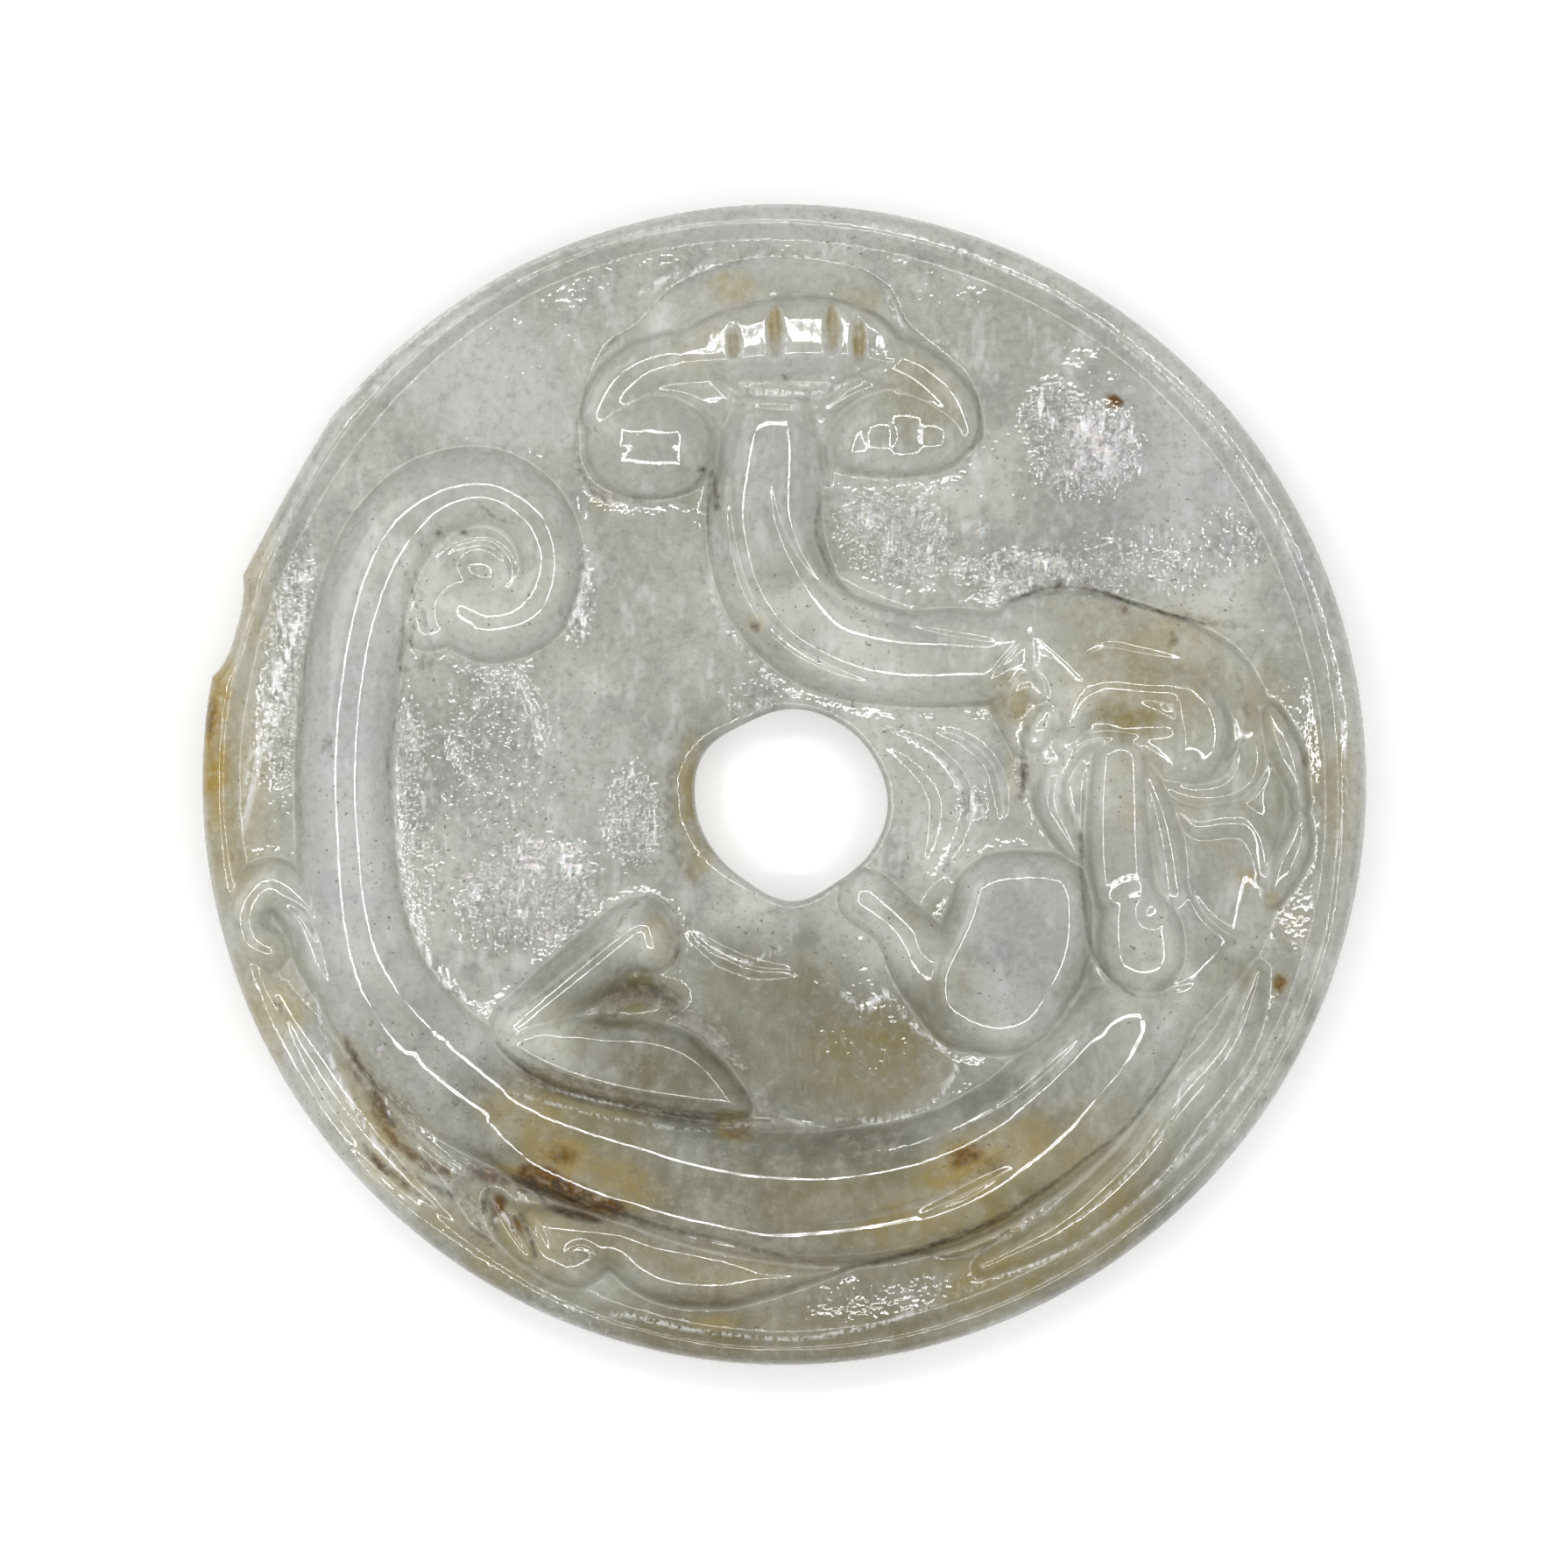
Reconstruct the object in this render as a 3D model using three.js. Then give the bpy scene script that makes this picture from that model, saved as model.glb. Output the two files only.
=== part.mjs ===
// Jade bi disc: one slab of jadeite with an off-centre opening, carved in relief on its upper face.
// Millimetres, +Z out of the carved face, origin on the flat back under the middle of the disc.
// The blank is a turned ring. Its outline and opening are then drawn by angle, and the carving is laid on the upper
// face as a run of limbs (rounded strips along a curve), masses (rounded plateaus), swellings and cut lines, in the
// order in which they lie over one another.
import * as THREE from "three";
import { mergeVertices } from "three/addons/utils/BufferGeometryUtils.js";

// ---------------------------------------------------------------- driving dimensions (mm)
const DISC_RADIUS = 27.5;
const GROUND_HEIGHT = 4.4;        // sunk ground between the carvings, above the back
const RIM_HEIGHT = 5.0;           // raised rim round the edge
const RIM_WIDTH = 1.85;
const RIM_STEP = 0.9;             // width of the slope from the rim down to the ground
const EDGE_ROUND_TOP = 1.0;       // rounding of the outer edge, carved side
const EDGE_ROUND_BACK = 0.8;      // rounding of the outer edge, back
const HOLE_CENTRE = [0.37, -1.0];
const HOLE_RADII = [4.56, 4.5, 4.5, 4.56, 4.46, 4.84, 4.58, 4.3, 4.22, 4.58, 4.24, 4.38]; // every 30 degrees
const HOLE_LIP = 0.3;             // worn lip of the opening, carved side
const HOLE_LIP_LEFT = 1.05;       // the lip is wider where the opening leans to the left
const HOLE_BACK_CHAMFER = 0.35;
const FLAT_AT = 151, FLAT_HALF = 10, FLAT_DEPTH = 0.32;      // worn flat of the left edge, degrees and mm
const CHIP_AT = 164.2, CHIP_HALF = 5.2, CHIP_DEPTH = 0.62;   // shallow chip below the flat

const SECTORS = 380;              // fine blank, thinned afterwards
const TOP_RINGS = 92;
const TRIANGLES = 9400;           // faces kept

const FULLNESS = 2.6;             // how flat a form is on top, unless it says its own
const FLANK = 1.35;               // how steep its flanks are
const FILLET = 0.05;              // softening where a form meets what lies under it
const LEAN_DROP = 0.10;           // how far a limb with a leaning top falls from its crest to that side

// ---------------------------------------------------------------- the carving
// limb:   run of stations [x, y, half width, crest height]
// mass:   closed rim of points [x, y], with a level top and a rounded shoulder
// tilt:   how far a limb's top rises on one side and falls on the other
// groove: run of stations [x, y, half width, depth];  ridge: the same, raised
// swell:  a soft rise or hollow with an elliptical foot
// base:   height from which the form springs;  moat: [width, depth] of the channel sunk round it
const CARVING = [
  { name: "ground_by_ruyi_left", kind: "swell", at: [-13.86, 20.59], reach: [7.89, 4.98], turn: -35, rise: 0.1 },
  { name: "ground_right_field", kind: "swell", at: [18.1, 16.44], reach: [9.55, 6.23], turn: 35, rise: 0.12 },
  { name: "ground_mid_left", kind: "swell", at: [-11.37, 1.91], reach: [7.06, 9.13], turn: 0, rise: -0.14 },
  { name: "ground_lobe", kind: "swell", at: [3.78, -12.2], reach: [4.98, 4.57], turn: 0, rise: -0.16 },
  { name: "ground_stem_pocket", kind: "swell", at: [5.23, 11.46], reach: [4.57, 2.91], turn: -20, rise: -0.13 },
  { name: "hole_side_step", kind: "groove",
    run: [[6.97, 2.66, 0.12, 0.03], [8.55, 2.12, 0.25, 0.14], [9.8, 1, 0.29, 0.18], [10.29, -0.58, 0.29, 0.18],
      [10.38, -1.83, 0.12, 0.04]] },
  { name: "hole_side_roll", kind: "ridge",
    run: [[4.82, 2.24, 0.58, 0.05], [6.56, 1.25, 0.91, 0.2], [7.8, -0.37, 1.08, 0.26],
      [7.72, -2.24, 0.91, 0.2], [6.97, -3.9, 0.5, 0.05]] },
  { name: "edge_strand", kind: "limb", base: 4.3, full: 2, flank: 1.2,
    run: [[-23.91, -9.96, 0.66, 4.85], [-22.83, -11.95, 1.08, 5.05], [-21.17, -14.45, 1.25, 5.15],
      [-19.18, -17.02, 1.25, 5.15], [-16.98, -19.34, 1, 5.05], [-15.52, -20.67, 0.5, 4.8]] },
  { name: "edge_outer_line", kind: "groove",
    run: [[-20.34, -17.18, 0.12, 0.04], [-19.26, -18.18, 0.25, 0.12], [-18.18, -19.18, 0.25, 0.12],
      [-16.35, -20.75, 0.12, 0.04]] },
  { name: "edge_strand_line", kind: "groove",
    run: [[-20.59, -12.2, 0.12, 0.05], [-19.26, -14.28, 0.25, 0.14], [-17.6, -16.35, 0.25, 0.16],
      [-15.94, -17.81, 0.25, 0.12], [-15.11, -18.43, 0.12, 0.05]] },
  { name: "edge_scroll", kind: "limb", base: 4.3, full: 2.4, moat: [1, 0.06],
    run: [[-20.59, -10.54, 1, 5.3], [-21.92, -8.3, 1.08, 5.35], [-22.75, -5.98, 1.16, 5.4],
      [-24.16, -4.73, 1.16, 5.4], [-25.32, -5.65, 1.12, 5.35], [-25.4, -7.14, 1.08, 5.3],
      [-24.41, -7.89, 1, 5.3]] },
  { name: "edge_scroll_eye", kind: "swell", at: [-24.41, -6.39], reach: [0.66, 0.58], turn: 0, rise: -0.18 },
  { name: "edge_scroll_line", kind: "groove",
    run: [[-23.62, -5.48, 0.12, 0.04], [-22.66, -6.18, 0.25, 0.16], [-21.67, -7.43, 0.25, 0.16],
      [-20.59, -7.89, 0.12, 0.04]] },
  { name: "scroll_web", kind: "mass", base: 4.3, full: 2.2, flank: 1.5, top: 5, shoulder: 1,
    rim: [[-17.93, 10.21], [-16.52, 12.04], [-13.86, 12.78], [-11.71, 12.04], [-11.21, 10.21], [-12.2, 8.14],
      [-14.69, 7.06], [-16.94, 6.31], [-18.18, 7.47]] },
  { name: "tail", kind: "limb", base: 4.3, full: 2.1, moat: [1, 0.07],
    run: [[-10.05, -17.1, 1.66, 5.2], [-12.04, -16.19, 2.24, 5.44], [-13.86, -15.11, 2.57, 5.58],
      [-15.73, -13.7, 2.74, 5.66], [-17.77, -11.87, 2.74, 5.72], [-19.51, -9.3, 2.57, 5.76],
      [-20.42, -5.98, 2.37, 5.8], [-20.71, -2.24, 2.28, 5.85], [-20.8, 0.66, 2.24, 5.85],
      [-20.63, 3.57, 2.24, 5.85], [-20.05, 7.31, 2.24, 5.8], [-18.85, 10.79, 2.24, 5.75],
      [-16.85, 13.16, 2.08, 5.7], [-14.2, 13.91, 1.91, 5.65], [-12.04, 12.78, 1.74, 5.6],
      [-11.17, 10.54, 1.66, 5.55], [-11.95, 8.34, 1.74, 5.5], [-13.78, 7.64, 1.83, 5.5],
      [-15.11, 8.14, 1.74, 5.4]] },
  { name: "body", kind: "limb", base: 4.3, moat: [0.91, 0.06],
    run: [[18.93, -7.97, 1.41, 4.95, 0], [17.77, -9.63, 2.08, 5.25, 0], [16.52, -11.37, 2.57, 5.82, 0],
      [14.36, -13.86, 2.99, 5.95, 0], [11.29, -16.69, 3.07, 6, 0.1], [7.31, -18.76, 3.15, 6, 0.25],
      [2.32, -19.68, 3.15, 6, 0.3], [-2.24, -19.43, 2.99, 5.95, 0.7], [-6.6, -18.26, 2.82, 5.9, 0.8],
      [-10.13, -17.02, 2.57, 5.78, 0.7], [-12.2, -16.11, 2.41, 5.6, 0.3], [-14.03, -14.98, 2.08, 5.42, 0],
      [-15.52, -13.86, 1.66, 5.2, 0]] },
  { name: "scroll_eye", kind: "swell", at: [-14.28, 10.13], reach: [1.25, 0.91], turn: -20, rise: -0.26 },
  { name: "scroll_inner_edge", kind: "ridge",
    run: [[-16.35, 10.63, 0.21, 0.04], [-15.44, 11.37, 0.33, 0.12], [-14.03, 11.62, 0.33, 0.14],
      [-13.03, 10.96, 0.33, 0.14], [-12.78, 9.8, 0.29, 0.1], [-13.45, 8.97, 0.21, 0.04]] },
  { name: "outer_strip", kind: "limb", base: 4.3, full: 2, flank: 1.2,
    run: [[9.38, -22.83, 0.5, 4.8], [12.7, -21.25, 0.91, 4.98], [15.03, -19.59, 1.16, 5.06],
      [17.1, -17.48, 1.16, 5.1], [18.51, -15.52, 1.16, 5.1], [19.84, -13.95, 1.08, 5.1],
      [21.09, -12.37, 1, 5.05], [21.92, -10.46, 0.83, 4.95], [22.42, -8.8, 0.5, 4.8]] },
  { name: "outer_haunch", kind: "mass", base: 4.3, flank: 1.5, moat: [0.83, 0.06], top: 5.42, shoulder: 1.25,
    rim: [[-12.7, -19.92], [-10.54, -20.09], [-7.64, -20.42], [-5.94, -21], [-2.62, -21.67], [-0.62, -22.33],
      [1.49, -22.83], [3.36, -22.75], [1.37, -23.54], [-0.62, -24.2], [-2.62, -24.66], [-4.61, -24.66],
      [-5.94, -24.41], [-7.26, -23.74], [-8.26, -22.91], [-8.72, -23.33], [-9.88, -23.83], [-11.21, -23.49],
      [-12, -22.91], [-12.62, -21.75], [-13.03, -20.75]] },
  { name: "outer_paw", kind: "mass", base: 4.3, full: 2.2, flank: 1.5, top: 5.1, shoulder: 0.66,
    rim: [[-14.2, -19.34], [-13.45, -19.26], [-12.7, -19.92], [-12.2, -20.92], [-11.71, -22.25],
      [-11.95, -22.83], [-12.62, -22.58], [-13.45, -21.58], [-14.03, -20.51]] },
  { name: "paw_toe_a", kind: "groove",
    run: [[-13.62, -19.34, 0.12, 0.03], [-12.7, -20.84, 0.25, 0.16], [-11.71, -22.5, 0.17, 0.05]] },
  { name: "paw_toe_b", kind: "groove",
    run: [[-12.62, -19.34, 0.12, 0.03], [-11.87, -20.59, 0.25, 0.16], [-11.17, -22, 0.17, 0.05]] },
  { name: "paw_toe_c", kind: "groove",
    run: [[-10.29, -22.91, 0.12, 0.03], [-10.21, -22.08, 0.21, 0.07], [-9.55, -21.75, 0.21, 0.09],
      [-8.88, -22.17, 0.21, 0.09], [-9.05, -22.91, 0.12, 0.03]] },
  { name: "haunch_line", kind: "groove",
    run: [[-10.54, -19.26, 0.17, 0.05], [-7.64, -20.34, 0.29, 0.2], [-5.94, -20.92, 0.29, 0.24],
      [-2.62, -21.58, 0.29, 0.22], [-0.62, -22.25, 0.25, 0.2], [1.7, -22.75, 0.17, 0.05]] },
  { name: "strip_lens", kind: "groove",
    run: [[6.27, -22.08, 0.12, 0.04], [7.31, -22.08, 0.29, 0.1], [8.55, -21.92, 0.33, 0.12],
      [9.96, -21.25, 0.29, 0.1], [11.21, -20.51, 0.12, 0.04]] },
  { name: "leg_recess", kind: "swell", at: [-6.81, -10.29], reach: [2.66, 1.25], turn: 8, rise: -0.4 },
  { name: "inner_haunch", kind: "mass", base: 4.3, full: 2.2, flank: 1.5, moat: [1, 0.07], top: 5.5, shoulder: 1,
    rim: [[-13.62, -12.45], [-12.37, -11.21], [-10.54, -10.96], [-8.47, -11.21], [-6.39, -11.29],
      [-4.48, -11.87], [-2.82, -13.28], [-1.58, -15.19], [-1.99, -15.77], [-4.32, -15.77], [-8.05, -15.19],
      [-11.37, -14.11]] },
  { name: "inner_haunch_roll", kind: "swell", at: [-6.81, -12.87], reach: [4.57, 1.25], turn: -12, rise: 0.06 },
  { name: "inner_shin", kind: "limb", base: 4.3, full: 2, flank: 1.2, moat: [0.83, 0.07],
    run: [[-12.62, -11.46, 1.25, 5.3], [-10.29, -9.55, 1.41, 5.48], [-8.05, -7.72, 1.45, 5.6],
      [-6.72, -6.81, 1.41, 5.66], [-6.31, -7.64, 1.33, 5.6]] },
  { name: "forearm", kind: "limb", base: 4.3, full: 2.4, moat: [0.91, 0.07],
    run: [[3.9, -5.4, 1.33, 5.1], [5.4, -6.64, 1.25, 5.25], [6.97, -8.72, 1.74, 5.45], [8.72, -10.54, 2.08, 5.6]] },
  { name: "shoulder", kind: "mass", base: 4.3, full: 2.2, flank: 1.4, moat: [1, 0.07], top: 5.74, shoulder: 1.33,
    rim: [[7.8, -5.98], [8.38, -4.32], [9.8, -3.4], [11.87, -3.24], [13.62, -3.65], [14.49, -4.9],
      [14.69, -6.81], [14.36, -8.63], [13.37, -10.54], [12.12, -12.2], [10.21, -12.78], [8.22, -12.2],
      [6.81, -10.96], [6.56, -8.88]] },
  { name: "shoulder_dome", kind: "swell", at: [11.04, -8.05], reach: [3.32, 4.15], turn: 0, rise: 0.1 },
  { name: "arm_valley", kind: "swell", at: [7.31, -6.39], reach: [1, 2.08], turn: -12, rise: -0.28 },
  { name: "shoulder_line", kind: "groove",
    run: [[14.36, -4.73, 0.17, 0.05], [14.65, -6.81, 0.29, 0.2], [14.36, -8.88, 0.29, 0.22],
      [13.2, -11.12, 0.25, 0.18], [11.87, -12.62, 0.17, 0.05]] },
  { name: "stem", kind: "limb", base: 4.3, full: 3, moat: [0.91, 0.07],
    run: [[-0.5, 17.35, 2.08, 5.55], [-0.75, 14.57, 2.49, 5.6], [-0.91, 11.87, 2.66, 5.6],
      [-0.08, 8.97, 2.66, 5.6], [2.08, 6.81, 2.41, 5.6], [5.4, 5.98, 2.24, 5.6], [8.38, 5.98, 2.24, 5.55],
      [10.63, 5.98, 2.08, 5.5]] },
  { name: "stem_flute_a", kind: "groove",
    run: [[-2.57, 14.78, 0.12, 0.05], [-2.32, 11.87, 0.29, 0.14], [-1.58, 9.13, 0.29, 0.16],
      [0, 6.97, 0.29, 0.16], [2.32, 5.56, 0.25, 0.14], [5.23, 4.57, 0.12, 0.05]] },
  { name: "stem_flute_b", kind: "groove",
    run: [[-0.58, 14.78, 0.12, 0.03], [-0.17, 12.62, 0.25, 0.1], [0.75, 10.54, 0.25, 0.12],
      [2.32, 8.8, 0.29, 0.18], [4.73, 7.64, 0.29, 0.2], [7.31, 7.06, 0.25, 0.16], [9.8, 6.68, 0.12, 0.05]] },
  { name: "stem_flute_c", kind: "groove",
    run: [[0.87, 12.7, 0.12, 0.05], [1.33, 11.04, 0.25, 0.14], [2.32, 9.71, 0.25, 0.18],
      [3.98, 8.72, 0.25, 0.18], [6.14, 8.05, 0.21, 0.14], [8.22, 7.8, 0.12, 0.04]] },
  { name: "cap", kind: "mass", base: 4.3, full: 1.7, flank: 1.25, moat: [1, 0.06], top: 5.08, shoulder: 2.74,
    rim: [[-9.63, 16.44], [-9.38, 18.93], [-8.38, 20.75], [-6.89, 21.75], [-5.4, 23.33], [-3.65, 24.24],
      [-1.41, 24.82], [1.08, 24.91], [3.32, 24.49], [4.98, 23.49], [5.89, 21.75], [7.39, 20.51], [8.72, 19.26],
      [9.26, 17.43], [8.88, 15.86], [7.72, 14.86], [5.65, 14.45], [3.4, 14.53], [2.16, 14.94], [1.49, 16.44],
      [0.25, 17.52], [-1.41, 17.52], [-2.99, 16.44], [-3.4, 14.78], [-4.48, 13.7], [-6.56, 13.37],
      [-8.47, 13.86], [-9.38, 14.86]] },
  { name: "cap_crest", kind: "limb", base: 4.9, full: 2.4,
    run: [[-8.47, 17.52, 1.08, 5.3], [-7.8, 18.76, 1.16, 5.45], [-6.31, 19.84, 1.16, 5.58],
      [-4.07, 20.26, 1.25, 5.66], [-1.83, 20.59, 1.41, 5.7], [0.46, 20.75, 1.49, 5.72],
      [2.74, 20.67, 1.41, 5.7], [4.57, 20.09, 1.25, 5.62], [6.31, 19.43, 1.16, 5.5], [7.8, 18.1, 1.08, 5.4],
      [8.38, 16.77, 0.91, 5.25]] },
  { name: "cap_facet", kind: "limb", base: 5.2, full: 6, tilt: 0.14,
    run: [[-4.48, 20.42, 0.83, 5.6], [-2.57, 20.92, 1.33, 5.76], [-0.58, 21.25, 1.54, 5.86],
      [0.75, 21.34, 1.58, 5.88], [2.08, 21.29, 1.54, 5.86], [3.74, 21, 1.25, 5.76], [4.9, 20.34, 0.75, 5.6]] },
  { name: "left_curl", kind: "mass", base: 4.8, full: 2, flank: 1.3, top: 5.6, shoulder: 2.32,
    rim: [[-9.22, 16.44], [-8.72, 17.77], [-7.39, 18.43], [-5.73, 18.43], [-4.23, 17.77], [-3.57, 16.44],
      [-3.74, 14.78], [-4.73, 13.86], [-6.56, 13.62], [-8.3, 14.11], [-9.13, 15.19]] },
  { name: "left_curl_a", kind: "swell", at: [-7.72, 16.6], reach: [1.08, 1.08], turn: 0, rise: 0.12 },
  { name: "left_curl_b", kind: "swell", at: [-4.82, 16.6], reach: [1, 1.08], turn: 0, rise: 0.12 },
  { name: "right_curl", kind: "mass", base: 4.8, full: 2.4, flank: 1.5, top: 5.5, shoulder: 1.33,
    rim: [[2.41, 15.94], [2.82, 17.27], [3.9, 18.1], [5.4, 18.43], [7.06, 18.18], [8.3, 17.35], [8.63, 16.19],
      [7.89, 15.11], [5.81, 14.69], [3.57, 14.78], [2.57, 15.19]] },
  { name: "right_curl_a", kind: "swell", at: [4.52, 16.44], reach: [0.91, 1.16], turn: 0, rise: 0.12 },
  { name: "right_curl_b", kind: "swell", at: [7.14, 16.44], reach: [1, 1.16], turn: 0, rise: 0.12 },
  { name: "left_curl_line", kind: "groove",
    run: [[-3.74, 13.03, 0.21, 0.1], [-3.07, 14.94, 0.33, 0.26], [-3.4, 16.94, 0.33, 0.26],
      [-4.73, 18.1, 0.29, 0.18], [-6.56, 18.43, 0.17, 0.06]] },
  { name: "right_curl_line", kind: "groove",
    run: [[2.08, 14.28, 0.21, 0.1], [1.91, 15.94, 0.33, 0.26], [2.49, 17.35, 0.33, 0.26],
      [3.82, 18.26, 0.29, 0.2], [5.4, 18.76, 0.17, 0.05]] },
  { name: "cap_hem", kind: "groove",
    run: [[-3.98, 19.76, 0.17, 0.05], [-2.99, 19.01, 0.29, 0.2], [-1.99, 18.43, 0.33, 0.26],
      [-0.08, 18.26, 0.33, 0.28], [1.99, 18.35, 0.33, 0.26], [2.99, 19.01, 0.29, 0.2], [4.82, 19.68, 0.17, 0.05]] },
  { name: "collar_a", kind: "groove",
    run: [[-2.32, 18.93, 0.17, 0.1], [-0.08, 19.01, 0.21, 0.13], [2.16, 18.93, 0.17, 0.1]] },
  { name: "collar_b", kind: "groove",
    run: [[-2.41, 17.77, 0.17, 0.1], [-0.17, 17.68, 0.29, 0.2], [1.91, 17.35, 0.17, 0.1]] },
  { name: "cap_cut_1", kind: "groove",
    run: [[-2.45, 21.67, 0.12, 0.06], [-2.41, 21.17, 0.27, 0.3], [-2.37, 20.59, 0.33, 0.42],
      [-2.37, 20.3, 0.28, 0.4], [-2.41, 19.92, 0.17, 0.1]] },
  { name: "cap_cut_2", kind: "groove",
    run: [[-0.5, 23.08, 0.12, 0.06], [-0.46, 22.16, 0.32, 0.3], [-0.42, 21.08, 0.39, 0.42],
      [-0.42, 20.3, 0.34, 0.4], [-0.46, 19.92, 0.17, 0.1]] },
  { name: "cap_cut_3", kind: "groove",
    run: [[2.2, 23.08, 0.12, 0.06], [2.24, 22.21, 0.32, 0.3], [2.28, 21.19, 0.39, 0.42],
      [2.28, 20.46, 0.34, 0.4], [2.24, 20.09, 0.17, 0.1]] },
  { name: "cap_cut_4", kind: "groove",
    run: [[3.45, 22.33, 0.12, 0.06], [3.49, 21.54, 0.28, 0.3], [3.53, 20.61, 0.35, 0.42],
      [3.53, 19.97, 0.3, 0.4], [3.49, 19.59, 0.17, 0.1]] },
  { name: "head_mass", kind: "mass", base: 4.3, full: 1.7, flank: 1.4, moat: [0.83, 0.04], top: 5.12, shoulder: 2.08,
    rim: [[9.96, 7.97], [12.54, 9.05], [15.52, 8.8], [18.51, 7.89], [21.17, 6.56], [22.66, 4.65],
      [23.33, 2.32], [23.66, -0.17], [23.58, -2.66], [23.33, -5.15], [22.66, -7.64], [21, -9.71],
      [18.51, -11.87], [15.28, -11.62], [14.36, -8.47], [14.2, -4.73], [12.95, -2.99], [11.71, -0.58],
      [10.63, 1.91], [9.8, 3.74]] },
  { name: "mane_base", kind: "swell", at: [24.16, -1.2], reach: [2.74, 7.06], turn: 0, rise: 0.34 },
  { name: "crown", kind: "mass", base: 4.75, full: 1.06, flank: 1, top: 6, shoulder: 4.82,
    rim: [[10.21, 7.97], [12.54, 8.97], [15.52, 8.72], [18.51, 7.8], [21, 6.39], [22.33, 4.4], [22.66, 1.91],
      [22, -0.58], [20.17, -1.41], [18.1, -1.41], [15.61, -0.17], [13.37, 0.66], [11.04, 1.49], [10.13, 3.98]] },
  { name: "brow", kind: "limb", base: 5.1, full: 2,
    run: [[12.95, 5.98, 0.29, 5.3], [13.78, 6.35, 0.46, 5.42], [14.78, 6.48, 0.29, 5.32]] },
  { name: "nose_curl", kind: "limb", base: 4.9, full: 2, moat: [0.25, 0.03],
    run: [[10.96, 3.74, 0.58, 5.3], [11.04, 4.4, 0.75, 5.5], [11.54, 4.73, 0.79, 5.55],
      [12.04, 4.32, 0.66, 5.45]] },
  { name: "nostril", kind: "limb", base: 4.9, full: 3.6, moat: [0.25, 0.03],
    run: [[12.41, 3.24, 0.58, 5.5], [12.12, 2.66, 0.66, 5.55], [11.87, 2.08, 0.54, 5.4]] },
  { name: "whisker", kind: "limb", base: 4.9, full: 2.4, moat: [0.33, 0.05],
    run: [[12.78, 0.33, 0.62, 5.4], [12.62, -0.91, 0.71, 5.45], [13.28, -2.32, 0.58, 5.35],
      [13.78, -3.24, 0.33, 5.2]] },
  { name: "muzzle", kind: "limb", base: 5.1, full: 2,
    run: [[13.37, 1.83, 0.58, 5.4], [13.62, 2.99, 0.83, 5.7], [14.11, 4.07, 1.08, 5.9], [15.11, 4.65, 1.16, 6],
      [16.85, 4.52, 1.16, 6], [18.51, 4.4, 1.16, 5.96], [19.68, 3.9, 0.91, 5.9]] },
  { name: "ear", kind: "limb", base: 5, full: 5, flank: 1.5, moat: [0.42, 0.04],
    run: [[19.01, 4.23, 0.83, 5.9], [19.43, 3.32, 1.29, 5.98], [19.68, 2.32, 1.37, 5.98],
      [19.43, 1.33, 1.08, 5.85], [18.93, 0.75, 0.5, 5.5]] },
  { name: "lip", kind: "limb", base: 4.9, full: 2.2,
    run: [[13.12, 0.33, 0.33, 5.25], [13.62, 1.41, 0.46, 5.45], [14.45, 2.03, 0.5, 5.5],
      [16.27, 2.08, 0.5, 5.5], [17.35, 1.58, 0.5, 5.45], [18.26, 0.91, 0.41, 5.35], [18.93, 0.17, 0.25, 5.2]] },
  { name: "cheek_hollow", kind: "swell", at: [16.44, 2.82], reach: [2.24, 0.66], turn: -4, rise: -0.16 },
  { name: "jaw_line", kind: "groove",
    run: [[14.36, 1.08, 0.12, 0.05], [15.28, 1.62, 0.25, 0.16], [16.44, 1.58, 0.25, 0.18],
      [17.35, 1, 0.25, 0.18], [17.93, 0, 0.12, 0.05]] },
  { name: "neck_lock", kind: "limb", base: 4.9, full: 5.2, flank: 1.5, moat: [0.5, 0.05],
    run: [[15.86, 1, 1.25, 5.7], [15.82, -1.41, 1.41, 5.78], [15.9, -3.9, 1.41, 5.78],
      [16.11, -4.98, 1.41, 5.74]] },
  { name: "neck_lobe", kind: "limb", base: 4.9, full: 4.4, flank: 1.5, moat: [0.42, 0.05],
    run: [[16.6, -6.06, 1.49, 5.78], [16.85, -7.06, 1.91, 5.85], [16.98, -7.97, 1.91, 5.8]] },
  { name: "neck_notch", kind: "swell", at: [17.35, -5.98], reach: [0.75, 0.91], turn: -10, rise: -0.2 },
  { name: "neck_lock_side", kind: "limb", base: 4.9, full: 2.4,
    run: [[17.1, 0.58, 0.37, 5.3], [17.68, -1.16, 0.71, 5.5], [18.1, -2.86, 0.79, 5.5],
      [18.43, -5.15, 0.75, 5.3]] },
  { name: "neck_left_line", kind: "groove",
    run: [[14.36, 0.58, 0.12, 0.05], [14.24, -2.24, 0.21, 0.14], [14.4, -5.56, 0.21, 0.14],
      [14.86, -8.38, 0.21, 0.16], [16.02, -9.63, 0.21, 0.16], [17.35, -9.96, 0.21, 0.16],
      [19.18, -9.38, 0.12, 0.05]] },
  { name: "crown_line_a", kind: "groove",
    run: [[9.71, 4.98, 0.12, 0.04], [10.63, 6.06, 0.21, 0.09], [12.12, 7.64, 0.12, 0.04]] },
  { name: "crown_line_b", kind: "groove",
    run: [[13.78, 5.56, 0.12, 0.05], [15.11, 6.39, 0.21, 0.12], [16.85, 6.14, 0.21, 0.1],
      [18.76, 5.81, 0.12, 0.04]] },
  { name: "cheek_arc_a", kind: "groove",
    run: [[18.1, 0.17, 0.12, 0.05], [19.59, 0, 0.21, 0.16], [20.92, 0.5, 0.25, 0.16], [21.58, 2.08, 0.12, 0.05]] },
  { name: "cheek_arc_b", kind: "groove",
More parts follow.
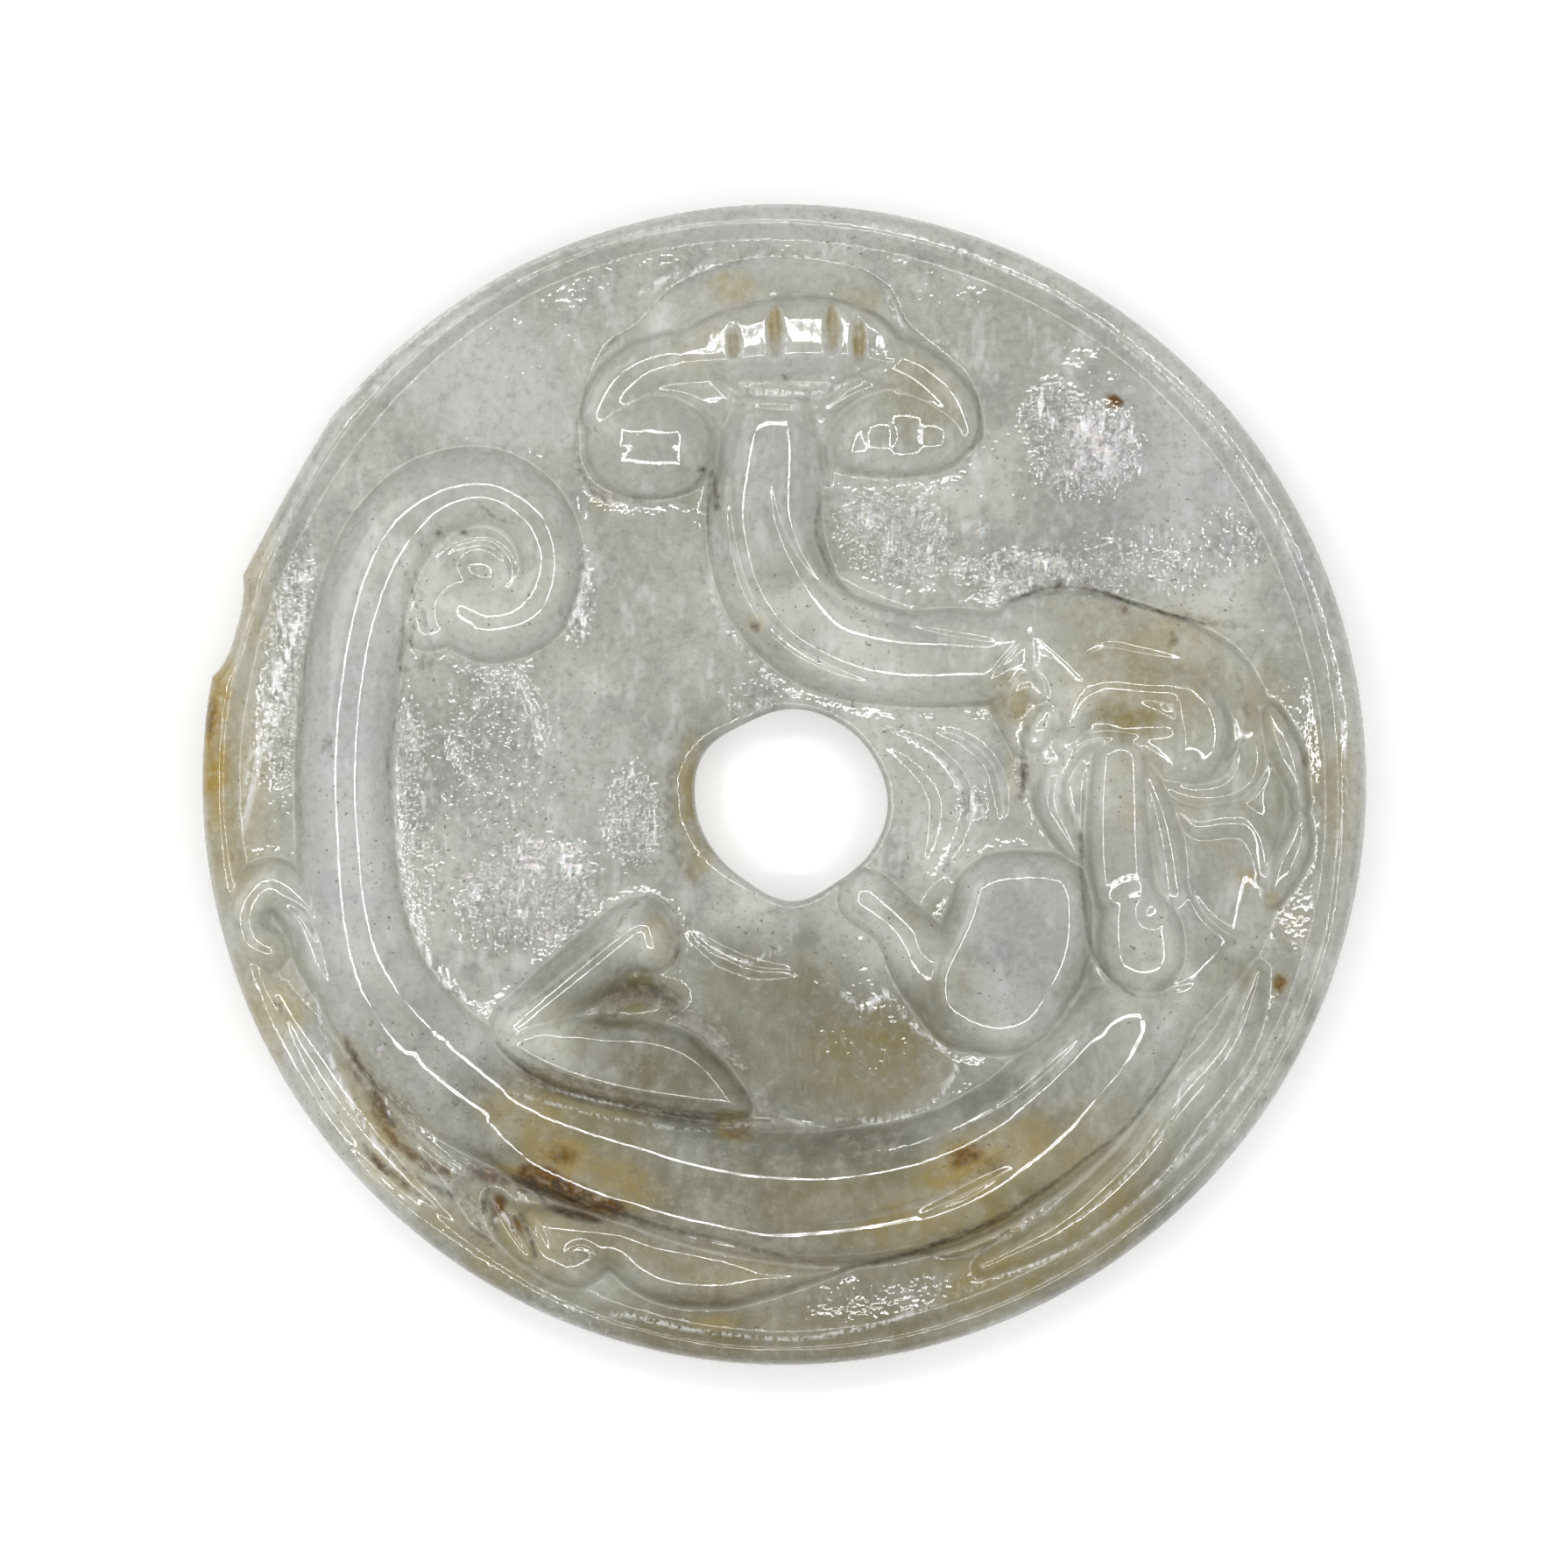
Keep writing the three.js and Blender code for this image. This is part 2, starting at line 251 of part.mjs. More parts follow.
    run: [[17.77, -0.25, 0.12, 0.05], [19.34, -1, 0.25, 0.2], [21.42, -0.75, 0.25, 0.2],
      [22.66, 0.66, 0.25, 0.16], [22.5, 3.15, 0.17, 0.08], [21.58, 5.31, 0.12, 0.04]] },
  { name: "rear_shoulder", kind: "limb", base: 4.9, full: 2, moat: [0.33, 0.03],
    run: [[18.76, -1.41, 0.41, 5.25], [19.59, -1.91, 0.75, 5.42], [20.84, -1.74, 0.83, 5.46],
      [21.83, -1.83, 0.83, 5.42], [22.42, -2.74, 0.75, 5.3], [22.66, -4.32, 0.5, 5.15]] },
  { name: "rear_shoulder_line", kind: "groove",
    run: [[19.01, -4.57, 0.12, 0.05], [19.92, -6.23, 0.21, 0.14], [21.5, -7.31, 0.21, 0.14],
      [23.08, -7.39, 0.12, 0.05]] },
  { name: "mane_leaf_upper", kind: "limb", base: 4.9, full: 3,
    run: [[23, 3.49, 0.33, 5.3], [23.37, 2.32, 0.66, 5.5], [23.83, 1.16, 0.71, 5.52], [24.24, 0, 0.41, 5.4]] },
  { name: "mane_leaf_middle", kind: "limb", base: 4.9, full: 2.4,
    run: [[24.28, -0.17, 0.37, 5.4], [24.37, -1, 0.37, 5.4]] },
  { name: "mane_leaf_lower", kind: "limb", base: 4.9, full: 3,
    run: [[24.41, -1.74, 0.37, 5.4], [24.16, -2.91, 0.71, 5.5], [23.58, -4.15, 0.75, 5.5],
      [23.08, -5.4, 0.37, 5.25]] },
  { name: "body_line_a", kind: "groove",
    run: [[-0.17, -17.77, 0.17, 0.05], [2.74, -17.68, 0.25, 0.12], [5.65, -17.23, 0.25, 0.13],
      [8.14, -16.35, 0.25, 0.13], [10.63, -15.03, 0.25, 0.13], [12.7, -13.37, 0.25, 0.12],
      [14.36, -11.71, 0.12, 0.04]] },
  { name: "body_line_b", kind: "groove",
    run: [[1.08, -18.26, 0.12, 0.04], [3.98, -17.93, 0.21, 0.1], [6.89, -17.18, 0.21, 0.12],
      [9.05, -16.27, 0.21, 0.1], [10.63, -15.36, 0.12, 0.04]] },
  { name: "body_line_e", kind: "groove",
    run: [[6.48, -20.26, 0.12, 0.04], [8.14, -19.51, 0.21, 0.14], [9.38, -18.85, 0.21, 0.14],
      [10.63, -18.18, 0.12, 0.04]] },
  { name: "thigh_line", kind: "groove",
    run: [[-13.45, -12.54, 0.17, 0.05], [-11.37, -14.2, 0.29, 0.18], [-8.88, -14.94, 0.29, 0.2],
      [-5.56, -15.61, 0.29, 0.2], [-2.66, -16.02, 0.25, 0.16], [-0.58, -16.02, 0.17, 0.05]] },
  { name: "thigh_line_b", kind: "groove",
    run: [[-12.62, -12.62, 0.12, 0.04], [-10.54, -13.78, 0.21, 0.14], [-8.05, -14.53, 0.21, 0.14],
      [-5.15, -15.03, 0.21, 0.12], [-3.07, -15.28, 0.12, 0.04]] },
];

// ---------------------------------------------------------------- small helpers
const clamp01 = (v) => Math.min(Math.max(v, 0), 1);
const smooth = (v) => v * v * (3 - 2 * v);
const radians = (deg) => (deg * Math.PI) / 180;

function softMax(a, b, k) {
  const h = clamp01(0.5 + (0.5 * (a - b)) / k);
  return b + (a - b) * h + k * h * (1 - h);
}

// Stations joined by a smooth curve: x, y, half width on one curve, the height and the lean of the top on another.
function spine(run, steps, closed = false) {
  const plan = new THREE.CatmullRomCurve3(run.map((p) => new THREE.Vector3(p[0], p[1], p[2] ?? 0)), closed, "catmullrom", 0.5);
  const rise = new THREE.CatmullRomCurve3(run.map((p, i) => new THREE.Vector3(i, p[3] ?? 0, p[4] ?? 0)), closed, "catmullrom", 0.5);
  const count = (closed ? run.length : run.length - 1) * steps;
  const out = [];
  for (let i = 0; i <= count; i++) {
    const a = plan.getPoint(i / count);
    const r = rise.getPoint(i / count);
    out.push([a.x, a.y, a.z, r.y, r.z]);
  }
  return out;
}

function edgeRadius(theta) {
  const deg = ((theta * 180) / Math.PI + 720) % 360;
  let r = DISC_RADIUS + 0.04 * Math.cos(2 * theta + 0.6) + 0.03 * Math.cos(3 * theta - 1);
  r -= FLAT_DEPTH * clamp01(1 - Math.abs((deg - FLAT_AT) / FLAT_HALF) ** 2);
  r -= CHIP_DEPTH * clamp01(1 - Math.abs((deg - CHIP_AT) / CHIP_HALF) ** 3);
  return r;
}

function holeRadius(theta) {
  const n = HOLE_RADII.length;
  const t = ((((theta / (2 * Math.PI)) * n) % n) + n) % n;
  const i = Math.floor(t), f = t - i;
  const [p0, p1, p2, p3] = [-1, 0, 1, 2].map((k) => HOLE_RADII[(i + k + n) % n]);
  return 0.5 * (2 * p1 + (-p0 + p2) * f + (2 * p0 - 5 * p1 + 4 * p2 - p3) * f * f + (-p0 + 3 * p1 - 3 * p2 + p3) * f * f * f);
}

// Distance from a point to a spine, as a share of its half width, with the height carried there.
function alongSpine(line, x, y) {
  let share = Infinity, height = 0, outside = Infinity, lean = 0, side = 0;
  for (let i = 1; i < line.length; i++) {
    const a = line[i - 1], b = line[i];
    const dx = b[0] - a[0], dy = b[1] - a[1];
    const u = clamp01(((x - a[0]) * dx + (y - a[1]) * dy) / (dx * dx + dy * dy + 1e-12));
    const d = Math.hypot(x - a[0] - u * dx, y - a[1] - u * dy);
    const w = a[2] + (b[2] - a[2]) * u;
    if (d / w < share) {
      share = d / w;
      height = a[3] + (b[3] - a[3]) * u;
      side = dx * (y - a[1]) - dy * (x - a[0]) > 0 ? 1 : -1;
      lean = side > 0 ? a[4] + (b[4] - a[4]) * u : 0;
    }
    outside = Math.min(outside, d - w);
  }
  return { share, height, outside, lean, side };
}

// Distance inside a closed outline, negative outside it.
function inside(line, x, y) {
  let best = Infinity, within = false;
  for (let i = 1; i < line.length; i++) {
    const a = line[i - 1], b = line[i];
    const dx = b[0] - a[0], dy = b[1] - a[1];
    const u = clamp01(((x - a[0]) * dx + (y - a[1]) * dy) / (dx * dx + dy * dy + 1e-12));
    best = Math.min(best, Math.hypot(x - a[0] - u * dx, y - a[1] - u * dy));
    if (a[1] > y !== b[1] > y && x < (dx * (y - a[1])) / dy + a[0]) within = !within;
  }
  return within ? best : -best;
}

const FORMS = CARVING.map((form) => {
  if (form.kind === "swell") return form;
  const line = spine(form.run ?? form.rim, 6, form.kind === "mass");
  const reach = (form.moat ? form.moat[0] : 0) + 0.1;
  const box = [Infinity, Infinity, -Infinity, -Infinity];
  for (const [x, y, w] of line) {
    const m = (form.kind === "mass" ? 0 : w) + reach;
    box[0] = Math.min(box[0], x - m); box[1] = Math.min(box[1], y - m);
    box[2] = Math.max(box[2], x + m); box[3] = Math.max(box[3], y + m);
  }
  return { ...form, line, box };
});

const moatDrop = (moat, outside) => {
  if (!moat || outside >= moat[0]) return 0;
  const q = outside > 0 ? clamp01(1 - outside / moat[0]) : 1;
  return moat[1] * smooth(q);
};

// Rounded section of a form: 1 at its crest, 0 at its foot; squarer on the side to which its top leans.
const section = (form, s, lean = 0) => clamp01(1 - s ** ((form.full ?? FULLNESS) * (1 + 3 * lean))) ** (1 / (form.flank ?? FLANK));

// Height of the carved face over a point of the disc.
function carvedHeight(x, y) {
  const theta = Math.atan2(y, x);
  const inFromEdge = edgeRadius(theta) - Math.hypot(x, y);
  let z = GROUND_HEIGHT + 0.05 * Math.sin(x * 0.31 + 1) * Math.cos(y * 0.27) + 0.03 * Math.sin(x * 0.7 - y * 0.5);
  const rimWidth = RIM_WIDTH + 0.22 * Math.sin(2 * theta + 0.5) + 0.12 * Math.sin(5 * theta + 1);
  z += (RIM_HEIGHT - z) * smooth(clamp01((rimWidth - DISC_RADIUS + Math.hypot(x, y)) / RIM_STEP));
  for (const form of FORMS) {
    if (form.kind === "swell") {
      const c = Math.cos(radians(form.turn)), s = Math.sin(radians(form.turn));
      const dx = x - form.at[0], dy = y - form.at[1];
      const u = (dx * c + dy * s) / form.reach[0], v = (-dx * s + dy * c) / form.reach[1];
      z += form.rise * smooth(clamp01(1 - u * u - v * v));
      continue;
    }
    if (x < form.box[0] || y < form.box[1] || x > form.box[2] || y > form.box[3]) continue;
    if (form.kind === "mass") {
      const depth = inside(form.line, x, y);
      z -= moatDrop(form.moat, -depth);
      if (depth <= 0) continue;
      const s = clamp01(1 - depth / form.shoulder);
      z = softMax(z, form.base + (form.top - form.base) * section(form, s), FILLET);
      continue;
    }
    const { share, height, outside, lean, side } = alongSpine(form.line, x, y);
    if (form.kind === "groove") {
      if (share < 1) z -= height * (1 - share ** 1.6);
    } else if (form.kind === "ridge") {
      if (share < 1) z += height * smooth(clamp01(1 - share * share));
    } else {
      z -= moatDrop(form.moat, outside);
      if (share >= 1) continue;
      const top = height - (LEAN_DROP * lean + (form.tilt ?? 0) * side) * share;
      z = softMax(z, form.base + (top - form.base) * section(form, share, lean), FILLET);
    }
  }
  // worn lip of the opening and rounded outer edge
  const hx = x - HOLE_CENTRE[0], hy = y - HOLE_CENTRE[1], ha = Math.atan2(hy, hx);
  const fromHole = Math.hypot(hx, hy) - holeRadius(ha);
  const lip = HOLE_LIP + (HOLE_LIP_LEFT - HOLE_LIP) * Math.exp(-(((Math.abs(ha) - radians(174)) / 0.62) ** 2));
  const p = clamp01(1 - fromHole / lip);
  z -= lip * 0.8 * (1 - Math.sqrt(clamp01(1 - p * p)));
  const q = clamp01(1 - inFromEdge / EDGE_ROUND_TOP);
  z -= EDGE_ROUND_TOP * 0.95 * (1 - Math.sqrt(clamp01(1 - q * q)));
  return z;
}

// ---------------------------------------------------------------- the blank
// One section of the ring, opening wall, carved face, outer edge and back, as [share of the way out, role, height].
const profile = [];
for (const z of [HOLE_BACK_CHAMFER, 1.5, 2.8]) profile.push([0, "hole", z]);
for (let i = 0; i <= TOP_RINGS; i++) profile.push([i / TOP_RINGS, "face", 0]);
for (const z of [3.0, 2.0, EDGE_ROUND_BACK]) profile.push([1, "wall", z]);
for (const a of [22.5, 45, 67.5]) {
  profile.push([1, "round", EDGE_ROUND_BACK * (1 - Math.sin(radians(a))), EDGE_ROUND_BACK * (1 - Math.cos(radians(a)))]);
}
profile.push([1, "round", 0, EDGE_ROUND_BACK]);
for (const t of [0.75, 0.5, 0.25]) profile.push([t, "back", 0]);
profile.push([0, "lip", 0]);
profile.push(profile[0]);

const blank = new THREE.LatheGeometry(profile.map(([t]) => new THREE.Vector2(5 + 20 * t, 0)), SECTORS);
const at = blank.attributes.position;
for (let i = 0; i <= SECTORS; i++) {
  const theta = ((i % SECTORS) / SECTORS) * 2 * Math.PI;
  // the opening is off centre, so its side of each spoke starts from its own middle
  const hr = holeRadius(theta), er = edgeRadius(theta);
  const start = [HOLE_CENTRE[0] + hr * Math.cos(theta), HOLE_CENTRE[1] + hr * Math.sin(theta)];
  for (let j = 0; j < profile.length; j++) {
    const [t, role, height, inset = 0] = profile[j];
    const end = [(er - inset) * Math.cos(theta), (er - inset) * Math.sin(theta)];
    const eased = role === "face" ? t + 0.06 * Math.sin(2 * Math.PI * t) / (2 * Math.PI) : t;
    let x = start[0] + (end[0] - start[0]) * eased, y = start[1] + (end[1] - start[1]) * eased;
    let z = height;
    if (role === "lip") { x += HOLE_BACK_CHAMFER * Math.cos(theta); y += HOLE_BACK_CHAMFER * Math.sin(theta); }
    if (role === "face") z = carvedHeight(x, y);
    at.setXYZ(i * profile.length + j, x, y, z);
  }
}
blank.deleteAttribute("normal");
blank.deleteAttribute("uv");
const fine = mergeVertices(blank, 1e-4);

// ---------------------------------------------------------------- thinning
// Folds the vertices that matter least into a neighbour, so that flat ground keeps few faces and the carving many.
function thinned(geometry, wanted) {
  const P = Float64Array.from(geometry.attributes.position.array);
  const T = Int32Array.from(geometry.index.array);
  const nv = P.length / 3, nt = T.length / 3;
  const faces = Array.from({ length: nv }, () => new Set());
  const dead = new Uint8Array(nt);
  let alive = 0;
  for (let f = 0; f < nt; f++) {
    const [a, b, c] = [T[3 * f], T[3 * f + 1], T[3 * f + 2]];
    if (a === b || b === c || a === c) { dead[f] = 1; continue; }
    faces[a].add(f); faces[b].add(f); faces[c].add(f);
    alive++;
  }
  const cross = (a, b, c) => {
    const ux = P[3 * b] - P[3 * a], uy = P[3 * b + 1] - P[3 * a + 1], uz = P[3 * b + 2] - P[3 * a + 2];
    const vx = P[3 * c] - P[3 * a], vy = P[3 * c + 1] - P[3 * a + 1], vz = P[3 * c + 2] - P[3 * a + 2];
    return [uy * vz - uz * vy, uz * vx - ux * vz, ux * vy - uy * vx];
  };
  // twice the area over the square of the longest side: small for a sliver
  const shapeOf = (c, twice) => {
    let longest = 0;
    for (let k = 0; k < 3; k++) {
      const a = c[k], b = c[(k + 1) % 3];
      longest = Math.max(longest, Math.hypot(P[3 * a] - P[3 * b], P[3 * a + 1] - P[3 * b + 1], P[3 * a + 2] - P[3 * b + 2]));
    }
    return twice / (longest * longest);
  };
  const Q = new Float64Array(nv * 10);
  for (let f = 0; f < nt; f++) {
    if (dead[f]) continue;
    const [a, b, c] = [T[3 * f], T[3 * f + 1], T[3 * f + 2]];
    const n = cross(a, b, c), len = Math.hypot(...n);
    if (len < 1e-12) continue;
    const [x, y, z] = n.map((v) => v / len);
    const d = -(x * P[3 * a] + y * P[3 * a + 1] + z * P[3 * a + 2]);
    const q = [x * x, x * y, x * z, x * d, y * y, y * z, y * d, z * z, z * d, d * d];
    for (const v of [a, b, c]) for (let k = 0; k < 10; k++) Q[10 * v + k] += (q[k] * len) / 2;
  }
  const cost = (u, v) => {
    const x = P[3 * v], y = P[3 * v + 1], z = P[3 * v + 2];
    const q = (k) => Q[10 * u + k] + Q[10 * v + k];
    const e = q(0) * x * x + 2 * q(1) * x * y + 2 * q(2) * x * z + 2 * q(3) * x + q(4) * y * y + 2 * q(5) * y * z + 2 * q(6) * y
      + q(7) * z * z + 2 * q(8) * z + q(9);
    const l = (P[3 * u] - x) ** 2 + (P[3 * u + 1] - y) ** 2 + (P[3 * u + 2] - z) ** 2;
    return Math.max(e, 0) + 2e-5 * l * l;
  };
  const stamp = new Int32Array(nv);
  const heap = [];
  const less = (i, j) => heap[i][0] < heap[j][0];
  const swap = (i, j) => { const t = heap[i]; heap[i] = heap[j]; heap[j] = t; };
  const push = (item) => {
    heap.push(item);
    for (let i = heap.length - 1; i > 0;) { const p = (i - 1) >> 1; if (!less(i, p)) break; swap(i, p); i = p; }
  };
  const pop = () => {
    const top = heap[0], last = heap.pop();
    if (heap.length) {
      heap[0] = last;
      for (let i = 0; ;) {
        let m = i;
        if (2 * i + 1 < heap.length && less(2 * i + 1, m)) m = 2 * i + 1;
        if (2 * i + 2 < heap.length && less(2 * i + 2, m)) m = 2 * i + 2;
        if (m === i) break;
        swap(i, m); i = m;
      }
    }
    return top;
  };
  const around = (v) => {
    const s = new Set();
    for (const f of faces[v]) for (let k = 0; k < 3; k++) if (T[3 * f + k] !== v) s.add(T[3 * f + k]);
    return s;
  };
  const offer = (u, v) => push([cost(u, v), u, v, stamp[u], stamp[v]]);
  for (let v = 0; v < nv; v++) for (const u of around(v)) offer(u, v);

  while (alive > wanted && heap.length) {
    const [, u, v, su, sv] = pop();
    if (stamp[u] !== su || stamp[v] !== sv || !faces[u].size || !faces[v].size) continue;
    const nu = around(u), nw = around(v);
    if (!nu.has(v)) continue;
    let shared = 0;
    for (const w of nu) if (nw.has(w)) shared++;
    if (shared !== 2 || nw.size > 14) continue;
    let sound = true;
    for (const f of faces[u]) {
      const c = [T[3 * f], T[3 * f + 1], T[3 * f + 2]];
      if (c.includes(v)) continue;
      const before = cross(...c), moved = c.map((w) => (w === u ? v : w)), after = cross(...moved);
      const la = Math.hypot(...before), lb = Math.hypot(...after);
      const facing = (before[0] * after[0] + before[1] * after[1] + before[2] * after[2]) / (la * lb + 1e-18);
      const shape = shapeOf(moved, lb);
      if (facing < 0.35 || (shape < 0.09 && shape < shapeOf(c, la))) { sound = false; break; }
    }
    if (!sound) continue;
    for (const f of [...faces[u]]) {
      const c = [T[3 * f], T[3 * f + 1], T[3 * f + 2]];
      if (c.includes(v)) {
        dead[f] = 1; alive--;
        for (const w of c) faces[w].delete(f);
      } else {
        for (let k = 0; k < 3; k++) if (T[3 * f + k] === u) T[3 * f + k] = v;
        faces[v].add(f);
      }
    }
    faces[u].clear();
    for (let k = 0; k < 10; k++) Q[10 * v + k] += Q[10 * u + k];
    stamp[u]++; stamp[v]++;
    for (const w of around(v)) { offer(w, v); offer(v, w); }
  }
  const slot = new Map(), outP = [], outT = [];
  for (let f = 0; f < nt; f++) {
    if (dead[f]) continue;
    for (let k = 0; k < 3; k++) {
      const v = T[3 * f + k];
      if (!slot.has(v)) { slot.set(v, slot.size); outP.push(P[3 * v], P[3 * v + 1], P[3 * v + 2]); }
      outT.push(slot.get(v));
    }
  }
  return { P: outP, T: outT };
}

const { P, T } = thinned(fine, TRIANGLES);
let volume = 0;
for (let f = 0; f < T.length; f += 3) {
  const [a, b, c] = [3 * T[f], 3 * T[f + 1], 3 * T[f + 2]];
  volume += P[a] * (P[b + 1] * P[c + 2] - P[b + 2] * P[c + 1]) - P[a + 1] * (P[b] * P[c + 2] - P[b + 2] * P[c])
    + P[a + 2] * (P[b] * P[c + 1] - P[b + 1] * P[c]);
}
if (volume < 0) for (let f = 0; f < T.length; f += 3) [T[f + 1], T[f + 2]] = [T[f + 2], T[f + 1]];

const geometry = new THREE.BufferGeometry();
geometry.setAttribute("position", new THREE.Float32BufferAttribute(P, 3));
geometry.setIndex(T);
geometry.computeVertexNormals();

const disc = new THREE.Mesh(geometry, new THREE.MeshStandardMaterial({ color: 0xb7bab4, roughness: 0.18, metalness: 0 }));
disc.name = "disc";

const object = new THREE.Group();
object.name = "jade_bi_disc";
object.add(disc);
export default object;
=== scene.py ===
import math
import bpy
import numpy as np
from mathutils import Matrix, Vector, kdtree


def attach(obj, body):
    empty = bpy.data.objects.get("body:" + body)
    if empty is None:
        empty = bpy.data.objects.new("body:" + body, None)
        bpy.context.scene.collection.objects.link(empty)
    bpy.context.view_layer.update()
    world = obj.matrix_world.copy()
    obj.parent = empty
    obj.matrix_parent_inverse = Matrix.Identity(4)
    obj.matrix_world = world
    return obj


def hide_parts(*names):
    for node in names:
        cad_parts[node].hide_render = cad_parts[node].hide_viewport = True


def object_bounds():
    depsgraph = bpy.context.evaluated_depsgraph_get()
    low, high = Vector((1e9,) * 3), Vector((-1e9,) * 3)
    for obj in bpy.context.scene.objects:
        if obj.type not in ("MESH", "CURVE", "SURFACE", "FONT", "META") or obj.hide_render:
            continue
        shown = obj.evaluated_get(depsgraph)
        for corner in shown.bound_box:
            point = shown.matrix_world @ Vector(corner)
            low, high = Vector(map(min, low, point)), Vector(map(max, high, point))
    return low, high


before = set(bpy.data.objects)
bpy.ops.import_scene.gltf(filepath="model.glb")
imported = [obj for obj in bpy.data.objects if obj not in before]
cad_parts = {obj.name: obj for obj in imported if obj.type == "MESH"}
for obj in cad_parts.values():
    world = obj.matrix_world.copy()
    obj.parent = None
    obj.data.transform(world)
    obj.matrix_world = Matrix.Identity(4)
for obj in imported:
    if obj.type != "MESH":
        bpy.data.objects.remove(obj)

START_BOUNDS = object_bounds()

# Jade bi disc, carved face up. Working units here are millimetres; the mesh is made in metres.
MM = 0.001
DISC_RADIUS = 27.5
GROUND_HEIGHT = 4.4
RIM_HEIGHT = 5.0
RIM_WIDTH = 1.85
RIM_STEP = 0.9
EDGE_ROUND_TOP = 1.0
EDGE_ROUND_BACK = 0.8
HOLE_CENTRE = (0.37, -1.0)
HOLE_RADII = (4.56, 4.5, 4.5, 4.56, 4.46, 4.84, 4.58, 4.3, 4.22, 4.58, 4.24, 4.38)
HOLE_LIP = 0.3
HOLE_LIP_LEFT = 1.05
HOLE_BACK_CHAMFER = 0.35
FLAT = (151.0, 10.0, 0.32)
CHIP = (164.2, 5.2, 0.62)
FULLNESS = 2.6
FLANK = 1.35
FILLET = 0.05
LEAN_DROP = 0.10             # how far a limb with a leaning top falls from its crest to that side
CELL = 0.05                  # spacing of the height field
POLISH = 1.6                 # cells of softening left by the final polish

